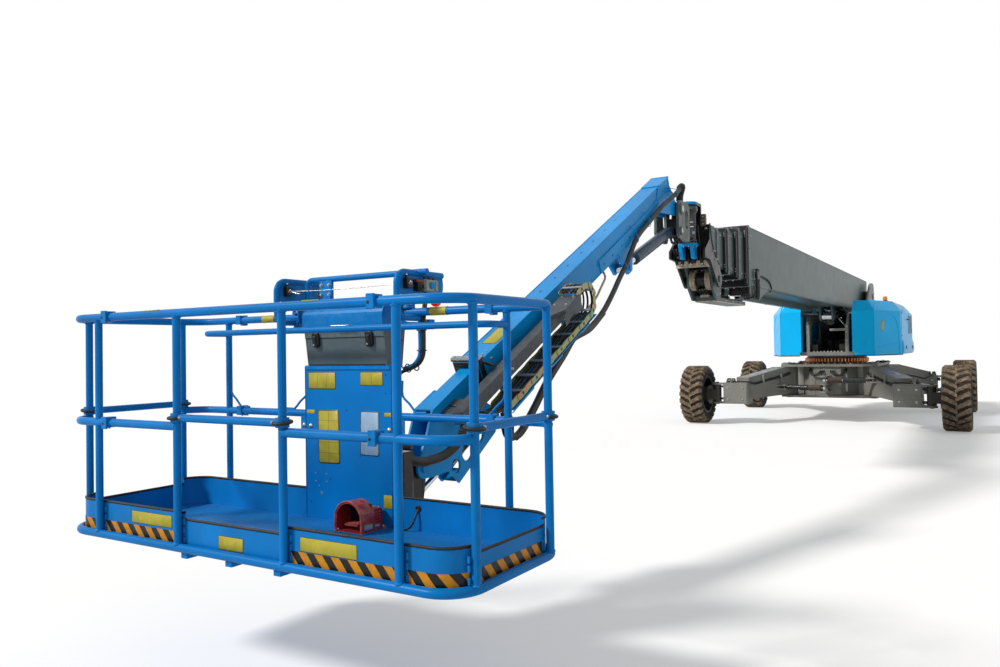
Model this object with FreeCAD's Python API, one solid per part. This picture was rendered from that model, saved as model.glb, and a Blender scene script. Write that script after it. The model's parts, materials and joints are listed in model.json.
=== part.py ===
"""Telescopic boom lift on a swing-leg chassis, parked with its boom level and its jib lowered.

+X points forward along the boom, +Y to the machine's left, +Z up. The origin is on the ground
under the slewing axis. All sizes are in millimetres.
"""
import FreeCAD, Part
import math
import os

V = FreeCAD.Vector
SEAT = 0.3             # gap of a part that is seated on another
FIT = 0.5              # radial gap of a round part in its hole
CLEAR = 8.0            # gap between parts that pass each other

# Wheels
WHEELBASE = 4500.0
TRACK = 4585.0
TYRE_R = 577.5
TYRE_W = 445.0
RIM_R = 355.0
RIM_WALL = 18.0
BEAD_W = 366.0
RIM_LIP = 16.0
HUB_R = 150.0
WHEEL_X = WHEELBASE / 2
WHEEL_Y = TRACK / 2

# Chassis hub and swing legs
DECK_Z = 1100.0        # underside of the hub's top plate
DECK_T = 47.0
KEEL_Z = 480.0         # underside of the hub's bottom plate
KEEL_T = 40.0
HUB_L = 1150.0         # half length of the hub's core
HUB_W = 520.0          # half width of the hub's core
LEG_PIN_X = 850.0
LEG_PIN_Y = 800.0
LEG_PIN_R = 60.0
LEG_ANGLE = 30.0
LEG_W = 320.0
LEG_LEN = 1330.0
LEG_END_TOP = 905.0
KINGPIN_Y = 1900.0
KINGPIN_R = 35.0
AXLE_BOX_BACK = 1930.0
AXLE_BOX_FRONT = 2330.0
AXLE_BOX_IN = 1290.0
AXLE_BOX_OUT = 1760.0
AXLE_BOX_LOW = 400.0
AXLE_BOX_TOP = 810.0
AXLE_PLATE_T = 32.0
EYE_X = 2187.0         # lashing eyes
EYE_Y = 1640.0
EYE_R = 20.0
EYE_SPAN = 140.0
EAR_T = 25.0
SWING_ANCHOR_X = 1550.0
SWING_LUG_X = 1320.0
SWING_LUG_Y = 800.0
SWING_LOW_Z = 690.0
SWING_HIGH_Z = 840.0

# Slewing ring and turntable
RING_R = 600.0
RING_BORE = 460.0
RING_TOP = 1280.0
TABLE_Z = 1320.0       # underside of the turntable's base plate
TABLE_T = 68.0
TABLE_W = 516.0        # half width
TABLE_FRONT = 1100.0
TABLE_REAR = -3400.0
CHEEK_IN = 360.0       # inner face of the side plates
CHEEK_T = 40.0
WEIGHT_FRONT = -2700.0
WEIGHT_REAR = -3450.0
WEIGHT_W = 1150.0
WEIGHT_TOP = 2180.0

# Hoods
HOOD_IN = 480.0
HOOD_NOSE_W = 880.0
HOOD_OUT = 1250.0
HOOD_FRONT = 1200.0
HOOD_WAIST = 150.0     # where the slanted cheek meets the straight side
HOOD_REAR = -2550.0
HOOD_LOW = 1320.0
HOOD_SHOULDER = 2200.0
HOOD_TOP = 2410.0
HOOD_TOP_OUT = 1080.0
HOOD_WALL = 16.0
HOOD_GAP = 30.0
HOOD_PIN_R = 8.0
DECK_PLATE_Z = 1345.0
DECK_PLATE_T = 30.0

# Main boom
BOOM_Z = 2680.0
BOOM_PIN_X = -2800.0
BOOM_PIN_R = 60.0
BOOM_REAR = -3000.0
BASE_FRONT = 8050.0
LIP_T = 60.0
LIP_H = 20.0
# width, height, wall, rear end and front end of the sliding sections
SECTIONS = {
    2: (424.0, 600.0, 10.0, -2550.0, 8380.0),
    3: (360.0, 520.0, 9.0, -2350.0, 8730.0),
    4: (300.0, 440.0, 8.0, -2150.0, 9070.0),
    5: (244.0, 370.0, 7.0, -1950.0, 9085.0),
}
BASE_W = 500.0
BASE_H = 760.0
BASE_WALL = 12.0
LIFT_BASE_X = -2300.0
LIFT_BASE_Z = 1600.0
LIFT_LUG_X = 1000.0
LIFT_LUG_Z = 2120.0

# Boom head and the bracket that stays upright on it
HEAD_W = 300.0
HEAD_FRONT = 9440.0
NOSE_PIN_X = 9150.0
NOSE_PIN_Z = 2320.0
NOSE_PIN_R = 40.0
SHEAVE_R = 125.0
ROTATOR_X = 9620.0
ROTATOR_R = 95.0
ROTATOR_LOW = 2700.0
ROTATOR_TOP = 3095.0
ROTATOR_PIN_R = 50.0
ARM_T = 35.0

# Jib
JIB_ANGLE = 26.86      # below level
JIB_PIN_X = 10220.0
JIB_PIN_Z = 2980.0
JIB_PIN_R = 35.0
JIB_W = 175.0
JIB_LOW = 150.0        # underside of the fixed jib, above the line through its pivot
JIB_H = 224.0
JIB_WALL = 8.0
JIB_BACK = 110.0
JIB_FRONT = 4095.0
JIB_EAR_IN = 64.0      # inner face of the ears around the pivot
COLLAR_T = 40.0
COLLAR_H = 16.0
INNER_W = 112.0
INNER_LOW = 178.0
INNER_H = 165.0
INNER_BACK = 900.0
INNER_FRONT = 4480.0
YOKE_IN = 106.0
YOKE_T = 30.0
JIB_RAM_X = 10244.0
JIB_RAM_Z = 2750.0
JIB_LUG_ALONG = 1460.0
JIB_LUG_UP = -55.0

# Hose chain on the jib's left side
CHAIN_IN = 148.0
CHAIN_OUT = 306.0
CHAIN_TOP = 375.0      # above the line through the jib's pivot
CHAIN_LOOP_R = 140.0
CHAIN_LINK_H = 45.0

# Platform pivot, measured along and across the jib
LEVEL_ALONG = 4837.0
LEVEL_ACROSS = 100.0
LEVEL_PIN_R = 28.0
HEAD_PLATE_IN = 56.0
HEAD_PLATE_T = 14.0
SUPPORT_IN = 28.0
LEVEL_RAM_ALONG = 4112.0
LEVEL_RAM_ACROSS = -52.0
LEVEL_EYE_X = 15.0     # rod eye, from the platform pivot, with the platform level
LEVEL_EYE_Z = -186.0
TURN_OFFSET = 150.0    # from the platform pivot forward to the platform's turning axis
TURN_R = 85.0
TURN_PIN_R = 35.0
TURN_LOW = 640.0
TURN_TOP = 1000.0

# Hydraulic cylinders: sizes across, where the barrel starts and ends from its pin, and
# how much shorter than parked the cylinder can get
SWING_RAM = dict(barrel_r=52.0, rod_r=28.0, pin_r=20.0, eye_r=42.0, eye_half=20.0,
                 barrel_start=85.0, barrel_end=500.0, can_shorten=240.0)
LIFT_RAM = dict(barrel_r=130.0, rod_r=88.0, pin_r=55.0, eye_r=95.0, eye_half=90.0,
                barrel_start=160.0, barrel_end=3050.0, can_shorten=45.0)
JIB_RAM = dict(barrel_r=58.0, rod_r=34.0, pin_r=26.0, eye_r=44.0, eye_half=40.0,
               barrel_start=70.0, barrel_end=1030.0, can_shorten=110.0)
LEVEL_RAM = dict(barrel_r=38.0, rod_r=18.0, pin_r=16.0, eye_r=28.0, eye_half=24.0,
                 barrel_start=45.0, barrel_end=500.0, can_shorten=270.0)

# Platform
RAIL_R = 20.0
POST_R = 18.0
PLAT_BACK = 15100.0
PLAT_DEPTH = 800.0
PLAT_HALF = 1220.0
PLAT_CORNER = 150.0
PLAT_LOW = 672.0
PLAT_MID = 1225.0
PLAT_TOP = 1745.0
GATE_SLEEVE = 19.0     # from the underside of a gate's sleeve to its bar's middle
HAND_BAR_X = 15280.0
HAND_BAR_Z = 1668.0
HAND_BAR_R = 16.0
FRONT_POSTS = (342.0, 950.0)
END_POSTS = 286.0
TOE_TOP = 829.0
TOE_ENTRY_TOP = 798.0
TOE_T = 6.0
FLOOR_Z = 660.0
FLOOR_T = 14.0
PANEL_HALF = 295.0
PANEL_FACE = 40.0      # from the back rails' middle
BOX_HALF = 272.0
BOX_DEPTH = 170.0
BOX_LEAN = 24.0        # how far the box's top stands out over the panel
RAIL_GAP = 355.0       # half the opening in the top back rail, behind the console
PANEL_TOP = 1484.0
BOX_TOP = 1665.0
LID_TOP = 1798.0
LID_BEND = 60.0
LID_HALF = 276.0
GUARD_R = 16.0
GUARD_TOP = 1936.0
GUARD_LEFT = 440.0
GUARD_RIGHT = -372.0
OVER_POST_Y = -308.0


def block(x0, x1, y0, y1, z0, z1):
    return Part.makeBox(x1 - x0, y1 - y0, z1 - z0, V(x0, y0, z0))


def bar(start, end, radius):
    """A round bar from one point to another."""
    start = V(*start)
    way = V(*end) - start
    return Part.makeCylinder(radius, way.Length, start, way)


def pipe(start, end, outer, inner):
    return bar(start, end, outer).cut(bar(start, end, inner))


def across(points, y0, y1):
    """A plate whose outline lies in XZ, from y0 to y1."""
    wire = Part.makePolygon([V(x, y0, z) for x, z in points + points[:1]])
    return Part.Face(wire).extrude(V(0, y1 - y0, 0))


def flat(points, z0, z1):
    """A plate whose outline lies in XY, from z0 to z1."""
    wire = Part.makePolygon([V(x, y, z0) for x, y in points + points[:1]])
    return Part.Face(wire).extrude(V(0, 0, z1 - z0))


def endwise(points, x0, x1):
    """A plate whose outline lies in YZ, from x0 to x1."""
    wire = Part.makePolygon([V(x0, y, z) for y, z in points + points[:1]])
    return Part.Face(wire).extrude(V(x1 - x0, 0, 0))


def bent_bar(points, bend, radius):
    """A round bar through points, with its corners bent to a radius."""
    points = [V(*p) for p in points]
    edges, start = [], points[0]
    for before, corner, after in zip(points, points[1:], points[2:]):
        back, ahead = (before - corner).normalize(), (after - corner).normalize()
        half = back.getAngle(ahead) / 2
        end, begin = corner + back * (bend / math.tan(half)), corner + ahead * (bend / math.tan(half))
        inward = (back + ahead).normalize()
        middle = corner + inward * (bend / math.sin(half) - bend)
        edges += [Part.makeLine(start, end), Part.Arc(end, middle, begin).toShape()]
        start = begin
    edges.append(Part.makeLine(start, points[-1]))
    circle = Part.Wire(Part.makeCircle(radius, points[0], points[1] - points[0]))
    return Part.Wire(edges).makePipeShell([circle], True, True)


def fuse(shapes):
    whole = shapes[0].multiFuse(shapes[1:]) if len(shapes) > 1 else shapes[0]
    return whole.removeSplitter()


def flip(shape):
    """The mirror image on the machine's other side."""
    return shape.mirror(V(0, 0, 0), V(0, 1, 0))


def both(shape):
    return [shape, flip(shape)]


def end_for_end(shape):
    return shape.mirror(V(0, 0, 0), V(1, 0, 0))


def box_tube(x0, x1, width, height, wall, z_mid, corner):
    """A rectangular tube along X with rounded long edges."""
    outer = block(x0, x1, -width / 2, width / 2, z_mid - height / 2, z_mid + height / 2)
    long_edges = [e for e in outer.Edges if abs(e.BoundBox.XLength - (x1 - x0)) < 1]
    outer = outer.makeFillet(corner, long_edges)
    w, h = width / 2 - wall, height / 2 - wall
    return outer.cut(block(x0 - 1, x1 + 1, -w, w, z_mid - h, z_mid + h))


def collar(x0, x1, width, height, hole_w, hole_h, z_mid):
    """The reinforced mouth of a tube, which carries the next section."""
    outer = block(x0, x1, -width / 2, width / 2, z_mid - height / 2, z_mid + height / 2)
    w, h = hole_w / 2 + SEAT, hole_h / 2 + SEAT
    return outer.cut(block(x0 - 1, x1 + 1, -w, w, z_mid - h, z_mid + h))


def ram(base, tip, pin_axis, size):
    """A hydraulic cylinder from its base pin to its rod's eye: barrel and rod."""
    base, tip = V(*base), V(*tip)
    way = tip - base
    length = way.Length
    barrel_r, rod_r, eye_r, eye_half = size["barrel_r"], size["rod_r"], size["eye_r"], size["eye_half"]
    gland = size["barrel_end"] - barrel_r * 0.6
    bore_r = barrel_r * 0.78
    bore_start = size["barrel_start"] + 15
    piston_at = bore_start + 5 + size["can_shorten"]

    def disc(radius, x0, x1):
        return Part.makeCylinder(radius, x1 - x0, V(x0, 0, 0), V(1, 0, 0))

    def eye(x):
        return Part.makeCylinder(eye_r, 2 * eye_half, V(x, 0, -eye_half))

    barrel = fuse([disc(barrel_r, size["barrel_start"], size["barrel_end"]),
                   disc(eye_half - 2, eye_r * 0.6, size["barrel_start"] + 5), eye(0)])
    barrel = barrel.cut(disc(bore_r, bore_start, gland)).cut(disc(rod_r + FIT, gland - 1, size["barrel_end"] + 1))
    pin_hole = Part.makeCylinder(size["pin_r"] + FIT, 2 * eye_half + 2, V(0, 0, -eye_half - 1))
    rod = fuse([disc(bore_r - FIT, piston_at, piston_at + barrel_r * 0.6),
                disc(rod_r, piston_at, length - eye_r * 0.6), eye(length)])
    along, up = way.normalize(), V(*pin_axis)
    side = up.cross(along)
    place = FreeCAD.Placement(FreeCAD.Matrix(
        along.x, side.x, up.x, base.x,
        along.y, side.y, up.y, base.y,
        along.z, side.z, up.z, base.z,
        0, 0, 0, 1))
    pieces = [barrel.cut(pin_hole), rod]
    for piece in pieces:
        piece.Placement = place
    return pieces


def on_jib(shape):
    """Carry a shape drawn along a level jib, from its foot pin, to its lowered place."""
    shape = shape.copy()
    shape.rotate(V(0, 0, 0), V(0, 1, 0), JIB_ANGLE)
    shape.translate(V(JIB_PIN_X, 0, JIB_PIN_Z))
    return shape


def jib_point(along, up):
    a = math.radians(JIB_ANGLE)
    return (JIB_PIN_X + along * math.cos(a) + up * math.sin(a), 0.0,
            JIB_PIN_Z - along * math.sin(a) + up * math.cos(a))


# ---------------------------------------------------------------- chassis

def hub_outline():
    return [(1200, -650), (1200, 650), (1080, 910), (-1080, 910), (-1200, 650),
            (-1200, -650), (-1080, -910), (1080, -910)]


def swing_bracket():
    """Three shelves in front of the hub that hold the leg cylinders' rods."""
    shelves = []
    half_gap = (SWING_HIGH_Z - SWING_LOW_Z) / 2
    middle = (SWING_HIGH_Z + SWING_LOW_Z) / 2
    for z in (middle - 2 * half_gap, middle, middle + 2 * half_gap):
        shelf = block(HUB_L - 5, SWING_ANCHOR_X, -70, 70, z - 12, z + 12)
        shelf = shelf.fuse(bar((SWING_ANCHOR_X, 0, z - 12), (SWING_ANCHOR_X, 0, z + 12), 70))
        shelves.append(shelf)
    web = block(HUB_L - 5, HUB_L + 90, -12, 12, middle - 2 * half_gap, middle + 2 * half_gap)
    cap_z = middle + 2 * half_gap + 12
    return fuse(shelves + [web, bar((SWING_ANCHOR_X, 0, cap_z), (SWING_ANCHOR_X, 0, cap_z + 14), 32)])


def chassis_frame():
    core = flat([(HUB_L, -250), (HUB_L, 250), (820, HUB_W), (-820, HUB_W), (-HUB_L, 250),
                 (-HUB_L, -250), (-820, -HUB_W), (820, -HUB_W)], KEEL_Z, DECK_Z + 1)
    top = flat(hub_outline(), DECK_Z, DECK_Z + DECK_T)
    keel = flat(hub_outline(), KEEL_Z, KEEL_Z + KEEL_T)
    pins = [bar((sx * LEG_PIN_X, sy * LEG_PIN_Y, KEEL_Z - 20),
                (sx * LEG_PIN_X, sy * LEG_PIN_Y, DECK_Z + DECK_T + 12), LEG_PIN_R)
            for sx in (1, -1) for sy in (1, -1)]
    front = swing_bracket()
    return fuse([core, top, keel, front, end_for_end(front)] + pins)


def slew_ring():
    z0 = DECK_Z + DECK_T
    ring = pipe((0, 0, z0), (0, 0, RING_TOP), RING_R, RING_BORE)
    groove = pipe((0, 0, z0 + 15), (0, 0, z0 + 28), RING_R + 1, RING_R - 18)
    return ring.cut(groove)


def leg(ram_z):
    """The front left leg, with the box and the fork that hold its steered wheel."""
    z0, z1 = KEEL_Z + KEEL_T + CLEAR, DECK_Z - CLEAR
    beam = across([(0, z0), (460, z0), (LEG_LEN, z0 - 40), (LEG_LEN, LEG_END_TOP), (260, z1), (0, z1)],
                  -LEG_W / 2, LEG_W / 2)
    root = bar((0, 0, z0), (0, 0, z1), LEG_W / 2 + 15)
    arm = fuse([beam, root])
    arm.rotate(V(0, 0, 0), V(0, 0, 1), LEG_ANGLE)
    arm.translate(V(LEG_PIN_X, LEG_PIN_Y, 0))
    case = block(AXLE_BOX_BACK, AXLE_BOX_FRONT, AXLE_BOX_IN, AXLE_BOX_OUT, AXLE_BOX_LOW, AXLE_BOX_TOP)
    forks = []
    for z in (AXLE_BOX_LOW, AXLE_BOX_TOP - AXLE_PLATE_T):
        plate = flat([(AXLE_BOX_BACK + 60, AXLE_BOX_OUT - 20), (AXLE_BOX_FRONT, AXLE_BOX_OUT - 20),
                      (WHEEL_X + 95, KINGPIN_Y + 30), (WHEEL_X - 95, KINGPIN_Y + 30)], z, z + AXLE_PLATE_T)
        forks += [plate, bar((WHEEL_X, KINGPIN_Y, z), (WHEEL_X, KINGPIN_Y, z + AXLE_PLATE_T), 95)]
    ears = lashing_eye()
    lugs = []
    for dz in (-50, 25):
        lug = flat([(SWING_LUG_X - 45, SWING_LUG_Y), (SWING_LUG_X + 45, SWING_LUG_Y),
                    (SWING_LUG_X + 130, SWING_LUG_Y + 210), (SWING_LUG_X - 110, SWING_LUG_Y + 110)],
                   ram_z + dz, ram_z + dz + 25)
        lugs += [lug, bar((SWING_LUG_X, SWING_LUG_Y, ram_z + dz), (SWING_LUG_X, SWING_LUG_Y, ram_z + dz + 25), 45)]
    pin = bar((SWING_LUG_X, SWING_LUG_Y, ram_z - 60), (SWING_LUG_X, SWING_LUG_Y, ram_z + 60), 20)
    whole = fuse([arm, case] + forks + ears + lugs + [pin])
    whole = whole.cut(bar((WHEEL_X, KINGPIN_Y, 0), (WHEEL_X, KINGPIN_Y, 2000), KINGPIN_R + FIT))
    return whole.cut(bar((LEG_PIN_X, LEG_PIN_Y, 0), (LEG_PIN_X, LEG_PIN_Y, 2000), LEG_PIN_R + FIT))


def lashing_eye():
    """Two upright ears with one hole through both, square to the leg."""
    low, top, half = AXLE_BOX_TOP - 5, AXLE_BOX_TOP + 92, EYE_SPAN / 2
    ears = []
    for y in (-half, half - EAR_T):
        ear = across([(-80, low), (80, low), (38, top), (-38, top)], y, y + EAR_T)
        ear = ear.cut(bar((0, y - 1, AXLE_BOX_TOP + 52), (0, y + EAR_T + 1, AXLE_BOX_TOP + 52), EYE_R))
        ear.rotate(V(0, 0, 0), V(0, 0, 1), LEG_ANGLE)
        ear.translate(V(EYE_X, EYE_Y, 0))
        ears.append(ear)
    return ears


def knuckle():
    """The front left kingpin with its spindle and hub motor."""
    low, top = AXLE_BOX_LOW + AXLE_PLATE_T, AXLE_BOX_TOP - AXLE_PLATE_T
    x, y, z = WHEEL_X, KINGPIN_Y, TYRE_R
    motor_end = WHEEL_Y - 35 - SEAT
    return fuse([
        bar((x, y, AXLE_BOX_LOW - 14), (x, y, AXLE_BOX_TOP + 22), KINGPIN_R),
        bar((x, y, low + CLEAR), (x, y, top - CLEAR), 78),
        block(x - 95, x + 95, y, y + 145, z - 100, z + 100),
        bar((x, y + 140, z), (x, y + 165, z), 190),
        bar((x, y + 160, z), (x, motor_end, z), HUB_R),
    ])


def tyre():
    w, b = TYRE_W / 2, BEAD_W / 2
    r, shoulder = TYRE_R, 42.0
    r0 = RIM_R + SEAT
    y0 = WHEEL_Y
    points = [(-b, r0), (-b, r0 + 30), (-w, r0 + 95), (-w, r - shoulder), (-w + shoulder, r),
              (w - shoulder, r), (w, r - shoulder), (w, r0 + 95), (b, r0 + 30), (b, r0)]
    face = Part.Face(Part.makePolygon([V(0, y0 + y, z) for y, z in points + points[:1]]))
    ring = face.revolve(V(0, 0, 0), V(0, 1, 0), 360)
    ring.translate(V(WHEEL_X, 0, TYRE_R))
    return ring


def wheel():
    """The rim that the tyre sits on, its dished disc and its hub cover."""
    x, y, z = WHEEL_X, WHEEL_Y, TYRE_R
    b = BEAD_W / 2
    barrel = pipe((x, y - b - RIM_LIP, z), (x, y + b + RIM_LIP, z), RIM_R, RIM_R - RIM_WALL)
    lips = [pipe((x, y + s * (b + SEAT), z), (x, y + s * (b + RIM_LIP), z), RIM_R + 22, RIM_R - RIM_WALL)
            for s in (1, -1)]
    disc = bar((x, y - 35, z), (x, y - 5, z), RIM_R - 2)
    cover = bar((x, y - 10, z), (x, y + 110, z), HUB_R)
    return fuse([barrel, disc, cover] + lips)


def swing_ram(z):
    return ram((SWING_LUG_X, SWING_LUG_Y, z), (SWING_ANCHOR_X, 0, z), (0, 0, 1), SWING_RAM)


def corner_parts():
    """The four legs with what they carry, by mirroring the front left one."""
    low, high = swing_ram(SWING_LOW_Z), swing_ram(SWING_HIGH_Z)
    sides = {"left": (leg(SWING_HIGH_Z), high), "right": (leg(SWING_LOW_Z), low)}
    shared = {"knuckle": knuckle(), "tyre": tyre(), "wheel": wheel()}
    parts = {}
    for side, (beam, (barrel, rod)) in sides.items():
        shapes = dict(shared, leg=beam, swing_cylinder=barrel, swing_rod=rod)
        for name, shape in shapes.items():
            shape = flip(shape) if side == "right" else shape
            parts[f"{name}_front_{side}"] = shape
            parts[f"{name}_rear_{side}"] = end_for_end(shape)
    return parts


# -------------------------------------------------------------- turntable

def hood_plan(inset):
    """The hood's outline from above, drawn in by inset."""
    d = inset
    slope = (HOOD_OUT - HOOD_NOSE_W) / (HOOD_FRONT - HOOD_WAIST)
    step = d * (math.hypot(1, slope) - slope)
    nose = HOOD_NOSE_W - d * (math.hypot(1, slope) - slope)
    return [(HOOD_FRONT - d, HOOD_IN + d), (HOOD_FRONT - d, nose),
            (HOOD_WAIST - step / 2, HOOD_OUT - d), (HOOD_REAR + d, HOOD_OUT - d), (HOOD_REAR + d, HOOD_IN + d)]


def hood_solid(inset):
    d = inset
    low = HOOD_LOW - (100 if inset else 0)
    body = flat(hood_plan(d), low, HOOD_TOP - d)
    reach = 6000
    shoulder = across([(-reach, low - 10), (HOOD_FRONT + 10, low - 10), (HOOD_FRONT - d, HOOD_SHOULDER),
                       (HOOD_FRONT - 200 - d, HOOD_TOP - d), (-reach, HOOD_TOP - d)], 0, 3000)
    slope_y = HOOD_OUT - HOOD_TOP_OUT
    rise = HOOD_TOP - HOOD_SHOULDER
    side = Part.Face(Part.makePolygon([
        V(-reach, -reach, low - 10), V(-reach, HOOD_OUT - d, low - 10),
        V(-reach, HOOD_OUT - d, HOOD_SHOULDER - d / 3), V(-reach, HOOD_OUT - slope_y - d / 2, HOOD_SHOULDER + rise - d),
        V(-reach, -reach, HOOD_TOP - d), V(-reach, -reach, low - 10)])).extrude(V(2 * reach, 0, 0))
    angle = math.degrees(math.atan2(HOOD_OUT - HOOD_NOSE_W, HOOD_FRONT - HOOD_WAIST))
    cheek = side.copy()
    cheek.rotate(V(HOOD_WAIST, HOOD_OUT, 0), V(0, 0, 1), -angle)
    return body.common(shoulder).common(side).common(cheek)


def hood():
    """The left hood: its fixed front with the inner wall, and its lifting rear cover."""
    shell = hood_solid(0).cut(hood_solid(HOOD_WALL))
    wall_in = HOOD_IN + HOOD_WALL
    far = 9000
    front = shell.common(block(0, far, 0, far, 0, far))
    wall = shell.common(block(-far, 0, 0, wall_in, 0, HOOD_TOP - 42))
    foot = block(-far, far, 0, TABLE_W + SEAT, 0, TABLE_Z + TABLE_T + SEAT)
    cover = shell.common(block(-far, -HOOD_GAP, wall_in + 10, far, 0, far)).cut(
        block(-far, far, 0, TABLE_W + CLEAR, 0, TABLE_Z + TABLE_T + CLEAR))
    pin_y, pin_z = HOOD_IN + HOOD_WALL / 2, HOOD_TOP - HOOD_WALL / 2
    x0, x1 = HOOD_REAR + 40, -HOOD_GAP - 40
    span = (x1 - x0) / 4
    pin = bar((x0, pin_y, pin_z), (x1, pin_y, pin_z), HOOD_PIN_R)
    held, carried = [], []
    for k in range(5):
        x = x0 + k * span
        held.append(block(x - 14, x + 14, HOOD_IN, wall_in, HOOD_TOP - 60, pin_z))
    for k in range(4):
        x = x0 + (k + 0.5) * span
        carried.append(pipe((x - 60, pin_y, pin_z), (x + 60, pin_y, pin_z), 15, HOOD_PIN_R + FIT))
        leaf = block(x - 60, x + 60, pin_y + 12, wall_in + 20, pin_z - 6, pin_z + 6)
        carried.append(leaf)
    fixed = fuse([front, wall, pin] + held).cut(foot)
    return fixed, fuse([cover] + carried)


def deck(side_gap):
    """The left floor plate under the hood, on three beams."""
    inner = hood_solid(HOOD_WALL + side_gap)
    plate = inner.common(block(HOOD_REAR, HOOD_FRONT, HOOD_IN, 3000, DECK_PLATE_Z, DECK_PLATE_Z + DECK_PLATE_T))
    return plate


def turntable_frame():
    spigot = bar((0, 0, DECK_Z + DECK_T + 18), (0, 0, TABLE_Z + 1), RING_BORE - 5)
    flange = bar((0, 0, RING_TOP + SEAT), (0, 0, TABLE_Z + 1), RING_R - 20)
    base = block(TABLE_REAR, TABLE_FRONT, -TABLE_W, TABLE_W, TABLE_Z, TABLE_Z + TABLE_T)
    z0 = TABLE_Z + TABLE_T - 1
    cheek = across([(1080, z0), (1080, 1950), (930, 2140), (-1500, 2230), (-2450, 2930), (-2620, 2990),
                    (-2980, 2990), (-3080, 2890), (-3080, WEIGHT_TOP + SEAT), (WEIGHT_FRONT + SEAT, WEIGHT_TOP + SEAT),
                    (WEIGHT_FRONT + SEAT, z0)], CHEEK_IN, CHEEK_IN + CHEEK_T)
    window = across([(760, 1500), (760, 1850), (560, 2000), (-300, 2040), (-300, 1500)], CHEEK_IN - 1,
                    CHEEK_IN + CHEEK_T + 1)
    cheek = cheek.cut(window)
    pin = bar((BOOM_PIN_X, -CHEEK_IN - CHEEK_T - 25, BOOM_Z), (BOOM_PIN_X, CHEEK_IN + CHEEK_T + 25, BOOM_Z), BOOM_PIN_R)
    ear = across([(LIFT_BASE_X - 150, z0), (LIFT_BASE_X + 150, z0), (LIFT_BASE_X + 80, LIFT_BASE_Z + 90),
                  (LIFT_BASE_X - 80, LIFT_BASE_Z + 90)], 112, 152)
    ram_pin = bar((LIFT_BASE_X, -160, LIFT_BASE_Z), (LIFT_BASE_X, 160, LIFT_BASE_Z), 55)
    bulkhead = block(WEIGHT_FRONT + 30, WEIGHT_FRONT + 60, -CHEEK_IN - 1, CHEEK_IN + 1, z0, z0 + 130)
    split = -HOOD_GAP / 2
    fixed = deck(SEAT).common(block(split, 9000, 0, 9000, 0, 9000))
    under_cover = deck(CLEAR).common(block(-9000, split + 1, 0, 9000, 0, 9000))
    beams = [block(x - 40, x + 40, TABLE_W - 1, HOOD_OUT - 90, TABLE_Z + 5, DECK_PLATE_Z + 1)
             for x in (HOOD_REAR + 400, -950, HOOD_WAIST + 100)]
    pieces = [spigot, flange, base, pin, ram_pin, bulkhead]
    for shape in [cheek, ear, fixed, under_cover] + beams:
        pieces += both(shape)
    return fuse(pieces)


def counterweight():
    z0, r = TABLE_Z + TABLE_T + SEAT, 220.0
    body = block(WEIGHT_REAR, WEIGHT_FRONT, -WEIGHT_W, WEIGHT_W, z0, WEIGHT_TOP)
    rear_edges = [e for e in body.Edges
                  if e.BoundBox.XLength < 1 and e.BoundBox.YLength < 1 and e.BoundBox.XMin < WEIGHT_REAR + 1]
    return body.makeFillet(r, rear_edges)


def engine():
    z0 = DECK_PLATE_Z + DECK_PLATE_T
    return block(-1900, -500, 600, 1100, z0, 2150)


def lift_ram():
    return ram((LIFT_BASE_X, 0, LIFT_BASE_Z), (LIFT_LUG_X, 0, LIFT_LUG_Z), (0, -1, 0), LIFT_RAM)


# --------------------------------------------------------------- main boom

def boom_base():
    tube = box_tube(BOOM_REAR, BASE_FRONT, BASE_W, BASE_H, BASE_WALL, BOOM_Z, 25)
    w2, h2 = SECTIONS[2][:2]
    mouth = collar(BASE_FRONT - LIP_T, BASE_FRONT, BASE_W + 16, BASE_H + 16, w2, h2, BOOM_Z)
    back = block(BOOM_REAR, BOOM_REAR + 14, -BASE_W / 2 + 4, BASE_W / 2 - 4, BOOM_Z - BASE_H / 2 + 4,
                 BOOM_Z + BASE_H / 2 - 4)
    boss = bar((BOOM_PIN_X, -CHEEK_IN + 5, BOOM_Z), (BOOM_PIN_X, CHEEK_IN - 5, BOOM_Z), 130)
    under = BOOM_Z - BASE_H / 2
    lug = across([(LIFT_LUG_X - 220, under + 2), (LIFT_LUG_X + 220, under + 2), (LIFT_LUG_X + 90, LIFT_LUG_Z - 95),
                  (LIFT_LUG_X - 90, LIFT_LUG_Z - 95)], 98, 130)
    cap = bar((LIFT_LUG_X, 129, LIFT_LUG_Z), (LIFT_LUG_X, 150, LIFT_LUG_Z), 55)
    skirt = across([(6950, under + 40), (7770, under + 40), (7770, under - 120), (7540, under - 160)],
                   BASE_W / 2 - 12, BASE_W / 2)
    tray = block(1500, 6900, -BASE_W / 2, -BASE_W / 2 + 75, under - 95, under + 1)
    tray = tray.cut(block(1490, 6910, -BASE_W / 2 + 8, -BASE_W / 2 + 67, under - 87, under - 8))
    whole = fuse([tube, mouth, back, boss, tray] + both(lug) + both(cap) + both(skirt))
    return whole.cut(bar((BOOM_PIN_X, -900, BOOM_Z), (BOOM_PIN_X, 900, BOOM_Z), BOOM_PIN_R + FIT))


def boom_section(number):
    width, height, wall, rear, front = SECTIONS[number]
    tube = box_tube(rear, front, width, height, wall, BOOM_Z, 20)
    w, h = SECTIONS[number + 1][:2]
    mouth = collar(front - LIP_T, front, width + LIP_H, height + 2 * LIP_H, w, h, BOOM_Z)
    return fuse([tube, mouth])


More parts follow.
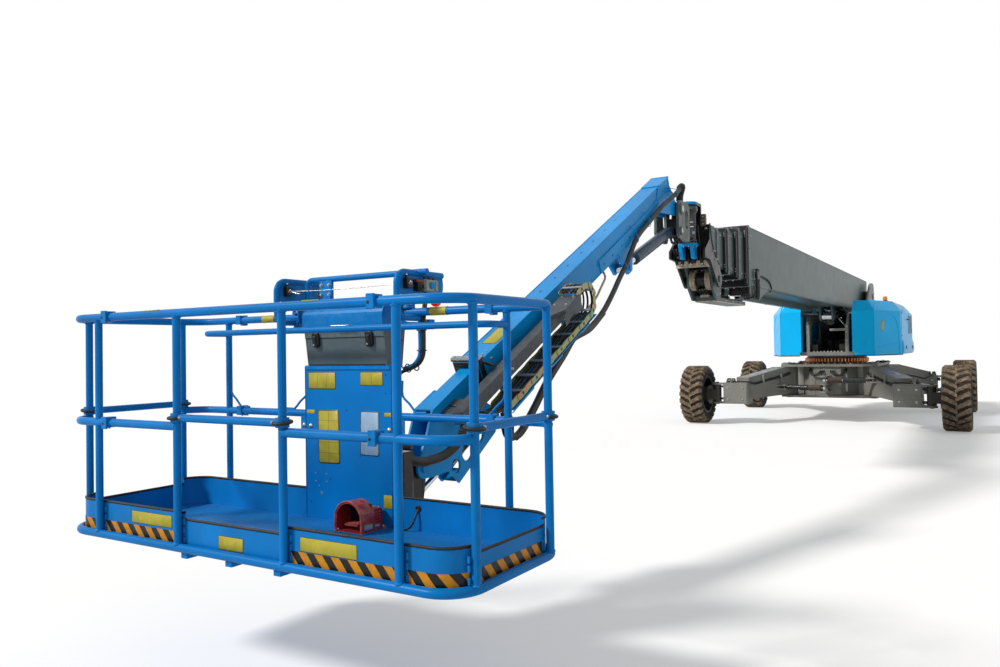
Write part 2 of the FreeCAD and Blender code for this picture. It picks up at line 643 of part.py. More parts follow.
def boom_tip():
    """The innermost section with the head that carries the hose sheaves."""
    width, height, wall, rear, front = SECTIONS[5]
    tube = box_tube(rear, front + 40, width, height, wall, BOOM_Z, 18)
    half = HEAD_W / 2
    top = BOOM_Z + height / 2 + 62
    head = across([(front, BOOM_Z - height / 2 - 20), (front, top - 30), (front + 60, top),
                   (HEAD_FRONT - 90, top), (HEAD_FRONT - 30, top - 25), (HEAD_FRONT, top - 80),
                   (HEAD_FRONT, BOOM_Z - 120), (HEAD_FRONT - 80, BOOM_Z - height / 2 - 20)], -half, half)
    head = head.cut(block(front - 5, HEAD_FRONT - 30, -half + 25, half - 25, BOOM_Z - height / 2 + 30, top - 90))
    cheek = across([(front, BOOM_Z - height / 2 - 15), (HEAD_FRONT - 80, BOOM_Z - height / 2 - 15),
                    (NOSE_PIN_X + 110, NOSE_PIN_Z + 40), (NOSE_PIN_X + 80, NOSE_PIN_Z - 110),
                    (NOSE_PIN_X - 60, NOSE_PIN_Z - 235), (NOSE_PIN_X - 200, NOSE_PIN_Z - 235),
                    (NOSE_PIN_X - 240, NOSE_PIN_Z - 60), (front - 60, NOSE_PIN_Z + 90),
                    (front, NOSE_PIN_Z + 100)], 125, half)
    pin = bar((NOSE_PIN_X, -215, NOSE_PIN_Z), (NOSE_PIN_X, 215, NOSE_PIN_Z), NOSE_PIN_R)
    low_bar = block(7700, NOSE_PIN_X - 80, -110, 110, NOSE_PIN_Z - 250, NOSE_PIN_Z - 200)
    tie = block(NOSE_PIN_X - 190, NOSE_PIN_X - 90, -130, 130, NOSE_PIN_Z - 235, NOSE_PIN_Z - 180)
    return fuse([tube, head, pin, low_bar, tie] + both(cheek))


def hose_sheaves():
    """Two grooved discs and their drum on the boom head's pin."""
    pieces = []
    for y in (62, 92):
        rim = pipe((NOSE_PIN_X, y, NOSE_PIN_Z), (NOSE_PIN_X, y + 26, NOSE_PIN_Z), SHEAVE_R, NOSE_PIN_R + FIT)
        groove = pipe((NOSE_PIN_X, y + 8, NOSE_PIN_Z), (NOSE_PIN_X, y + 18, NOSE_PIN_Z), SHEAVE_R + 1, SHEAVE_R - 14)
        pieces.append(rim.cut(groove))
    drum = pipe((NOSE_PIN_X, -100, NOSE_PIN_Z), (NOSE_PIN_X, 100, NOSE_PIN_Z), 84, NOSE_PIN_R + FIT)
    return fuse([drum] + pieces + [flip(p) for p in pieces])


def arc_points(x, z, radius, start, end, steps):
    turn = [math.radians(start + (end - start) * k / steps) for k in range(steps + 1)]
    return [(x + radius * math.cos(a), z + radius * math.sin(a)) for a in turn]


def nose_bracket():
    """The bracket on the boom head that stays upright and holds the jib's rotator."""
    x, z = NOSE_PIN_X, NOSE_PIN_Z
    back = HEAD_FRONT + 40
    swoop = arc_points(back - 495, z + 640, 500, -8, -72, 6)
    plate = across(swoop + arc_points(x, z, 95, 110, 300, 6)
                   + [(back + 10, z + 190), (ROTATOR_X + 60, z + 205), (ROTATOR_X + 60, z + 290), (back + 20, z + 420)],
                   180, 205)
    spine = block(back, back + 25, -205, 205, z + 190, z + 585)
    neck = block(back, back + 25, -110, 110, z + 580, ROTATOR_TOP + CLEAR + ARM_T)
    pieces = both(plate) + [spine, neck]
    for z0 in (ROTATOR_LOW - CLEAR - ARM_T, ROTATOR_TOP + CLEAR):
        pieces.append(block(back, ROTATOR_X, -ROTATOR_R - 15, ROTATOR_R + 15, z0, z0 + ARM_T))
        pieces.append(bar((ROTATOR_X, 0, z0), (ROTATOR_X, 0, z0 + ARM_T), ROTATOR_R + 15))
    foot = across([(back + 5, z + 200), (ROTATOR_X + 40, z + 200), (ROTATOR_X + 100, ROTATOR_LOW - CLEAR - ARM_T + 5),
                   (back + 5, ROTATOR_LOW - CLEAR - ARM_T + 5)], 50, 80)
    pieces += both(foot)
    pieces.append(bar((ROTATOR_X, 0, ROTATOR_LOW - 50), (ROTATOR_X, 0, ROTATOR_TOP + 50), ROTATOR_PIN_R))
    whole = fuse(pieces)
    return whole.cut(bar((x, -400, z), (x, 400, z), NOSE_PIN_R + FIT))


def jib_yoke():
    """The rotator's body and the fork that holds the jib and its cylinder."""
    body = bar((ROTATOR_X, 0, ROTATOR_LOW), (ROTATOR_X, 0, ROTATOR_TOP), ROTATOR_R)
    link = block(ROTATOR_X, ROTATOR_X + 240, -80, 80, ROTATOR_LOW + 25, ROTATOR_TOP - 25)
    side = YOKE_IN + YOKE_T
    bridge = block(ROTATOR_X + 150, ROTATOR_X + 240, -side, side, ROTATOR_LOW + 25, ROTATOR_TOP - 25)
    outline = [(ROTATOR_X + 160, ROTATOR_LOW - 60), (ROTATOR_X + 160, ROTATOR_TOP - 25)]
    outline += arc_points(JIB_PIN_X, JIB_PIN_Z, 90, 100, 0, 5)
    outline += arc_points(JIB_RAM_X, JIB_RAM_Z, 75, 20, -100, 6)
    plate = across(outline, YOKE_IN, side)
    plate = plate.cut(bar((ROTATOR_X + 390, YOKE_IN - 1, 2850), (ROTATOR_X + 390, side + 1, 2850), 62))
    jib_pin = bar((JIB_PIN_X, -side - 18, JIB_PIN_Z), (JIB_PIN_X, side + 18, JIB_PIN_Z), JIB_PIN_R)
    ram_pin = bar((JIB_RAM_X, -side - 14, JIB_RAM_Z), (JIB_RAM_X, side + 14, JIB_RAM_Z), 26)
    whole = fuse([body, link, bridge, jib_pin, ram_pin] + both(plate))
    return whole.cut(bar((ROTATOR_X, 0, 2000), (ROTATOR_X, 0, 4000), ROTATOR_PIN_R + FIT))


# --------------------------------------------------------------------- jib

def jib_ram():
    return ram((JIB_RAM_X, 0, JIB_RAM_Z), jib_point(JIB_LUG_ALONG, JIB_LUG_UP), (0, -1, 0), JIB_RAM)


def jib_outer():
    """The fixed jib: a box tube on ears around its pivot, with the lug for its cylinder."""
    half, low, top = JIB_W / 2, JIB_LOW, JIB_LOW + JIB_H
    shell = block(JIB_BACK, JIB_FRONT - COLLAR_T + 1, -half, half, low, top)
    hollow = block(JIB_BACK + 12, JIB_FRONT, -half + JIB_WALL, half - JIB_WALL, low + JIB_WALL, top - JIB_WALL)
    mouth = block(JIB_FRONT - COLLAR_T, JIB_FRONT, -half - 8, half + 8, low - COLLAR_H, top + COLLAR_H)
    w = INNER_W / 2 + SEAT
    hole = block(JIB_FRONT - COLLAR_T - 1, JIB_FRONT + 1, -w, w, INNER_LOW - SEAT, INNER_LOW + INNER_H + SEAT)
    ear = across([(0, -75), (520, low - 2), (520, low + 60), (JIB_BACK + 5, top - 60), (0, 75)]
                 + arc_points(0, 0, 75, 100, 260, 6), JIB_EAR_IN, half)
    lug = across([(JIB_LUG_ALONG - 190, low + 2), (JIB_LUG_ALONG + 190, low + 2),
                  (JIB_LUG_ALONG + 50, JIB_LUG_UP - 45), (JIB_LUG_ALONG - 50, JIB_LUG_UP - 45)], 50, 76)
    cap = bar((JIB_LUG_ALONG, 75, JIB_LUG_UP), (JIB_LUG_ALONG, 90, JIB_LUG_UP), 26)
    patch = across([(450, top), (540, low + 128), (820, low + 112), (2090, low + 112), (2090, low), (560, low)],
                   half - 2, half + 10)
    cap_plate = block(JIB_BACK - 6, JIB_BACK + 300, -half - 6, half + 6, top - 4, top + 8)
    pieces = [shell.cut(hollow), mouth.cut(hole), cap_plate]
    pieces += both(ear) + both(lug) + both(cap) + both(patch) + chain_tray()
    whole = fuse(pieces)
    whole = whole.cut(bar((0, -500, 0), (0, 500, 0), JIB_PIN_R + FIT))
    return on_jib(whole)


def jib_inner():
    """The sliding jib with the head that the platform hangs from."""
    half = INNER_W / 2
    low, top = INNER_LOW, INNER_LOW + INNER_H
    shell = block(INNER_BACK, INNER_FRONT, -half, half, low, top)
    hollow = block(INNER_BACK - 1, INNER_FRONT - 60, -half + 7, half - 7, low + 7, top - 7)
    ax, az = LEVEL_ALONG, LEVEL_ACROSS
    face = JIB_FRONT + 12
    outline = [(face, low + 20), (4388, low + 20), (4388, top + 8), (4612, top + 6), (4731, 245)]
    outline += arc_points(ax, az, 62, 55, -60, 6)
    outline += [(4790, 5), (4636, -60), (4587, -182), (4085, -131), (4031, 21), (face, 110)]
    plate = across(outline, HEAD_PLATE_IN - 1, HEAD_PLATE_IN + HEAD_PLATE_T)
    for x, z, r in ((4263, -39, 52), (4424, -60, 58), (4568, -72, 45)):
        plate = plate.cut(bar((x, 0, z), (x, 300, z), r))
    cover = block(4388, 4612, -half, half, top - 3, top + 6)
    heel = across([(4577, -176), (4607, -156), (4477, -153), (4467, -165)], -half, half)
    side = HEAD_PLATE_IN + HEAD_PLATE_T
    pin = bar((ax, -side - 14, az), (ax, side + 14, az), LEVEL_PIN_R)
    ram_pin = bar((LEVEL_RAM_ALONG, -side, LEVEL_RAM_ACROSS), (LEVEL_RAM_ALONG, side, LEVEL_RAM_ACROSS), 16)
    return on_jib(fuse([shell.cut(hollow), cover, heel, pin, ram_pin] + both(plate)))


def carrier_rail():
    """The box rail along the jib's left side, bolted to the sliding jib's head."""
    y0, low = CHAIN_IN + 2, CHAIN_TOP - 155
    rail = block(2950, 4560, y0, y0 + 85, low, low + 85)
    outer_side = HEAD_PLATE_IN + HEAD_PLATE_T + SEAT
    tabs = [block(x - 40, x + 40, outer_side, y0 + 2, low + 10, low + 75) for x in (4430, 4520)]
    shoe = block(2950, 3240, y0, CHAIN_OUT, low + 84, low + 112)
    return [rail, shoe] + tabs


def cable_carrier():
    """The energy chain on the jib's left side, hung from its rail: an upper end, a loop and a lower run."""
    y0, y1, top, at = CHAIN_IN, CHAIN_OUT, CHAIN_TOP, 2830
    outer, inner = CHAIN_LOOP_R, CHAIN_LOOP_R - CHAIN_LINK_H
    upper = block(at, 2952, y0, y1, top - CHAIN_LINK_H, top)
    low = top - 2 * outer
    lower = block(at, 4160, y0, y1, low, low + CHAIN_LINK_H)
    bend = pipe((at, y0, top - outer), (at, y1, top - outer), outer, inner)
    bend = bend.common(block(at - 400, at + 1, 0, 900, top - 2 * outer - 50, top + 50))
    return on_jib(fuse([upper, lower, bend] + carrier_rail()))


def chain_tray():
    """The shelf under the chain's lower run, on arms from the jib's side."""
    top = CHAIN_TOP - 2 * CHAIN_LOOP_R - CLEAR
    shelf = block(2760, JIB_FRONT + 65, CHAIN_IN, CHAIN_OUT, top - 6, top)
    arms = []
    for x in (2900, 3900):
        arms.append(block(x - 25, x + 25, JIB_W / 2 - 8, CHAIN_IN + 2, top - 6, top))
        arms.append(block(x - 25, x + 25, JIB_W / 2 - 8, JIB_W / 2 + 4, top - 6, JIB_LOW + 90))
    return [shelf] + arms


def level_pivot():
    return jib_point(LEVEL_ALONG, LEVEL_ACROSS)


def level_ram():
    px, _, pz = level_pivot()
    base = jib_point(LEVEL_RAM_ALONG, LEVEL_RAM_ACROSS)
    return ram(base, (px + LEVEL_EYE_X, 0, pz + LEVEL_EYE_Z), (0, -1, 0), LEVEL_RAM)


def platform_support():
    """The upright rotator housing and its plates on the jib head's pin."""
    px, _, pz = level_pivot()
    turn = px + TURN_OFFSET
    outline = arc_points(px, pz, 56, 90, 200, 5) + arc_points(px + LEVEL_EYE_X, pz + LEVEL_EYE_Z, 36, 200, 300, 4)
    outline += [(turn, pz + LEVEL_EYE_Z - 30), (turn, pz + 56)]
    plate = across(outline, SUPPORT_IN, HEAD_PLATE_IN - CLEAR)
    plate = plate.cut(bar((px, 0, pz), (px, 200, pz), LEVEL_PIN_R + FIT))
    housing = bar((turn, 0, TURN_LOW), (turn, 0, TURN_TOP), TURN_R)
    whole = fuse([housing] + both(plate))
    return whole.cut(bar((turn, 0, 0), (turn, 0, 3000), TURN_PIN_R + FIT))


# ---------------------------------------------------------------- platform

def platform_mount():
    """The bracket from the turning axis to the platform's back."""
    turn = level_pivot()[0] + TURN_OFFSET
    z0, t = TURN_TOP + CLEAR, 36.0
    back = PLAT_BACK - RAIL_R - SEAT
    cap = bar((turn, 0, z0), (turn, 0, z0 + t), TURN_R)
    arm = block(turn, back - 10, -45, 45, z0, z0 + t)
    pin = bar((turn, 0, TURN_LOW - 22), (turn, 0, z0 + t + 10), TURN_PIN_R)
    plate = block(back - 70, back, -320, 320, PLAT_LOW, z0 + t)
    return fuse([cap, arm, pin, plate])


def rail_ring(z, back_gap):
    """One rail around the platform with rounded corners, open by back_gap each side of the middle."""
    x0, x1, y1, c = PLAT_BACK, PLAT_BACK + PLAT_DEPTH, PLAT_HALF, PLAT_CORNER
    pieces = [bar((x1, -y1 + c, z), (x1, y1 - c, z), RAIL_R)]
    pieces += both(bar((x0, back_gap, z), (x0, y1 - c, z), RAIL_R))
    for y in (-y1, y1):
        pieces.append(bar((x0 + c, y, z), (x1 - c, y, z), RAIL_R))
    for sx, cx in ((-1, x0 + c), (1, x1 - c)):
        for sy in (-1, 1):
            pieces.append(quarter_bend(cx, sy * (y1 - c), z, c, sx, sy))
    return pieces


def quarter_bend(cx, cy, z, radius, sx, sy):
    """A bent tube around (cx, cy) in the quarter that sx and sy point to."""
    circle = Part.Face(Part.Wire(Part.makeCircle(RAIL_R, V(cx, cy + sy * radius, z), V(1, 0, 0))))
    turn = -90 if sx * sy > 0 else 90
    return circle.revolve(V(cx, cy, z), V(0, 0, 1), turn)


def half_mid_rail():
    """The mid rail on the left: from the front entry around the corner to the end gate."""
    x1, y1, c, z = PLAT_BACK + PLAT_DEPTH, PLAT_HALF, PLAT_CORNER, PLAT_MID
    middle = PLAT_BACK + PLAT_DEPTH / 2
    beyond = block(middle - END_POSTS, middle + END_POSTS, 0, 2 * y1, z - 50, z + 50)
    return [bar((x1, FRONT_POSTS[0], z), (x1, y1 - c, z), RAIL_R),
            quarter_bend(x1 - c, y1 - c, z, c, 1, 1).cut(beyond),
            quarter_bend(PLAT_BACK + c, y1 - c, z, c, -1, 1).cut(beyond)]


def platform_frame():
    x0, x1 = PLAT_BACK, PLAT_BACK + PLAT_DEPTH
    middle = (x0 + x1) / 2
    pieces = rail_ring(PLAT_LOW, 0) + rail_ring(PLAT_TOP, RAIL_GAP)
    for y in FRONT_POSTS:
        pieces += both(bar((x1, y, PLAT_LOW), (x1, y, PLAT_TOP), POST_R))
    for x in (middle - END_POSTS, middle + END_POSTS):
        pieces += both(bar((x, PLAT_HALF, PLAT_LOW), (x, PLAT_HALF, PLAT_TOP), POST_R))
    pieces += both(bar((x0, FRONT_POSTS[1], PLAT_LOW), (x0, FRONT_POSTS[1], PLAT_TOP), POST_R))
    for shape in half_mid_rail():
        pieces += both(shape)
    pieces.append(bar((x0, -PLAT_HALF + PLAT_CORNER, PLAT_MID), (x0, PLAT_HALF - PLAT_CORNER, PLAT_MID), RAIL_R))
    y, z = FRONT_POSTS[1], HAND_BAR_Z
    pieces.append(bent_bar([(x0, -y, z), (HAND_BAR_X, -y, z), (HAND_BAR_X, y, z), (x0, y, z)], 60, HAND_BAR_R))
    for y in (-300, 0, 300):
        pieces.append(block(x0, x1, y - 20, y + 20, PLAT_LOW - 45, FLOOR_Z - SEAT))
    return fuse(pieces + guard_bars())


def guard_bars():
    """The bent tubes beside and over the console, with the plates in the two side loops."""
    x0, r = PLAT_BACK, GUARD_R
    low, front, back = PLAT_TOP - 30, x0 + 165, x0 - 200
    pieces = []
    for y in (GUARD_RIGHT, GUARD_LEFT):
        path = [(x0 - 20, y, low), (front, y, low), (front, y, GUARD_TOP), (back, y, GUARD_TOP)]
        pieces.append(bent_bar(path, 60, r))
        pieces.append(block(back + 60, front - 2, y - 2, y + 2, GUARD_TOP - 95, GUARD_TOP - 5))
    end = GUARD_LEFT + 60
    over = [(x0, -RAIL_GAP - 10, PLAT_TOP), (x0, OVER_POST_Y, PLAT_TOP), (x0, OVER_POST_Y, GUARD_TOP + 6),
            (x0, end, GUARD_TOP + 6)]
    pieces.append(bent_bar(over, 35, r))
    return pieces


def platform_floor():
    """The floor plate with its toe boards, lower at the three entries, seated inside the lower rail."""
    x0, x1 = PLAT_BACK, PLAT_BACK + PLAT_DEPTH
    inset = RAIL_R + SEAT

    def slab(d, z0, z1):
        body = block(x0 + d, x1 - d, -PLAT_HALF + d, PLAT_HALF - d, z0, z1)
        uprights = [e for e in body.Edges if abs(e.BoundBox.ZLength - (z1 - z0)) < 0.5]
        return body.makeFillet(PLAT_CORNER - d, uprights)

    wall = slab(inset, FLOOR_Z, TOE_TOP).cut(slab(inset + TOE_T, FLOOR_Z + FLOOR_T, TOE_TOP + 1))
    entry, end = FRONT_POSTS[0] - POST_R - 2, END_POSTS - POST_R - 2
    middle = (x0 + x1) / 2
    front = block(x1 - 60, x1 + 10, -entry, entry, TOE_ENTRY_TOP, TOE_TOP + 1)
    ends = block(middle - end, middle + end, -PLAT_HALF, PLAT_HALF, TOE_ENTRY_TOP, TOE_TOP + 1)
    return wall.cut(front).cut(ends)


def box_back():
    return PLAT_BACK + PANEL_FACE + BOX_LEAN - BOX_DEPTH


def console():
    """The control stand: its blue panel against the toe board and the grey box on top."""
    face, back = PLAT_BACK + PANEL_FACE, box_back()
    behind = PLAT_BACK + RAIL_R + SEAT + TOE_T + SEAT
    panel = block(behind, face, -PANEL_HALF, PANEL_HALF, FLOOR_Z + FLOOR_T, PANEL_TOP)
    shelf = block(back + 24, face, -BOX_HALF, BOX_HALF, PANEL_TOP - 14, PANEL_TOP + 2)
    wall, lean = 12, BOX_LEAN
    case = across([(face, PANEL_TOP), (face + lean, BOX_TOP), (back, BOX_TOP), (back + lean, PANEL_TOP)],
                  -BOX_HALF, BOX_HALF)
    depth = (BOX_TOP - PANEL_TOP) / 2
    inside = across([(face + lean / 2 - wall, BOX_TOP - depth), (face + lean - wall, BOX_TOP + 1),
                     (back + wall, BOX_TOP + 1), (back + lean / 2 + wall, BOX_TOP - depth)],
                    -BOX_HALF + wall, BOX_HALF - wall)
    pin_x, pin_z = back - 12, BOX_TOP + 12
    pin = bar((pin_x, -BOX_HALF + 12, pin_z), (pin_x, BOX_HALF - 12, pin_z), 6)
    holds = [block(back - 18, back + 4, y - 10, y + 10, BOX_TOP - 40, pin_z) for y in (-240, 0, 240)]
    return fuse([panel, shelf, case.cut(inside), pin] + holds)


def console_lid():
    """The rounded blue cover over the controls, hinged at its back edge."""
    back = box_back()
    pin_x, pin_z = back - 12, BOX_TOP + 12
    low, front = BOX_TOP + 6, PLAT_BACK + PANEL_FACE + 40

    def profile(d, base):
        curve = arc_points(front - LID_BEND, LID_TOP - LID_BEND, LID_BEND - d, 0, 85, 6)
        return [(front - d, base)] + curve + [(back + 60, LID_TOP - 10 - d), (back + 6 + d, low + 50),
                                              (back + 6 + d, base)]

    outer = across(profile(0, low), -LID_HALF, LID_HALF)
    inner = across(profile(12, low - 5), -LID_HALF + 12, LID_HALF - 12)
    pieces = [outer.cut(inner)]
    for y in (-130, 130):
        pieces.append(pipe((pin_x, y - 40, pin_z), (pin_x, y + 40, pin_z), 12, 6 + FIT))
        pieces.append(block(pin_x + 8, back + 16, y - 40, y + 40, pin_z - 3, pin_z + 5))
    return fuse(pieces)


def gate(x, y, along_y):
    """A drop bar with a sleeve around the post at each end."""
    half = FRONT_POSTS[0] if along_y else END_POSTS
    step = (0, half) if along_y else (half, 0)
    pieces = []
    ends = [(x - step[0], y - step[1]), (x + step[0], y + step[1])]
    z = PLAT_MID + RAIL_R + SEAT + GATE_SLEEVE
    pieces.append(bar((*ends[0], z), (*ends[1], z), RAIL_R - 2))
    for ex, ey in ends:
        pieces.append(bar((ex, ey, z - GATE_SLEEVE), (ex, ey, z + 22), POST_R + 11))
    whole = fuse(pieces)
    for ex, ey in ends:
        whole = whole.cut(bar((ex, ey, 0), (ex, ey, 3000), POST_R + FIT))
    return whole


def foot_pedal():
    """The foot switch at the console's foot, with its hood open to the front."""
    x, y, z = PLAT_BACK + 50, 177, FLOOR_Z + FLOOR_T
    half, rise = 85, 70

    def arch(r):
        return [(y + r, z), *[(y + a, z + rise + b) for a, b in arc_points(0, 0, r, 0, 180, 10)], (y - r, z)]

    hood_part = endwise(arch(half), x + 85, x + 185).cut(endwise(arch(half - 9), x + 92, x + 186))
    base = block(x, x + 180, y - half, y + half, z, z + 12)
    body = block(x + 4, x + 90, y - 62, y + 62, z + 10, z + 98)
    treadle = block(x + 90, x + 165, y - 40, y + 40, z + 34, z + 42)
    step = block(x + 90, x + 110, y - 30, y + 30, z + 10, z + 36)
    return fuse([base, body, hood_part, treadle, step])


def collect():
    """Every sub-part by the name of its node."""
    parts = {"chassis_frame": chassis_frame(), "slew_ring": slew_ring()}
    parts.update(corner_parts())
    front, cover = hood()
    parts.update({
        "turntable_frame": turntable_frame(), "counterweight": counterweight(), "engine": engine(),
        "hood_left": front, "hood_left_cover": cover, "hood_right": flip(front), "hood_right_cover": flip(cover),
    })
    parts["lift_cylinder"], parts["lift_rod"] = lift_ram()
    parts["boom_base"] = boom_base()
    for number in (2, 3, 4):
        parts[f"boom_section_{number}"] = boom_section(number)
    parts.update({"boom_tip": boom_tip(), "hose_sheaves": hose_sheaves(), "nose_bracket": nose_bracket(),
                  "jib_yoke": jib_yoke()})
    parts["jib_cylinder"], parts["jib_rod"] = jib_ram()
    parts.update({"jib_outer": jib_outer(), "jib_inner": jib_inner(),
                  "cable_carrier": cable_carrier(), "platform_support": platform_support()})
    parts["level_cylinder"], parts["level_rod"] = level_ram()
    middle = PLAT_BACK + PLAT_DEPTH / 2
    parts.update({
        "platform_mount": platform_mount(), "platform_frame": platform_frame(),
        "platform_floor": platform_floor(), "console": console(), "console_lid": console_lid(),
        "gate_front": gate(PLAT_BACK + PLAT_DEPTH, 0, True),
        "gate_left": gate(middle, PLAT_HALF, False), "gate_right": gate(middle, -PLAT_HALF, False),
        "foot_pedal": foot_pedal(),
    })
    return parts


os.makedirs("parts", exist_ok=True)
for name, shape in collect().items():
    shape.exportStep(f"parts/{name}.step")
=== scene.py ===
"""The looks of a telescopic boom lift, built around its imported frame.

+X points forward along the boom, +Y to the machine's left, +Z up, in metres.
"""
import json
import math
import random

import bmesh
import bpy
from mathutils import Matrix, Vector
from mathutils.geometry import intersect_line_line_2d
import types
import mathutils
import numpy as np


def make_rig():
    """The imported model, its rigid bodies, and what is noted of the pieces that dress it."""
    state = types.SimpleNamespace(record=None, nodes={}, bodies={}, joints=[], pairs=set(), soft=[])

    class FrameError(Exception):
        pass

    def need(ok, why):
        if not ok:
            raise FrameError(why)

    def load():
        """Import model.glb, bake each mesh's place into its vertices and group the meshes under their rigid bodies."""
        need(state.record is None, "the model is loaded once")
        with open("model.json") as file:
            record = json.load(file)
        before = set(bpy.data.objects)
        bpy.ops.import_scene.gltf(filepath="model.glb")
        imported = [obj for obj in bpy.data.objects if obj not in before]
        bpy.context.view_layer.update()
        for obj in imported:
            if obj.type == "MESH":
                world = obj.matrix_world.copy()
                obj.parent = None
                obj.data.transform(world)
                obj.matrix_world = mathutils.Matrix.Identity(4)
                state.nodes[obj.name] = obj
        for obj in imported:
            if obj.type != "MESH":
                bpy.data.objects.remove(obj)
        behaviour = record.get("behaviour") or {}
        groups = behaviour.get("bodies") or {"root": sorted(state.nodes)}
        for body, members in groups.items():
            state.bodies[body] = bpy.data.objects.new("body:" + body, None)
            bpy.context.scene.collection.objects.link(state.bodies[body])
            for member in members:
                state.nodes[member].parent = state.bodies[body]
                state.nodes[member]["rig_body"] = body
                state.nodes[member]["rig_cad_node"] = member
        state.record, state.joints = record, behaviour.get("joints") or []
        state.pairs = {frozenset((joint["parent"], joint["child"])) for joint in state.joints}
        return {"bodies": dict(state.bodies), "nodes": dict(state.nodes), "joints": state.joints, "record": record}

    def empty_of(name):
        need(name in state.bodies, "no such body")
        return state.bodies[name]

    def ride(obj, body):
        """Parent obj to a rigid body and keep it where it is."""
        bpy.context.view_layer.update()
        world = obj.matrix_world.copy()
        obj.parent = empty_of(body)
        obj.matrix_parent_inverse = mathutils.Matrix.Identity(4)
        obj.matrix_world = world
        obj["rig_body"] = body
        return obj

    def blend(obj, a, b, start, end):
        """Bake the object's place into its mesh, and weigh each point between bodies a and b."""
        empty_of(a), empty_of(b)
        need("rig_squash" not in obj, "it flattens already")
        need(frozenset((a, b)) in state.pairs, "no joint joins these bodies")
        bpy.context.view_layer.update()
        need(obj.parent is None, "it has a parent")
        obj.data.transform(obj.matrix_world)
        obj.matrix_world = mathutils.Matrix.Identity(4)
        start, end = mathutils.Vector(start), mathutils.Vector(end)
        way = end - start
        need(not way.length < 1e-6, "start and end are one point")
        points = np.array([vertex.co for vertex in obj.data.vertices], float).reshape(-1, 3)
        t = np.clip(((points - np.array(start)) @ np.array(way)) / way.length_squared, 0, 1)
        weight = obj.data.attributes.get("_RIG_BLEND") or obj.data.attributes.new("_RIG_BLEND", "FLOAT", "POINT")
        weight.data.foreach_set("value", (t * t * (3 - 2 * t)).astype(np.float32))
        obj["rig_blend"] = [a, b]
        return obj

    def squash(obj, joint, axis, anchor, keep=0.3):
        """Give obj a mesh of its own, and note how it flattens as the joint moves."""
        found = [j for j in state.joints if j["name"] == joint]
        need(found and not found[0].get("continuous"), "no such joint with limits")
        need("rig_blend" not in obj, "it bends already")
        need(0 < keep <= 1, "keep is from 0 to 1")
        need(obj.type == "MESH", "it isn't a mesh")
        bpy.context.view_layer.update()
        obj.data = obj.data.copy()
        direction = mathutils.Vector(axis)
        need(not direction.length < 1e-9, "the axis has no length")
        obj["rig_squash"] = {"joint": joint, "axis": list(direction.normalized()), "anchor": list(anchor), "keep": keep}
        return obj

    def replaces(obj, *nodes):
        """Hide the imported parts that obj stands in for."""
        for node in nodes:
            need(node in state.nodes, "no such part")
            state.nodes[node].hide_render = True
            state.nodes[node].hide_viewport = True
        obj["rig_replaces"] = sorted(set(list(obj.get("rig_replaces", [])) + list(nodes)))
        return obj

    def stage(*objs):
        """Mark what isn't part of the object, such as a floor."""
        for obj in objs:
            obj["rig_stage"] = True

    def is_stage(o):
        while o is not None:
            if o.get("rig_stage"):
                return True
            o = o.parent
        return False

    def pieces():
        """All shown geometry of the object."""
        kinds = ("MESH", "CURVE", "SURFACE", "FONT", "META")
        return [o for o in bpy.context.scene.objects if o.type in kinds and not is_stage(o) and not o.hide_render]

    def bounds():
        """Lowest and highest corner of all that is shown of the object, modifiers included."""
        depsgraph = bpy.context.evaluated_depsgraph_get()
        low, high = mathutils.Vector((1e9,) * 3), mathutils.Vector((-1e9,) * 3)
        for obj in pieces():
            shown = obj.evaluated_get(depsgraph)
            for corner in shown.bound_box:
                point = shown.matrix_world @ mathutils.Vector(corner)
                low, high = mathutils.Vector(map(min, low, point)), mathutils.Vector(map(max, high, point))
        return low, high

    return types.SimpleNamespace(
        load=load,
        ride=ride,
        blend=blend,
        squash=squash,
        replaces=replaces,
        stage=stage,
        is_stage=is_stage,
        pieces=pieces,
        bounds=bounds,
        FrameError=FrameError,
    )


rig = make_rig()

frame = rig.load()
CAD_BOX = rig.bounds()
NODES = frame["nodes"]
CORNERS = [(ex, sy, end, side) for end, ex in (("front", 1), ("rear", -1))
           for side, sy in (("left", 1), ("right", -1))]    # ex is -1 at the rear, sy is -1 on the right
UP = (0, 0, 1)
DOWN = (0, 0, -1)
AHEAD = (1, 0, 0)
BEHIND = (-1, 0, 0)
LEFT = (0, 1, 0)


# ------------------------------------------------------------------ materials

def linear(rgb):
    """An sRGB colour as the linear one that the nodes take."""
    return tuple((c / 12.92 if c <= 0.04045 else ((c + 0.055) / 1.055) ** 2.4) for c in rgb) + (1.0,)


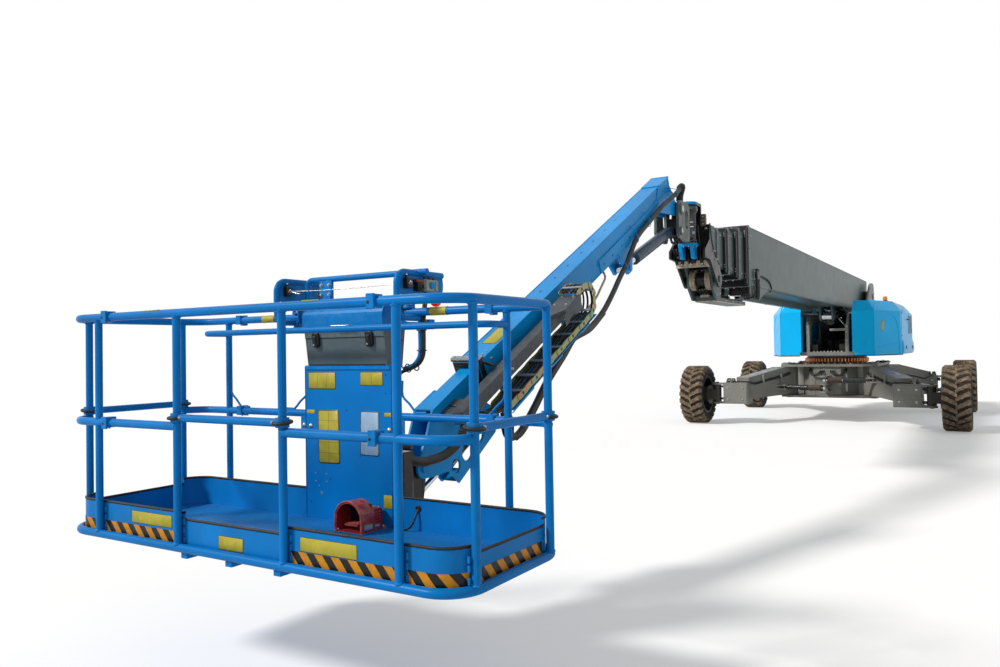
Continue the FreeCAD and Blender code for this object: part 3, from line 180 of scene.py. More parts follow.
class Finish:
    """A procedural material: a base colour with variation, dust, wear and a fine bump."""

    def __init__(self, name, rgb, rough=0.4, metal=0.0, coat=0.0, spec=0.35):
        self.material = bpy.data.materials.new(name)
        self.material.use_nodes = True
        self.tree = self.material.node_tree
        self.shader = self.tree.nodes["Principled BSDF"]
        self.place = self.node("ShaderNodeTexCoord").outputs["Object"]
        self.rough, self.height = rough, None
        self.shader.inputs["Metallic"].default_value = metal
        self.shader.inputs["Roughness"].default_value = rough
        self.shader.inputs["Specular IOR Level"].default_value = spec
        if coat:
            self.shader.inputs["Coat Weight"].default_value = coat
            self.shader.inputs["Coat Roughness"].default_value = 0.12
        self.rgb = rgb
        self.colour = None

    def node(self, kind, **settings):
        n = self.tree.nodes.new(kind)
        for key, value in settings.items():
            setattr(n, key, value)
        return n

    def join(self, a, b):
        self.tree.links.new(a, b)

    def noise(self, scale, detail=4.0, rough=0.55, offset=0.0):
        n = self.node("ShaderNodeTexNoise")
        n.inputs["Scale"].default_value = scale
        n.inputs["Detail"].default_value = detail
        n.inputs["Roughness"].default_value = rough
        where = self.place
        if offset:
            m = self.node("ShaderNodeMapping")
            m.inputs["Location"].default_value = (offset, offset, offset)
            self.join(where, m.inputs["Vector"])
            where = m.outputs["Vector"]
        self.join(where, n.inputs["Vector"])
        return n.outputs["Fac"]

    def spread(self, value, low, high, to_low=0.0, to_high=1.0):
        """Maps low..high to to_low..to_high, held at both ends."""
        n = self.node("ShaderNodeMapRange")
        for key, v in zip(("From Min", "From Max", "To Min", "To Max"), (low, high, to_low, to_high)):
            n.inputs[key].default_value = v
        self.join(value, n.inputs["Value"])
        return n.outputs["Result"]

    def times(self, a, b):
        n = self.node("ShaderNodeMath", operation="MULTIPLY")
        for socket, v in zip(n.inputs, (a, b)):
            if isinstance(v, float):
                socket.default_value = v
            else:
                self.join(v, socket)
        return n.outputs[0]

    def mix(self, amount, rgb):
        """Lays rgb over the colour so far, by amount."""
        n = self.node("ShaderNodeMix", data_type="RGBA")
        if self.colour is None:
            n.inputs["A"].default_value = linear(self.rgb)
        else:
            self.join(self.colour, n.inputs["A"])
        n.inputs["B"].default_value = linear(rgb)
        self.join(amount, n.inputs["Factor"])
        self.colour = n.outputs["Result"]
        return self

    def vary(self, amount=0.1, scale=2.0, detail=5.0):
        """Darker and lighter patches of the base colour."""
        darker = tuple(c * (1 - amount) for c in self.rgb)
        lighter = tuple(min(1, c * (1 + amount) + 0.02 * amount) for c in self.rgb)
        self.mix(self.spread(self.noise(scale, detail), 0.36, 0.52, 1, 0), darker)
        self.mix(self.spread(self.noise(scale * 1.7, detail, offset=7.0), 0.5, 0.68), lighter)
        return self

    def dust(self, amount, rgb=(0.6, 0.56, 0.48), scale=4.0, upward=True):
        """A broken veil of another colour, on all sides or most on those that face up."""
        veil = self.spread(self.noise(scale, 7.0, 0.65, offset=3.0), 0.35, 0.7, 0.15 * amount, amount)
        if upward:
            turn = self.node("ShaderNodeSeparateXYZ")
            self.join(self.node("ShaderNodeNewGeometry").outputs["Normal"], turn.inputs[0])
            veil = self.times(veil, self.spread(turn.outputs["Z"], -0.1, 0.95, 0.25, 1.0))
        return self.mix(veil, rgb)

    def low_dirt(self, amount, top, rgb=(0.42, 0.36, 0.28)):
        """Dirt that thins out with height, gone at top."""
        at = self.node("ShaderNodeSeparateXYZ")
        self.join(self.place, at.inputs[0])
        fade = self.spread(at.outputs["Z"], 0.1, top, 1.0, 0.0)
        patches = self.spread(self.noise(9.0, 8.0, 0.7, offset=5.0), 0.3, 0.65, 0.1, amount)
        return self.mix(self.times(fade, patches), rgb)

    def scuffs(self, amount, rgb, scale=30.0):
        """Small marks of another colour."""
        marks = self.noise(scale, 6.0, 0.75, offset=11.0)
        return self.mix(self.times(self.spread(marks, 0.62, 0.7), amount), rgb)

    def wear(self, amount, rgb, low=0.53, high=0.6):
        """Bare edges, where the surface bends outward."""
        edge = self.node("ShaderNodeNewGeometry").outputs["Pointiness"]
        broken = self.spread(self.noise(25.0, 6.0, 0.7, offset=2.0), 0.42, 0.6)
        return self.mix(self.times(self.times(self.spread(edge, low, high), broken), amount), rgb)

    def bump(self, scale, depth, detail=3.0):
        n = self.node("ShaderNodeBump")
        n.inputs["Strength"].default_value = 1.0
        n.inputs["Distance"].default_value = depth
        self.join(self.noise(scale, detail), n.inputs["Height"])
        if self.height:
            self.join(self.height, n.inputs["Normal"])
        self.height = n.outputs["Normal"]
        return self

    def done(self, rough_spread=0.08, rough_scale=6.0):
        """Joins the colour, an uneven roughness and the bump to the shader."""
        if self.colour is not None:
            self.join(self.colour, self.shader.inputs["Base Color"])
        else:
            self.shader.inputs["Base Color"].default_value = linear(self.rgb)
        if rough_spread:
            low, high = max(0.03, self.rough - rough_spread), min(1, self.rough + rough_spread)
            self.join(self.spread(self.noise(rough_scale, 6.0, 0.6, offset=1.0), 0.35, 0.65, low, high),
                      self.shader.inputs["Roughness"])
        if self.height:
            self.join(self.height, self.shader.inputs["Normal"])
        return self.material


def painted(name, rgb, rough=0.3, dust=0.12, dirt=0.0, spec=0.3, scuff=0.2, vary=0.06, grain=0.00008):
    """Machine paint with dust, scuffs, worn edges and orange peel; low dirt where dirt is given."""
    f = Finish(name, rgb, rough, spec=spec).vary(vary, 1.3)
    f.dust(dust)
    if dirt:
        f.low_dirt(dirt, 1.3)
    f.scuffs(scuff, tuple(c * 0.78 + 0.08 for c in rgb), 22.0)
    f.wear(0.35, tuple(min(1, c * 0.7 + 0.22) for c in rgb))
    return f.bump(420.0, grain).bump(9.0, 2.5 * grain, 2.0)


BLUE = painted("blue_paint_platform", (0.0, 0.43, 0.71), 0.34, 0.012, spec=0.10, scuff=0.06).done(0.05)
# Painted light: the jib's blue and the hoods' blue are lighter copies of the platform's blue paint, standing for the
# sunlight on them
BLUE_JIB_PAINTED_LIGHT = painted("blue_paint_jib_painted_light", (0.0, 0.53, 0.80), 0.32, 0.012, spec=0.10, scuff=0.06).done(0.05)
BLUE_HOOD_PAINTED_SUNLIGHT = painted("blue_paint_hood_painted_sunlight", (0.05, 0.71, 0.96), 0.30, 0.01, spec=0.05, scuff=0.02, vary=0.02,
                    grain=0.00001).done(0.02)
BOOM = painted("dark_grey_green_paint", (0.275, 0.338, 0.336), 0.34, 0.01, spec=0.11, scuff=0.04, vary=0.02,
               grain=0.00003).done(0.02)
CHASSIS = painted("warm_grey_paint", (0.48, 0.485, 0.465), 0.42, 0.12, 0.2, spec=0.2).done()
DARK_FRAME = painted("dark_frame_paint", (0.17, 0.18, 0.185), 0.42, 0.12, 0.3, spec=0.2).done()
BLACK = painted("black_paint", (0.04, 0.045, 0.05), 0.3, 0.05, spec=0.3).done()
RAM_BLUE = painted("slate_blue_ram_paint", (0.18, 0.25, 0.32), 0.24, 0.01, spec=0.12).done(0.03)
BLACK_GLOSS = painted("gloss_black_paint", (0.045, 0.055, 0.07), 0.16, 0.04, spec=0.5).done(0.03)
GREY_BOX = painted("light_grey_paint", (0.31, 0.37, 0.39), 0.34, 0.05, spec=0.2).done()
WEIGHT = painted("cast_grey_paint", (0.20, 0.215, 0.215), 0.5, 0.12, 0.2, spec=0.25).done()
RED = Finish("red_pedal_paint", (0.60, 0.12, 0.12), 0.38).vary(0.16, 9.0).dust(0.08).scuffs(
    0.6, (0.75, 0.55, 0.5), 60.0).wear(0.6, (0.75, 0.5, 0.45)).bump(500.0, 0.0002).done()
CHROME = Finish("polished_rod", (0.80, 0.81, 0.82), 0.09, 1.0).vary(0.05, 20.0).bump(
    90.0, 0.00005).done(0.04, 30.0)
STEEL = Finish("zinc_steel", (0.68, 0.69, 0.69), 0.32, 1.0).vary(0.12, 40.0).bump(
    300.0, 0.0001).done(0.1, 60.0)
BRONZE = Finish("greased_gear", (0.30, 0.19, 0.12), 0.4, 0.5).vary(0.25, 14.0).dust(
    0.5, (0.16, 0.10, 0.07), 10.0, False).bump(200.0, 0.0003).done()
SHEAVE = Finish("tan_sheave", (0.60, 0.55, 0.46), 0.4).vary(0.12, 12.0).scuffs(
    0.6, (0.75, 0.72, 0.66), 40.0).wear(0.6, (0.8, 0.78, 0.74)).bump(300.0, 0.0002).done()
HOSE = Finish("black_hose", (0.045, 0.045, 0.055), 0.5).vary(0.2, 12.0).dust(0.16, (0.4, 0.4, 0.4)).bump(
    260.0, 0.0006).done()
RUBBER = Finish("black_rubber", (0.04, 0.045, 0.045), 0.6).vary(0.2, 9.0).dust(0.15, (0.35, 0.36, 0.36)).bump(
    500.0, 0.0003).done()
TREAD = Finish("dusty_tread", (0.56, 0.49, 0.41), 0.85, spec=0.1).vary(0.22, 12.0).dust(
    0.75, (0.19, 0.165, 0.135), 16.0, False).scuffs(0.7, (0.50, 0.43, 0.35), 26.0).bump(120.0, 0.0015).done()
GROOVE = Finish("dark_groove", (0.19, 0.165, 0.135), 0.9).vary(0.25, 14.0).dust(
    0.6, (0.10, 0.09, 0.08), 20.0, False).bump(120.0, 0.0015).done()
SIDEWALL = Finish("tyre_side", (0.10, 0.11, 0.12), 0.72).vary(0.2, 5.0).dust(
    0.25, (0.24, 0.22, 0.20), 9.0, False).bump(260.0, 0.0006).done()
RIM = painted("rim_paint", (0.13, 0.14, 0.15), 0.45, 0.18, spec=0.2).done()
SLEEVE = Finish("brown_wrap", (0.22, 0.16, 0.15), 0.75).vary(0.25, 18.0).dust(0.3).bump(150.0, 0.0012).done()
# Painted highlight: the gear's teeth are a bright copper copy of the greased gear's colour, standing for the glints of
# light on them
GEAR_TEETH_PAINTED_HIGHLIGHT = Finish("gear_teeth_painted_highlight", (0.86, 0.56, 0.36), 0.3, 0.85).vary(0.2, 30.0).bump(
    200.0, 0.0003).done()
COPPER = Finish("copper_hose", (0.62, 0.36, 0.24), 0.35, 0.6).vary(0.15, 20.0).bump(300.0, 0.0002).done()
PLASTIC = Finish("black_plastic", (0.04, 0.042, 0.045), 0.42).vary(0.15, 20.0).bump(700.0, 0.0002).done()
SWITCH_GREY = Finish("grey_plastic", (0.55, 0.58, 0.53), 0.45).vary(0.08, 20.0).bump(700.0, 0.0002).done()
KEY_RED = Finish("red_plastic", (0.42, 0.06, 0.06), 0.35).vary(0.1, 20.0).bump(700.0, 0.0001).done()
LABEL = Finish("yellow_label", (0.66, 0.62, 0.20), 0.4, spec=0.2).vary(0.06, 16.0).dust(0.15).bump(
    700.0, 0.0001).done()
LABEL_EDGE = Finish("label_edge", (0.16, 0.16, 0.12), 0.4).vary(0.1, 16.0).bump(700.0, 0.0001).done()
WHITE_LABEL = Finish("white_label", (0.55, 0.66, 0.76), 0.35, spec=0.2).vary(0.05, 16.0).dust(0.1).bump(
    700.0, 0.0001).done()


def lens(name, rgb, glow):
    """Tinted plastic that lets some light through and glows a little; on the tail reflectors and the orange caps, which
    are no lamps, the glow is painted light.
    """
    f = Finish(name, rgb, 0.12, spec=0.5).vary(0.12, 40.0).bump(160.0, 0.0004)
    f.shader.inputs["Transmission Weight"].default_value = 0.35
    f.shader.inputs["Emission Color"].default_value = linear(rgb)
    f.shader.inputs["Emission Strength"].default_value = glow
    return f.done()


AMBER = lens("amber_lens", (0.92, 0.52, 0.14), 0.12)
RED_LENS = lens("red_lens", (0.86, 0.05, 0.05), 0.25)


def zinc_chain():
    """Yellow zinc plate, with the pink and green bloom of its passivation."""
    f = Finish("yellow_zinc", (0.60, 0.56, 0.34), 0.34, 0.55)
    f.mix(f.spread(f.noise(26.0, 3.0), 0.45, 0.56), (0.47, 0.62, 0.36))
    f.mix(f.spread(f.noise(31.0, 3.0, offset=4.0), 0.53, 0.62), (0.74, 0.42, 0.40))
    f.mix(f.spread(f.noise(24.0, 3.0, offset=9.0), 0.56, 0.66), (0.42, 0.55, 0.58))
    return f.bump(300.0, 0.0002).done()


ZINC = zinc_chain()


def tread_plate():
    """Blue paint over a floor plate with rows of small raised bars, plain on the toe boards."""
    f = Finish("blue_tread_plate", (0.0, 0.44, 0.72), 0.36, spec=0.10).vary(0.06, 1.5)
    height = f.node("ShaderNodeSeparateXYZ")
    f.join(f.place, height.inputs[0])
    top = f.spread(height.outputs["Z"], 0.6765, 0.6755)
    turn = f.node("ShaderNodeMapping")
    turn.inputs["Rotation"].default_value = (0, 0, math.radians(45))
    f.join(f.place, turn.inputs["Vector"])
    at = f.node("ShaderNodeSeparateXYZ")
    f.join(turn.outputs["Vector"], at.inputs[0])

    def wave(value, pitch):
        w = f.node("ShaderNodeMath", operation="SINE")
        f.join(f.times(value, 2 * math.pi / pitch), w.inputs[0])
        return w.outputs[0]

    bars = f.times(wave(at.outputs["X"], 0.026), wave(at.outputs["Y"], 0.026))
    raised = f.times(f.spread(bars, 0.25, 0.6), top)
    # Painted light: the raised bars are lighter, a painted highlight, and the flat cells between them are darker,
    # painted shade
    f.mix(f.times(raised, 0.30), (0.16, 0.52, 0.78))
    f.mix(f.times(f.times(f.spread(bars, -0.1, -0.8), top), 0.35), (0.01, 0.30, 0.56))
    f.dust(0.06, scale=3.0)
    n = f.node("ShaderNodeBump")
    n.inputs["Distance"].default_value = 0.0016
    f.join(raised, n.inputs["Height"])
    f.height = n.outputs["Normal"]
    return f.done()


TREADPLATE = tread_plate()


def console_paint():
    """Blue paint, with the box above the panel in light grey."""
    f = Finish("console_paint", (0.0, 0.44, 0.73), 0.34, spec=0.10).vary(0.05, 1.3).dust(0.012)
    at = f.node("ShaderNodeSeparateXYZ")
    f.join(f.place, at.inputs[0])
    wide = f.node("ShaderNodeMath", operation="ABSOLUTE")
    f.join(at.outputs["Y"], wide.inputs[0])
    box = f.times(f.spread(at.outputs["Z"], 1.4842, 1.4846), f.spread(at.outputs["Z"], 1.6665, 1.6660))
    box = f.times(box, f.times(f.spread(wide.outputs[0], 0.2735, 0.2730),
                               f.spread(at.outputs["X"], 15.1665, 15.1660)))
    grey = f.times(f.spread(f.noise(5.0, 6.0, offset=4.0), 0.4, 0.62), 0.5)
    f.mix(box, (0.31, 0.37, 0.39))
    f.mix(f.times(box, grey), (0.38, 0.43, 0.44))
    return f.bump(420.0, 0.00008).done(0.05)


CONSOLE_PAINT = console_paint()


# ---------------------------------------------------------- mesh building

def spot(origin, z=UP, x=AHEAD):
    """A placement at origin whose local Z runs along z, and local X near x."""
    z = Vector(z).normalized()
    x = Vector(x)
    x = x - z * x.dot(z)
    if x.length < 1e-4:
        x = Vector(LEFT) - z * z.y
        if x.length < 1e-4:
            x = Vector(UP)
    x.normalize()
    y = z.cross(x)
    m = Matrix((x, y, z)).transposed().to_4x4()
    m.translation = Vector(origin)
    return m


def curve_through(points, cuts=6):
    """Points along a smooth line through the given ones."""
    p = [Vector(q) for q in points]
    if len(p) == 2 or cuts < 2:
        return p
    p = [2 * p[0] - p[1]] + p + [2 * p[-1] - p[-2]]
    out = []
    for a, b, c, d in zip(p, p[1:], p[2:], p[3:]):
        for k in range(cuts):
            t = k / cuts
            out.append(0.5 * (2 * b + (c - a) * t + (2 * a - 5 * b + 4 * c - d) * t * t
                              + (3 * b - a - 3 * c + d) * t ** 3))
    return out + [p[-2]]


def arc(cx, cy, r, start, end, steps):
    """Points on a circle from one angle to another, in degrees."""
    turns = [math.radians(start + (end - start) * k / steps) for k in range(steps + 1)]
    return [(cx + r * math.cos(a), cy + r * math.sin(a)) for a in turns]


def circle(count, radius, first=0.0):
    """Evenly spaced points on a circle, the first one that part of a step round."""
    turns = [2 * math.pi * (k + first) / count for k in range(count)]
    return [(radius * math.cos(a), radius * math.sin(a)) for a in turns]


def oblong(half_x, half_y, y=0.0):
    """A rectangle's corners around (0, y)."""
    return [(-half_x, y - half_y), (half_x, y - half_y), (half_x, y + half_y), (-half_x, y + half_y)]


def upright(y, way=1):
    """A placement at y whose local X, Y and Z lie along the frame's X, Z and Y."""
    return Matrix(((1, 0, 0, 0), (0, 0, way, y), (0, 1, 0, 0), (0, 0, 0, 1)))


def across(x, way=1, left=1):
    """A placement at x whose local X, Y and Z lie along the frame's Y, Z and X."""
    return Matrix(((0, 0, way, x), (left, 0, 0, 0), (0, 1, 0, 0), (0, 0, 0, 1)))


def inset(outline, d):
    """The outline drawn in by d, for one that runs anticlockwise."""
    out = []
    n = len(outline)
    for k in range(n):
        a, b, c = (Vector(outline[(k + j) % n]) for j in (-1, 0, 1))
        u, v = (b - a).normalized(), (c - b).normalized()
        normal = Vector((-u.y - v.y, u.x + v.x))
        size = max(0.35, (1 + u.dot(v)) / 2) ** 0.5
        out.append(b + normal.normalized() * (d / size) if normal.length > 1e-6 else b)
    return out


class Piece:
    """Mesh detail of one finish that rides on one body."""
    all = []

    def __init__(self, name, body, material, smooth=40):
        self.name, self.body, self.material, self.smooth = name, body, material, smooth
        self.bm = bmesh.new()
        Piece.all.append(self)

    def mesh(self, verts, faces, place=None):
        """Adds faces by their vertices' numbers; one that is there already is left out."""
        made = [self.bm.verts.new(place @ Vector(v) if place else v) for v in verts]
        for f in faces:
            try:
                self.bm.faces.new([made[i] for i in f])
            except ValueError:
                pass
        return self

    def block(self, low, high, place=None, edge=0.003):
        """A box with its edges broken."""
        mid = [(a + b) / 2 for a, b in zip(low, high)]
        half = [abs(b - a) / 2 for a, b in zip(low, high)]
        c = min(edge, min(half) * 0.6)
        verts, index = [], {}
        for sx in (-1, 1):
            for sy in (-1, 1):
                for sz in (-1, 1):
                    s = (sx, sy, sz)
                    for axis in range(3):
                        index[s, axis] = len(verts)
                        verts.append([mid[k] + s[k] * (half[k] - (0 if k == axis else c)) for k in range(3)])
        faces = []
        for axis in range(3):
            b, d = [k for k in range(3) if k != axis]
            for side in (-1, 1):
                ring = []
                for sb, sd in ((-1, -1), (1, -1), (1, 1), (-1, 1)):
                    s = [0, 0, 0]
                    s[axis], s[b], s[d] = side, sb, sd
                    ring.append(index[tuple(s), axis])
                faces.append(ring)
            for sb in (-1, 1):
                for sd in (-1, 1):
                    lo, hi = [0, 0, 0], [0, 0, 0]
                    lo[axis], hi[axis] = -1, 1
                    lo[b] = hi[b] = sb
                    lo[d] = hi[d] = sd
                    lo, hi = tuple(lo), tuple(hi)
                    faces.append([index[lo, b], index[hi, b], index[hi, d], index[lo, d]])
        for sx in (-1, 1):
            for sy in (-1, 1):
                for sz in (-1, 1):
                    faces.append([index[(sx, sy, sz), k] for k in range(3)])
        return self.mesh(verts, faces, place)

    def lathe(self, profile, place=None, steps=20, closed=False):
        """A turned shape: profile is (radius, height) pairs, around the placement's Z."""
        verts, rings = [], []
        for r, z in profile:
            if r < 1e-6:
                rings.append([len(verts)] * steps)
                verts.append((0, 0, z))
            else:
                rings.append(list(range(len(verts), len(verts) + steps)))
                verts += [(r * math.cos(2 * math.pi * k / steps), r * math.sin(2 * math.pi * k / steps), z)
                          for k in range(steps)]
        faces = []
        pairs = list(zip(rings, rings[1:])) + ([(rings[-1], rings[0])] if closed else [])
        for low, high in pairs:
            for k in range(steps):
                j = (k + 1) % steps
                face = list(dict.fromkeys([low[k], low[j], high[j], high[k]]))
                if len(face) > 2:
                    faces.append(face)
        return self.mesh(verts, faces, place)

    def ring(self, place, big, small, steps=28, sides=10):
        """A round loop around the placement's Z."""
        return self.lathe([(big + x, z) for x, z in circle(sides, small)], place, steps, True)

    def rod(self, start, end, radius, steps=16, edge=0.002):
        """A straight bar with both ends' edges broken."""
        start, end = Vector(start), Vector(end)
        length, e = (end - start).length, min(edge, radius * 0.4)
        return self.lathe([(0, 0), (radius - e, 0), (radius, e), (radius, length - e), (radius - e, length),
                           (0, length)], spot(start, end - start), steps)

    def prism(self, outline, depth, place=None, edge=0.002):
        """A plate: the outline lies in the placement's XY and is thickened along its Z."""
        area = sum(a[0] * b[1] - b[0] * a[1] for a, b in zip(outline, list(outline[1:]) + [outline[0]]))
        outline = list(outline) if area > 0 else list(reversed(outline))
        e = min(edge, abs(depth) * 0.4)
        small, n = inset(outline, e), len(outline)
        step = e if depth > 0 else -e
        verts = [(*p, 0) for p in small] + [(*p, step) for p in outline]
        verts += [(*p, depth - step) for p in outline] + [(*p, depth) for p in small]
        faces = [list(range(n))[::-1], list(range(3 * n, 4 * n))]
        for level in range(3):
            for k in range(n):
                j = (k + 1) % n
                faces.append([level * n + k, level * n + j, level * n + n + j, level * n + n + k])
        return self.mesh(verts, faces, place)

    def tube(self, points, radius, sides=10, cuts=6, place=None, ribs=0.0, pitch=0.012):
        """A round line along a smooth path; ribs gives it the rings of a corrugated sleeve."""
        path = curve_through(points, cuts)
        if ribs:
            fine = [path[0]]
            for a, b in zip(path, path[1:]):
                count = max(1, round((b - a).length / (pitch / 2)))
                fine += [a.lerp(b, (k + 1) / count) for k in range(count)]
            path = fine
        verts, x = [], Vector((0.31, 0.57, 0.76))
        for k, p in enumerate(path):
            way = (path[min(k + 1, len(path) - 1)] - path[max(k - 1, 0)]).normalized()
            x = (x - way * x.dot(way)).normalized()
            y = way.cross(x)
            r = radius + (ribs if k % 2 else 0.0)
            for s in range(sides):
                a = 2 * math.pi * s / sides
                verts.append(p + (x * math.cos(a) + y * math.sin(a)) * r)
        faces = [list(range(sides))[::-1], list(range(len(verts) - sides, len(verts)))]
        for k in range(len(path) - 1):
            for s in range(sides):
                j = (s + 1) % sides
                faces.append([k * sides + s, k * sides + j, (k + 1) * sides + j, (k + 1) * sides + s])
        return self.mesh(verts, faces, place)

    def bolt(self, where, way, size=0.012, place=None):
        """A hexagon head on its washer; size is across the flats."""
        m = spot(where, way)
        m = place @ m if place else m
        s = size / 2
        self.lathe([(0, 0), (s * 1.5, 0), (s * 1.5, s * 0.18), (s * 1.42, s * 0.3), (0, s * 0.3)], m, 14)
        self.lathe([(0, s * 0.3), (s * 1.12, s * 0.3), (s * 1.12, s * 1.2), (s * 0.95, s * 1.4),
                    (0, s * 1.45)], m, 6)
        return self

    def made(self):
        """The piece as an object; with a body it rides there."""
        bmesh.ops.recalc_face_normals(self.bm, faces=self.bm.faces)
        data = bpy.data.meshes.new(self.name)
        self.bm.to_mesh(data)
        self.bm.free()
        data.materials.append(self.material)
        data.shade_smooth()
        data.set_sharp_from_angle(angle=math.radians(self.smooth))
        thing = bpy.data.objects.new(self.name, data)
        bpy.context.scene.collection.objects.link(thing)
        if self.body:
            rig.ride(thing, self.body)
        return thing

    def now(self):
        """Makes the object at once, for a piece that needs more than to ride."""
        Piece.all.remove(self)
        return self.made()


def rounded(half_x, half_y, r):
    """A rectangle's outline with rounded corners."""
    x, y = half_x - r, half_y - r
    corners = ((x, y, 0), (-x, y, 90), (-x, -y, 180), (x, -y, 270))
    return [p for cx, cy, start in corners for p in arc(cx, cy, r, start, start + 90, 3)]


def label(plate, border, where, way, x, width, height, place=None):
    """A blank sticker: a thin plate with a narrow dark border line."""
    m = spot(where, way, x)
    m = place @ m if place else m
    w, h = width / 2, height / 2
    r, line = min(w, h) * 0.16, min(w, h) * 0.08
    border.prism(rounded(w, h, r), 0.0008, m, 0.0003)
    plate.prism(rounded(w - line, h - line, r * 0.8), 0.0012, m, 0.0003)


# --------------------------------------------------------- finishes of CAD nodes

FINISHES = {
    CHASSIS: ["leg_", "chassis_frame", "turntable_frame"],
    DARK_FRAME: ["knuckle_"],
    BRONZE: ["slew_ring"],
    BLACK_GLOSS: ["swing_cylinder_", "lift_cylinder", "level_cylinder"],
    RAM_BLUE: ["jib_cylinder"],
    CHROME: ["swing_rod_", "lift_rod", "jib_rod", "level_rod"],
    SIDEWALL: ["tyre_"],
    RIM: ["wheel_"],
    WEIGHT: ["counterweight"],
    BLACK: ["engine", "nose_bracket", "jib_yoke", "platform_mount", "platform_support"],
    # The hoods' and the jib's blues are lighter copies of the platform's paint: painted light
    BLUE_HOOD_PAINTED_SUNLIGHT: ["hood_"],
    BOOM: ["boom_base", "boom_section_", "boom_tip"],
    SHEAVE: ["hose_sheaves"],
    BLUE_JIB_PAINTED_LIGHT: ["jib_outer", "jib_inner"],
    BLUE: ["platform_frame", "gate_", "console_lid"],
    CONSOLE_PAINT: ["console"],
    TREADPLATE: ["platform_floor"],
    RED: ["foot_pedal"],
}
for material, names in FINISHES.items():
    for name, node in NODES.items():
        if any(name == n or n.endswith("_") and name.startswith(n) for n in names):
            node.data.materials.clear()
            node.data.materials.append(material)


def soften(name, width=0.003, angle=32):
    """Breaks a CAD node's edges, so that they catch the light."""
    node = NODES[name]
    join = node.modifiers.new("join", "WELD")
    join.merge_threshold = 1e-5
    bevel = node.modifiers.new("edges", "BEVEL")
    bevel.width = width
    bevel.segments = 2
    bevel.limit_method = "ANGLE"
    bevel.angle_limit = math.radians(angle)
    bevel.harden_normals = True
    bevel.use_clamp_overlap = True


SOFTENED = ["jib_outer", "jib_inner", "platform_support", "boom_base", "boom_section_2", "boom_section_3",
            "boom_section_4", "boom_tip", "hood_left", "hood_right", "hood_left_cover", "hood_right_cover",
            "counterweight", "nose_bracket", "platform_mount"]
for name in SOFTENED:
    soften(name)
for _, _, end, side in CORNERS:
    soften(f"leg_{end}_{side}", 0.005)


# ------------------------------------------------------------------ wheels

TYRE_R = 0.5775
WHEEL_X, WHEEL_Y = 2.25, 2.2925
LUGS = 24
LUG_PATH = [(-0.016, -0.012, 0.060), (0.045, 0.040, 0.066), (0.085, 0.052, 0.062), (0.135, 0.088, 0.070),
            (0.1805, 0.106, 0.078), (0.2205, 0.112, 0.082), (0.2205, 0.112, 0.060)]
LUG_TOP = [TYRE_R, TYRE_R, TYRE_R, TYRE_R, TYRE_R, TYRE_R - 0.040, TYRE_R - 0.098]
LUG_DEPTH = [0.028, 0.028, 0.028, 0.028, 0.030, 0.022, 0.004]


def tread(piece, ex, sy):
    """The chevron lugs, swept from the tread's middle over each shoulder."""
    for side in (1, -1):
        for k in range(LUGS):
            verts = []
            middle = 2 * math.pi * (k + (0.5 if side < 0 else 0.0)) / LUGS
            for (v, u, width), top, depth in zip(LUG_PATH, LUG_TOP, LUG_DEPTH):
                for low, spread in ((0, 0), (0, 1), (1, 1), (1, 0)):
                    r = top - (depth if low else 0.0005)
                    half = width / 2 + (0.010 if low else 0)
                    a = middle + (u + (half if spread else -half)) / TYRE_R
                    y = v - (0.018 if low and v > 0.19 else 0)
                    verts.append((ex * r * math.cos(a), side * y, r * math.sin(a)))
            faces = [[0, 1, 2, 3], [len(verts) - 4 + j for j in range(4)]]
            for n in range(len(LUG_PATH) - 1):
                for j in range(4):
                    faces.append([4 * n + j, 4 * n + (j + 1) % 4, 4 * n + 4 + (j + 1) % 4, 4 * n + 4 + j])
            piece.mesh(verts, faces, Matrix.Translation((ex * WHEEL_X, sy * WHEEL_Y, TYRE_R)))


def tyre(ex, sy, corner):
    """The tyre's case, the dark bed between its lugs, and the lugs."""
    body, middle = f"wheel_{corner}", (ex * WHEEL_X, sy * WHEEL_Y, TYRE_R)
    place = spot(middle, LEFT)
    base = TYRE_R - 0.029
    case = Piece(f"tyre_case_{corner}", body, SIDEWALL, 50)
    side = [(0.3555, 0.183), (0.386, 0.184), (0.392, 0.194), (0.402, 0.196), (0.408, 0.203), (0.430, 0.214),
            (0.437, 0.2195), (0.446, 0.2195), (0.452, 0.214), (0.475, 0.216), (0.482, 0.2205), (0.489, 0.216),
            (0.515, 0.207), (0.535, 0.195)]
    case.lathe([(r, -y) for r, y in side] + side[::-1], place, 72, True)
    bed = Piece(f"tyre_grooves_{corner}", body, GROOVE, 50)
    bed.lathe([(0.522, -0.205), (0.538, -0.196), (base - 0.003, -0.178), (base, -0.1), (base, 0.1),
               (base - 0.003, 0.178), (0.538, 0.196), (0.522, 0.205)], place, 72, True)
    tread(Piece(f"tyre_lugs_{corner}", body, TREAD, 30), ex, sy)
    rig.replaces(case.now(), f"tyre_{corner}")


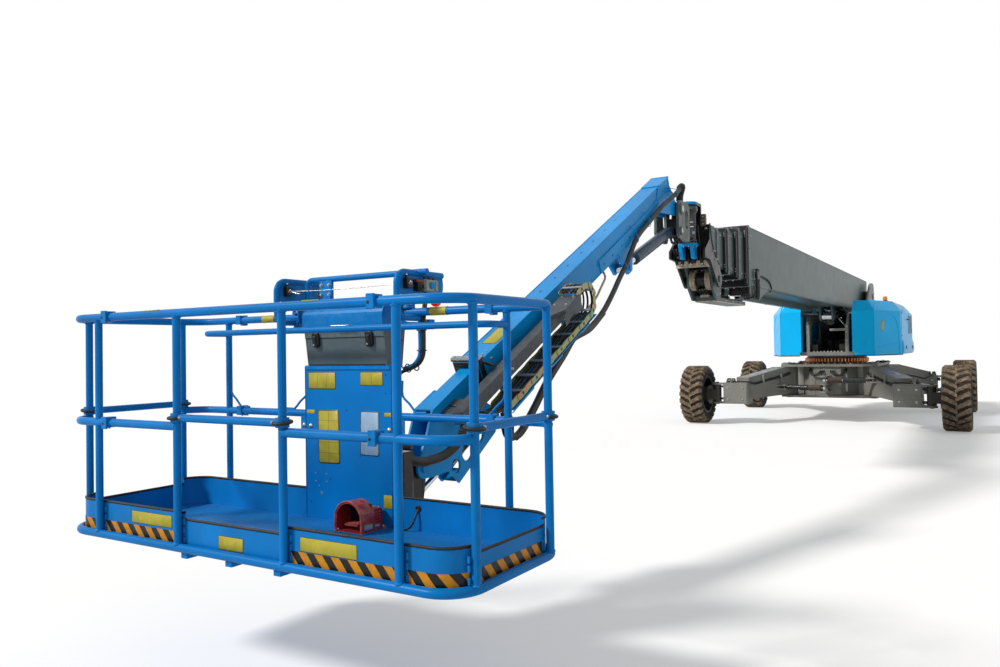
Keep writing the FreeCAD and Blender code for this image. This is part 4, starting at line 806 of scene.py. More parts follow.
def wheel_trim(ex, sy, corner):
    """Nuts, hub bolts and the valve on a wheel's outer side."""
    body = f"wheel_{corner}"
    face = sy * (WHEEL_Y - 0.005)
    nuts = Piece(f"wheel_nuts_{corner}", body, STEEL, 30)
    for dx, dz in circle(12, 0.205):
        nuts.bolt((ex * WHEEL_X + dx, face, TYRE_R + dz), (0, sy, 0), 0.032)
    for dx, dz in circle(10, 0.125, 0.5):
        nuts.bolt((ex * WHEEL_X + dx, sy * (WHEEL_Y + 0.110), TYRE_R + dz), (0, sy, 0), 0.018)
    dish = Piece(f"wheel_dish_{corner}", body, RIM, 40)
    m = spot((ex * WHEEL_X, face, TYRE_R), (0, sy, 0))
    dish.lathe([(0.337, 0.0), (0.337, 0.05), (0.300, 0.03), (0.262, 0.012), (0.245, 0.0005), (0.2449, 0.0)],
               m, 48)
    dish.lathe([(0.0, 0.1145), (0.085, 0.1145), (0.095, 0.122), (0.085, 0.130), (0.06, 0.134), (0.0, 0.135)],
               m, 28)
    dish.ring(spot((ex * WHEEL_X, sy * (WHEEL_Y + 0.008), TYRE_R), (0, sy, 0)), 0.152, 0.006, 36, 8)
    for dx, dz in circle(8, 1.0, 0.25):
        at = (ex * WHEEL_X + 0.275 * dx, face + sy * 0.022, TYRE_R + 0.275 * dz)
        dish.ring(spot(at, (0.35 * dx, sy, 0.35 * dz)), 0.020, 0.005, 16, 8)
    dish.rod((ex * WHEEL_X + 0.31, face + sy * 0.03, TYRE_R),
             (ex * WHEEL_X + 0.29, face + sy * 0.075, TYRE_R), 0.006, 10)


for ex, sy, end, side in CORNERS:
    corner = f"{end}_{side}"
    tyre(ex, sy, corner)
    wheel_trim(ex, sy, corner)


# ---------------------------------------------------------------- platform

BACK, FRONT, MIDDLE = 15.10, 15.90, 15.50    # x of the back rail, of the front rail and halfway
HALF, BEND_R, INSET = 1.22, 0.15, 0.0203     # half the width, the rounded corners, the toe boards' set-back
POSTS, END_POST = (0.342, 0.950), 0.286      # y of the front's posts, and the side posts' x from MIDDLE
RAIL_LOW, RAIL_MID, RAIL_TOP, RAIL_R = 0.672, 1.225, 1.745, 0.0205
FLOOR, TOE, TOE_ENTRY = 0.674, 0.829, 0.798  # z of the floor and of the toe boards' edge, lower at the gates
FACE = BACK + 0.04                           # x of the control stand's front
BEND_TO_POST = FRONT - BEND_R - (MIDDLE + END_POST - 0.02)
BAR_SLICES = 12                              # of a hazard bar, so that it follows a rounded corner


def around(s, out=0.0):
    """A point and outward direction on the toe boards' outline, s metres from the front's middle."""
    side = 1 if s >= 0 else -1
    s, r = abs(s), BEND_R - INSET
    front, flank = HALF - BEND_R, FRONT - BACK - 2 * BEND_R
    turn = math.pi / 2 * r
    cx, cy = FRONT - BEND_R, HALF - BEND_R
    if s < front:
        x, y, nx, ny = FRONT - INSET, s, 1.0, 0.0
    elif s < front + turn:
        a = (s - front) / r
        nx, ny = math.cos(a), math.sin(a)
        x, y = cx + r * nx, cy + r * ny
    elif s < front + turn + flank:
        x, y, nx, ny = cx - (s - front - turn), HALF - INSET, 0.0, 1.0
    elif s < front + 2 * turn + flank:
        a = (s - front - turn - flank) / r
        nx, ny = -math.sin(a), math.cos(a)
        x, y = BACK + BEND_R + r * nx, cy + r * ny
    else:
        x, y, nx, ny = BACK + INSET, cy - (s - front - 2 * turn - flank), -1.0, 0.0
    return Vector((x + nx * out, side * (y + ny * out), 0)), Vector((nx, side * ny, 0))


def run(low, high, out, z=0.0, step=0.025):
    """Points on that outline from low to high, at height z."""
    count = max(1, round((high - low) / step))
    return [around(low + (high - low) * k / count, out)[0] + Vector((0, 0, z)) for k in range(count + 1)]


def band(piece, low, high, z0, z1, out, slant=0.0, thick=0.0006):
    """A thin strip on the toe boards from low to high, its top shifted by slant."""
    verts, count = [], max(2, round((high - low) / 0.02))
    for k in range(count + 1):
        s = low + (high - low) * k / count
        for o, z, shift in ((out, z0, 0), (out, z1, -slant), (out - thick, z1, -slant), (out - thick, z0, 0)):
            p, _ = around(s + shift, o)
            verts.append((p.x, p.y, z))
    n = len(verts)
    faces = [[0, 1, 2, 3], [n - 4, n - 3, n - 2, n - 1]]
    faces += [[4 * k + j, 4 * k + (j + 1) % 4, 4 * k + 4 + (j + 1) % 4, 4 * k + 4 + j]
              for k in range(count) for j in range(4)]
    piece.mesh(verts, faces)


def tape(dark, bright, low, high, z0=0.678, z1=0.737, pitch=0.090, slant=0.050):
    """Hazard tape: a dark strip with slanting bright bars, cut off square at its ends."""
    band(dark, low, high, z0, z1, 0.0009)
    s = low - slant
    while s < high:
        end = s + pitch * 0.5
        bar = [(s + slant, z0), (end + slant, z0), (end, z1), (s, z1)]
        for k in range(BAR_SLICES):
            left = s + (end + slant - s) * k / BAR_SLICES
            right = left + (end + slant - s) / BAR_SLICES
            outline = clip_between(bar, max(low, left), min(high, right))
            if len(outline) > 2:
                slab(bright, outline, 0.0014)
        s += pitch


def clip_between(outline, low, high):
    """The part of an outline whose first coordinate lies from low to high."""
    for limit, keep in ((low, lambda v: v >= low), (high, lambda v: v <= high)):
        out = []
        for a, b in zip(outline, outline[1:] + outline[:1]):
            if keep(a[0]):
                out.append(a)
            if keep(a[0]) != keep(b[0]):
                t = (limit - a[0]) / (b[0] - a[0])
                out.append((limit, a[1] + t * (b[1] - a[1])))
        outline = out
        if not outline:
            break
    return outline


def slab(piece, outline, out):
    """A thin plate on the toe boards; its outline is (distance along them, height) pairs."""
    front = [around(s, out)[0] + Vector((0, 0, z)) for s, z in outline]
    back = [around(s, out - 0.0008)[0] + Vector((0, 0, z)) for s, z in outline]
    n = len(outline)
    faces = [list(range(n)), list(range(n, 2 * n))]
    faces += [[k, (k + 1) % n, n + (k + 1) % n, n + k] for k in range(n)]
    piece.mesh(front + back, faces)


def toe_boards():
    """The boards' rubber edge, hazard tape and bolted flanges."""
    edge = Piece("toe_board_rubber", "platform", RUBBER, 60)
    entry = POSTS[0] - 0.02
    front, turn = HALF - BEND_R, math.pi / 2 * (BEND_R - INSET)
    gap_in = front + turn + BEND_TO_POST
    gap_out = gap_in + 2 * (END_POST - 0.02)
    full = front + 2 * turn + (FRONT - BACK - 2 * BEND_R) + front
    for side in (1, -1):
        for low, high, z in ((entry, gap_in, TOE), (gap_out, full, TOE), (gap_in, gap_out, TOE_ENTRY)):
            edge.tube(run(*sorted((side * low, side * high)), -0.003, z, 0.03), 0.0068, 8, 1)
    edge.tube(run(-entry, entry, -0.003, TOE_ENTRY, 0.2), 0.0068, 8, 1)
    dark = Piece("hazard_black", "platform", TAPE_BLACK, 60)
    bright = Piece("hazard_yellow", "platform", TAPE_YELLOW, 60)
    for low, high in ((0.364, 0.926), (0.974, gap_in - 0.03), (gap_in + 0.02, gap_out - 0.02)):
        tape(dark, bright, low, high)
        tape(dark, bright, -high, -low)
    seams = Piece("toe_board_flanges", "platform", BLUE, 30)
    for y in (POSTS[0], POSTS[1], -POSTS[0], -POSTS[1]):
        for d in (-0.026, 0.026):
            for z in (0.706, 0.752, 0.790):
                seams.block((FRONT - 0.021, y + d - 0.004, z - 0.013),
                            (FRONT - 0.011, y + d + 0.004, z + 0.013), edge=0.001)
    for x in (MIDDLE - END_POST, MIDDLE + END_POST):
        for side in (1, -1):
            for d in (-0.026, 0.026):
                for z in (0.706, 0.752, 0.786):
                    seams.block((x + d - 0.004, side * (HALF - 0.021), z - 0.013),
                                (x + d + 0.004, side * (HALF - 0.011), z + 0.013), edge=0.001)


def marks():
    """The blank labels on the toe boards, rails and console."""
    face = Piece("labels_yellow", "platform", LABEL, 60)
    line = Piece("labels_border", "platform", LABEL_EDGE, 60)
    white = Piece("label_white", "platform", WHITE_LABEL, 60)
    front = FRONT - INSET + 0.0002
    for y0, y1, z0, z1 in ((-0.717, -0.412, 0.747, 0.806), (-0.088, 0.073, 0.690, 0.752),
                           (0.415, 0.725, 0.739, 0.800)):
        label(face, line, (front, (y0 + y1) / 2, (z0 + z1) / 2), AHEAD, LEFT, y1 - y0, z1 - z0)
    for y, z, w, h in ((-0.174, 1.404, 0.197, 0.091), (0.168, 1.415, 0.150, 0.070),
                       (-0.257, 1.238, 0.057, 0.022), (0.271, 1.236, 0.044, 0.021),
                       (0.266, 0.802, 0.058, 0.070)):
        label(face, line, (FACE, y, z), AHEAD, LEFT, w, h)
        parts = 3 if w > 0.17 else 2 if w > 0.1 else 1
        for k in range(1, parts):
            split = y - w / 2 + w * k / parts
            line.block((FACE, split - 0.0007, z - h * 0.44), (FACE + 0.0015, split + 0.0007, z + h * 0.44),
                       edge=0.0001)
    label(face, line, (FACE, -0.129, 1.110), AHEAD, (0, 1, 0.012), 0.152, 0.283)
    for k in range(1, 5):
        z = 0.968 + 0.283 * k / 5
        line.block((FACE, -0.200, z - 0.0007), (FACE + 0.0015, -0.058, z + 0.0007), edge=0.0001)
    line.block((FACE, -0.1297, 0.975), (FACE + 0.0015, -0.1283, 1.245), edge=0.0001)
    label(white, line, (FACE, 0.152, 1.137), AHEAD, (0, 1, -0.02), 0.126, 0.226)
    for y in (-0.516, 0.515):
        for piece, out, a, b in ((face, 0.0006, y - 0.05, y + 0.05), (line, 0.0009, y - 0.051, y - 0.049),
                                 (line, 0.0009, y + 0.049, y + 0.051)):
            strip = arc(0, 0, RAIL_R + out, 170, 305, 14) + arc(0, 0, RAIL_R, 305, 170, 14)
            piece.prism(strip, b - a, spot((FRONT, a, RAIL_TOP), LEFT, AHEAD), 0.0001)
    for y in (-0.606, 0.570):
        for piece, out, a, b in ((face, 0.0006, -0.05, 0.05), (line, 0.0009, -0.051, -0.049),
                                 (line, 0.0009, 0.049, 0.051)):
            piece.lathe([(RAIL_R, a), (RAIL_R + out, a), (RAIL_R + out, b), (RAIL_R, b)],
                        spot((BACK, y, RAIL_TOP), LEFT), 24, True)


def rail_clamps():
    """The drilled blocks on the rails, the rod braces and the welded caps."""
    blocks = Piece("rail_clamps", "platform", BLUE, 30)
    bolts = Piece("rail_clamp_bolts", "platform", STEEL, 30)
    holes = Piece("rail_clamp_holes", "platform", PLASTIC, 30)
    for x, out, ys in ((FRONT, 1, (-0.865, 0.847)), (BACK, -1, (-0.843, 0.865))):
        for y in ys:
            for z in (RAIL_TOP, RAIL_MID):
                blocks.prism(oblong(0.026, 0.026), 0.040, spot((x, y - 0.020, z + 0.002), LEFT, AHEAD), 0.003)
                blocks.block((x + out * 0.020, y - 0.020, z - 0.030), (x + out * 0.031, y + 0.020, z + 0.030),
                             edge=0.002)
                holes.lathe([(0, 0), (0.0065, 0), (0.0065, 0.0015), (0, 0.0015)],
                            spot((x + out * 0.0308, y - 0.008, z - 0.004), (out, 0, 0)), 12)
                bolts.bolt((x, y, z - 0.0235), DOWN, 0.010)
    rods = Piece("harness_anchors", "platform", BLUE, 50)
    heights = (1.405, 1.330, 1.290, 1.250, 1.2475, 1.2475)
    from_post = ((0, 0.019), (0, 0.019), (0, 0.060), (0, 0.100), (0, 0.130), (0, 0.170))
    from_stand = ((-0.006, 0), (-0.006, 0), (-0.003, 0.045), (0, 0.085), (0, 0.11), (0, 0.150))
    for y, side, path in ((-POSTS[1], 1, from_post), (POSTS[1], -1, from_post),
                          (-0.331, -1, from_stand), (0.331, 1, from_stand)):
        rods.tube([(BACK + dx, y + side * dy, z) for (dx, dy), z in zip(path, heights)], 0.0062, 8, 3)
    joints = Piece("rail_welds", "platform", BLUE, 60)
    sides = (1, -1)
    posts = [(FRONT, s * p) for p in POSTS for s in sides]
    posts += [(MIDDLE + sx * END_POST, sy * HALF) for sx in sides for sy in sides]
    posts += [(BACK, s * POSTS[1]) for s in sides]
    for x, y in posts:
        for z, way in ((RAIL_TOP - 0.0175, -1), (RAIL_LOW + 0.0175, 1)):
            joints.lathe([(0.016, -0.004), (0.0225, -0.002), (0.0215, 0.003), (0.0184, 0.006),
                          (0.016, 0.006)], spot((x, y, z), (0, 0, way)), 20)


def gate_rings():
    """The rubber loops that hold each drop bar's sleeves down."""
    flank = (MIDDLE - END_POST, MIDDLE + END_POST)
    for body, ends, out, lean in (
            ("front_gate", [(FRONT, -POSTS[0]), (FRONT, POSTS[0])], AHEAD, (0.10, 0, 1)),
            ("left_gate", [(x, HALF) for x in flank], LEFT, (0, 0.12, 1)),
            ("right_gate", [(x, -HALF) for x in flank], (0, -1, 0), (0, 0.12, 1))):
        loops = Piece(f"rubber_loops_{body}", body, RUBBER, 60)
        pins = Piece(f"sleeve_pins_{body}", body, STEEL, 40)
        for near, far in (ends, ends[::-1]):
            at = Vector((*near, 1.266))
            loops.ring(spot(at, lean), 0.0375, 0.0072, 30, 10)
            inward = (Vector((*far, 1.266)) - at).normalized()
            pins.bolt(at + inward * 0.040 + Vector(out) * 0.0165, out, 0.011)


TAPE_BLACK = Finish("tape_black", (0.03, 0.035, 0.035), 0.36).vary(0.2, 30.0).dust(0.05).scuffs(
    0.3, (0.3, 0.3, 0.3), 60.0).bump(500.0, 0.0001).done()
TAPE_YELLOW = Finish("tape_yellow", (0.74, 0.49, 0.0), 0.36).vary(0.08, 30.0).dust(0.02).scuffs(
    0.25, (0.4, 0.32, 0.12), 60.0).bump(500.0, 0.0001).done()

toe_boards()
marks()
rail_clamps()
gate_rings()


# ------------------------------------------------------- console and its guard

BOX_TOP, PANEL_TOP, LID_TOP = 1.665, 1.484, 1.798
GUARD_TOP, GUARD_LEFT, GUARD_RIGHT = 1.936, 0.440, -0.372    # z, y and y of the guard's outer plates
DOME = [(0, 0), (0.012, 0), (0.012, 0.002), (0.0085, 0.006), (0.004, 0.008), (0, 0.0083)]


def console_details():
    """Folds, bolts, latches and holes on the control stand."""
    blue = Piece("console_folds", "platform", BLUE, 30)
    for side in (1, -1):
        blue.block((FACE - 0.004, side * 0.295 - 0.002, FLOOR),
                   (FACE + 0.003, side * 0.295 + 0.002, PANEL_TOP - 0.004), edge=0.0015)
        blue.prism([(-0.028, -0.040), (0.020, -0.040), (0.028, -0.030), (0.028, 0.034), (0.020, 0.042),
                    (-0.028, 0.042)], 0.006, spot((FACE - 0.030, side * 0.330, 1.174), AHEAD, (0, side, 0)),
                   0.002)
    blue.block((FACE - 0.010, -0.292, PANEL_TOP - 0.024), (FACE + 0.006, 0.292, PANEL_TOP - 0.003),
               edge=0.003)
    box = Piece("console_box_folds", "platform", GREY_BOX, 30)
    lean = Vector((0.1316, 0, 0.9913))
    out = Vector((0.9913, 0, -0.1316))
    top = Vector((FACE + 0.024, 0, BOX_TOP))
    box.block((-0.0005, -0.272, -0.016), (0.003, 0.272, 0.016), spot(top - lean * 0.020, lean, out), 0.001)
    seam = Piece("console_box_seam", "platform", PLASTIC, 30)
    seam.block((-0.0005, -0.268, -0.0022), (0.0012, 0.268, 0.0022), spot(top - lean * 0.0385, lean, out),
               0.0005)
    seam.block((FACE - 0.001, -0.262, PANEL_TOP + 0.002), (FACE + 0.006, 0.262, PANEL_TOP + 0.006),
               edge=0.001)
    latch = Piece("box_latches", "platform", PLASTIC, 40)
    metal = Piece("box_latch_pins", "platform", STEEL, 40)
    for y in (-0.188, 0.180):
        m = spot(top - lean * 0.034 + Vector((0, y, 0)), out, LEFT)
        latch.prism([(-0.024, -0.045), (-0.016, -0.052), (0.012, -0.052), (0.022, -0.040), (0.024, 0.020),
                     (0.016, 0.027), (-0.018, 0.027), (-0.024, 0.018)], 0.016, m, 0.004)
        latch.prism([(-0.012, -0.048), (0.012, -0.048), (0.010, 0.010), (-0.010, 0.010)], 0.024, m, 0.005)
        metal.lathe([(0, 0.016), (0.006, 0.016), (0.005, 0.0255), (0, 0.026)],
                    m @ Matrix.Translation((-0.004, -0.036, 0)), 12)
    bolts = Piece("console_bolts", "platform", STEEL, 40)
    side_x = FACE - 0.024
    for x, y, z in ((FACE, -0.258, 1.163), (FACE, 0.280, 1.161), (side_x, 0.332, 1.163),
                    (side_x, -0.332, 1.163)):
        bolts.lathe(DOME, spot((x, y, z), AHEAD), 16)
    rim = Piece("panel_hole_rims", "platform", STEEL, 40)
    for y, z, r in ((-0.228, 0.915, 0.0042), (-0.148, 0.916, 0.0042), (-0.225, 0.873, 0.0042),
                    (-0.147, 0.874, 0.0042), (-0.202, 0.849, 0.0042), (-0.184, 0.811, 0.0085)):
        rim.lathe([(0, 0.0005), (r, 0.0005), (r * 0.9, 0.0014), (0, 0.0011)],
                  spot((FACE - 0.0004, y, z), AHEAD), 12)
    dark = Piece("panel_holes", "platform", PLASTIC, 40)
    for y, z in ((0.261, 1.434), (0.259, 1.343), (-0.004, 1.252), (0.088, 1.021), (-0.120, 0.890),
                 (-0.262, 0.76)):
        dark.lathe([(0, 0.0003), (0.0042, 0.0003), (0.0036, 0.001), (0, 0.0009)],
                   spot((FACE - 0.0002, y, z), AHEAD), 12)
    handle = Piece("lid_handle", "lid", STEEL, 40)
    front = FACE + 0.040
    handle.tube([(front - 0.004, -0.048, 1.690), (front + 0.016, -0.046, 1.688),
                 (front + 0.018, -0.038, 1.688), (front + 0.018, 0.058, 1.688), (front + 0.016, 0.066, 1.688),
                 (front - 0.004, 0.068, 1.690)], 0.0052, 10, 3)
    dots = Piece("box_side_marks", "platform", PLASTIC, 40)
    for side in (1, -1):
        for x, z in ((15.02, 1.61), (15.09, 1.63), (15.10, 1.54), (15.04, 1.55)):
            dots.lathe([(0, 0), (0.006, 0), (0.005, 0.002), (0, 0.002)],
                       spot((x, side * 0.2718, z), (0, side, 0)), 12)


def rail_brackets():
    """Bolted clamps where the back rail stops at the console, with the bent rail ends."""
    plate = Piece("rail_end_plates", "platform", BLUE, 30)
    bolt = Piece("rail_end_bolts", "platform", STEEL, 30)
    bends = Piece("rail_end_bends", "platform", BLUE, 50)
    for side in (-1, 1):
        y = side * 0.352
        plate.block((BACK - 0.034, y - 0.006, RAIL_TOP - 0.030), (BACK + 0.034, y + 0.006, RAIL_TOP + 0.048),
                    edge=0.003)
        plate.block((BACK - 0.028, y + side * 0.008, RAIL_TOP + 0.018),
                    (BACK + 0.028, y + side * 0.052, RAIL_TOP + 0.030), edge=0.003)
        plate.block((BACK - 0.028, y + side * 0.040, RAIL_TOP + 0.018),
                    (BACK + 0.028, y + side * 0.050, RAIL_TOP + 0.052), edge=0.003)
        bolt.bolt((BACK + 0.014, y + side * 0.022, RAIL_TOP + 0.030), UP, 0.015)
        bolt.bolt((BACK + 0.034, y, RAIL_TOP + 0.035), AHEAD, 0.013)
        bends.tube([(BACK + 0.030, y + side * 0.003, 1.720), (BACK + 0.034, y + side * 0.010, 1.698),
                    (BACK + 0.020, y + side * 0.034, 1.686), (BACK - 0.010, y + side * 0.062, 1.684),
                    (BACK - 0.050, y + side * 0.080, 1.684), (BACK - 0.080, y + side * 0.084, 1.684)],
                   0.0135, 12, 6)
        plate.block((BACK - 0.110, y + side * 0.060, 1.660), (BACK - 0.060, y + side * 0.110, 1.710),
                    edge=0.003)
        for dz in (-0.014, 0.016):
            bolt.bolt((BACK - 0.060, y + side * 0.088, 1.684 + dz), AHEAD, 0.014)


def guard_details():
    """Switches, lamp, trip wire and post bracket on the console's guard."""
    black = Piece("guard_switches", "platform", PLASTIC, 40)
    steel = Piece("guard_fittings", "platform", STEEL, 40)
    wire = Piece("trip_wire", "platform", STEEL, 60)
    blue = Piece("guard_plates", "platform", BLUE, 30)
    top = GUARD_TOP - 0.055
    for y in (GUARD_RIGHT, GUARD_LEFT):
        black.block((15.180, y + 0.002, top - 0.026), (15.222, y + 0.034, top + 0.026), edge=0.004)
        black.rod((15.201, y + 0.010, top + 0.024), (15.201, y + 0.010, top + 0.040), 0.006, 12)
        steel.bolt((15.201, y + 0.010, top + 0.040), UP, 0.010)
        steel.ring(spot((15.212, y + 0.044, top), AHEAD), 0.008, 0.0022, 16, 8)
        blue.block((14.902, y - 0.003, GUARD_TOP - 0.110), (15.245, y + 0.003, GUARD_TOP - 0.012), edge=0.002)
        blue.tube([(14.898, y, GUARD_TOP - 0.010), (14.893, y, GUARD_TOP - 0.060),
                   (14.905, y, GUARD_TOP - 0.108)], 0.004, 8, 4)
    wire.tube([(15.212, GUARD_RIGHT + 0.05, top), (15.212, -0.15, top - 0.006), (15.212, 0.1, top - 0.007),
               (15.212, GUARD_LEFT + 0.04, top)], 0.0021, 8, 6)
    wire.tube([(15.206, GUARD_RIGHT + 0.046, top - 0.004), (15.206, -0.27, top - 0.016),
               (15.206, -0.262, top - 0.013)], 0.0038, 8, 4)
    y = GUARD_LEFT + 0.004
    red = Piece("key_switch_red", "platform", KEY_RED, 40)
    red.block((15.090, y, top + 0.006), (15.147, y + 0.028, top + 0.022), edge=0.003)
    black.block((15.090, y, top - 0.036), (15.142, y + 0.034, top + 0.006), edge=0.004)
    black.ring(spot((15.116, y + 0.036, top - 0.014), LEFT), 0.013, 0.004, 20, 8)
    grey = Piece("socket_grey", "platform", SWITCH_GREY, 40)
    grey.block((14.975, y, top - 0.034), (15.086, y + 0.030, top + 0.026), edge=0.006)
    grey.block((14.982, y + 0.028, top - 0.030), (15.002, y + 0.036, top + 0.022), edge=0.003)
    grey.block((15.060, y + 0.028, top - 0.030), (15.080, y + 0.036, top + 0.022), edge=0.003)
    cover = Piece("socket_cover_blue", "platform", BLUE_JIB_PAINTED_LIGHT, 40)
    cover.lathe([(0, 0.002), (0.017, 0.002), (0.017, 0.010), (0.012, 0.014), (0, 0.015)],
                spot((15.031, y + 0.030, top - 0.004), LEFT), 20)
    for x in (14.995, 15.030, 15.065):
        black.rod((x, y + 0.014, top + 0.026), (x, y + 0.014, top + 0.038), 0.007, 12)
    lamp = Piece("red_lamp", "platform", RED_LENS, 60)
    lamp.lathe([(0, 0.052), (0.014, 0.050), (0.024, 0.042), (0.028, 0.028), (0.028, 0.010)],
               spot((14.952, GUARD_LEFT, 1.828), DOWN), 24)
    black.lathe([(0, 0), (0.031, 0), (0.031, 0.012), (0.027, 0.014), (0, 0.014)],
                spot((14.952, GUARD_LEFT, 1.832), DOWN), 24)
    black.rod((14.952, GUARD_LEFT, 1.832), (14.952, GUARD_LEFT, 1.862), 0.012, 12)
    blue.rod((15.100, -0.148, LID_TOP + 0.012), (15.100, -0.148, GUARD_TOP), RAIL_R, 20)
    blue.prism([(-0.044, -0.052), (0.030, -0.052), (0.044, -0.030), (0.044, 0.046), (-0.044, 0.046)], 0.008,
               spot((15.118, -0.155, 1.885), AHEAD, LEFT), 0.002)
    for dy, dz in ((-0.028, 0.024), (-0.028, -0.026), (0.026, 0.024), (0.026, -0.026)):
        steel.bolt((15.126, -0.155 + dy, 1.885 + dz), AHEAD, 0.014)
    cable = Piece("guard_cables", "platform", HOSE, 60)
    for d in (0.0, 0.014):
        cable.tube([(15.120, -0.215 + d, 1.874), (15.125, -0.205 + d, 1.852), (15.118, -0.188 + d, 1.825),
                    (15.105, -0.176 + d, 1.800)], 0.0052, 8, 6)


def cable_drop():
    """The blue tube beside the box with the cable clipped along it, down to the box's side."""
    tube = Piece("cable_post", "platform", BLUE, 50)
    y = GUARD_LEFT
    tube.tube([(15.08, y - 0.002, 1.712), (15.08, y - 0.002, 1.640), (15.08, y - 0.002, 1.560),
               (15.078, y - 0.012, 1.520), (15.07, y - 0.045, 1.488), (15.06, y - 0.085, 1.472),
               (15.05, y - 0.130, 1.462)], 0.0125, 12, 6)
    cable = Piece("console_cable", "platform", HOSE, 50)
    for d, r in ((0.0, 0.0085), (0.012, 0.006)):
        cable.tube([(15.045, y + 0.012, 1.850), (15.072, y + 0.018 + d, 1.790),
                    (15.088, y + 0.018 + d, 1.700), (15.092, y + 0.020 + d, 1.600),
                    (15.092, y + 0.016 + d, 1.535), (15.088, y - 0.012 + d, 1.492),
                    (15.080, y - 0.060 + d, 1.468), (15.068, y - 0.110 + d, 1.455),
                    (15.058, y - 0.150, 1.440), (15.052, y - 0.160, 1.410)], r, 10, 6)
    clip = Piece("cable_clips", "platform", PLASTIC, 40)
    for z in (1.76, 1.655, 1.555):
        clip.ring(spot((15.087, y + 0.010, z), UP), 0.023, 0.003, 20, 8)
    for d in (0.030, 0.080, 0.128):
        clip.ring(spot((15.068, y - d - 0.012, 1.480 - d * 0.16), (0, 1, 0.25)), 0.021, 0.003, 20, 8)


def pedal():
    """The foot switch's shell, treadle, screws and cable."""
    x, y, z = BACK + 0.05, 0.177, FLOOR
    shell = Piece("pedal_shell", "platform", RED, 40)
    crown = [(y + a, z + 0.070 + b) for a, b in arc(0, 0, 0.085, 0, 180, 14)]
    rim = [(y + 0.085, z + 0.012)] + crown + [(y - 0.085, z + 0.012)]
    shell.tube([(x + 0.183, a, b) for a, b in rim], 0.0048, 8, 2)
    shell.block((x + 0.010, y - 0.058, z + 0.098), (x + 0.084, y + 0.058, z + 0.106), edge=0.004)
    shell.block((x + 0.020, y - 0.048, z + 0.104), (x + 0.072, y + 0.048, z + 0.110), edge=0.003)
    for k in range(5):
        shell.block((x + 0.012, y + 0.058, z + 0.026 + 0.014 * k),
                    (x + 0.086, y + 0.0635, z + 0.032 + 0.014 * k), edge=0.002)
    tread = Piece("pedal_treadle", "platform", RED, 40)
    for k in range(6):
        tread.block((x + 0.102 + 0.010 * k, y - 0.038, z + 0.042),
                    (x + 0.107 + 0.010 * k, y + 0.038, z + 0.0455), edge=0.001)
    base = Piece("pedal_base_plate", "platform", BLUE, 40)
    base.block((x + 0.030, y - 0.094, z + 0.0002), (x + 0.185, y + 0.094, z + 0.005), edge=0.001)
    dark = Piece("pedal_inside", "platform", PLASTIC, 40)
    dark.block((x + 0.088, y - 0.070, z + 0.014), (x + 0.094, y + 0.070, z + 0.135), edge=0.002)
    screws = Piece("pedal_screws", "platform", STEEL, 40)
    for dx, dy in ((0.016, -0.046), (0.016, 0.046), (0.076, -0.046), (0.076, 0.046)):
        screws.lathe([(0, 0), (0.0055, 0), (0.0045, 0.003), (0, 0.0034)],
                     spot((x + dx, y + dy, z + 0.106), UP), 12)
    for dx in (0.012, 0.172):
        for dy in (-0.076, 0.076):
            screws.bolt((x + dx, y + dy, z + 0.012), UP, 0.010)
    face = Piece("pedal_labels", "platform", LABEL, 60)
    pale = Piece("pedal_label_white", "platform", WHITE_LABEL, 60)
    line = Piece("pedal_label_edges", "platform", LABEL_EDGE, 60)
    label(pale, line, (x + 0.135, y + 0.0852, z + 0.030), LEFT, BEHIND, 0.062, 0.026)
    face.block((x + 0.106, y + 0.0855, z + 0.038), (x + 0.164, y + 0.0868, z + 0.044), edge=0.0004)
    label(pale, line, (x + 0.045, y + 0.0640, z + 0.020), LEFT, BEHIND, 0.040, 0.014)
    cable = Piece("pedal_cable", "platform", HOSE, 60)
    cable.tube([(x + 0.004, y + 0.030, z + 0.060), (x - 0.012, y + 0.042, z + 0.056),
                (x - 0.020, y + 0.075, z + 0.030), (x - 0.012, y + 0.120, z + 0.008),
                (x + 0.002, y + 0.170, z + 0.006), (x + 0.010, y + 0.215, z + 0.008),
                (x + 0.008, y + 0.248, z + 0.030), (x - 0.006, y + 0.262, z + 0.070),
                (x - 0.022, y + 0.266, z + 0.104)], 0.0052, 10, 6)
    cable.lathe([(0, 0), (0.011, 0), (0.011, 0.012), (0.008, 0.022), (0, 0.022)],
                spot((x + 0.004, y + 0.030, z + 0.060), (-1, 0.5, -0.1)), 14)
    cable.ring(spot((BACK + 0.028, y + 0.268, z + 0.110), AHEAD), 0.012, 0.0045, 20, 8)
    cable.lathe([(0, 0), (0.012, 0), (0.011, 0.004), (0, 0.004)],
                spot((BACK + 0.0268, y + 0.268, z + 0.110), AHEAD), 16)


def platform_sleeve():
    """The corrugated sleeve from the jib's end to the support, and on to the back of the stand."""
    low = Piece("support_sleeve", None, HOSE, 60)
    low.tube([(14.32, 0.200, 1.20), (14.34, 0.200, 1.14), (14.41, 0.200, 1.03), (14.56, 0.200, 0.962),
              (14.745, 0.200, 0.946)], 0.024, 14, 6, None, 0.003, 0.012)
    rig.blend(low.now(), "jib_slide", "support", (14.36, 0.2, 1.10), (14.70, 0.2, 0.95))
    high = Piece("stand_sleeve", None, HOSE, 60)
    high.tube([(14.745, 0.200, 0.946), (14.82, 0.200, 0.958), (14.90, 0.200, 0.985), (14.98, 0.200, 1.015)],
              0.024, 14, 6, None, 0.003, 0.012)
    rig.blend(high.now(), "support", "platform", (14.76, 0.2, 0.95), (14.94, 0.2, 1.00))


console_details()
rail_brackets()
platform_sleeve()
guard_details()
cable_drop()
pedal()


# -------------------------------------------------------------------- the jib

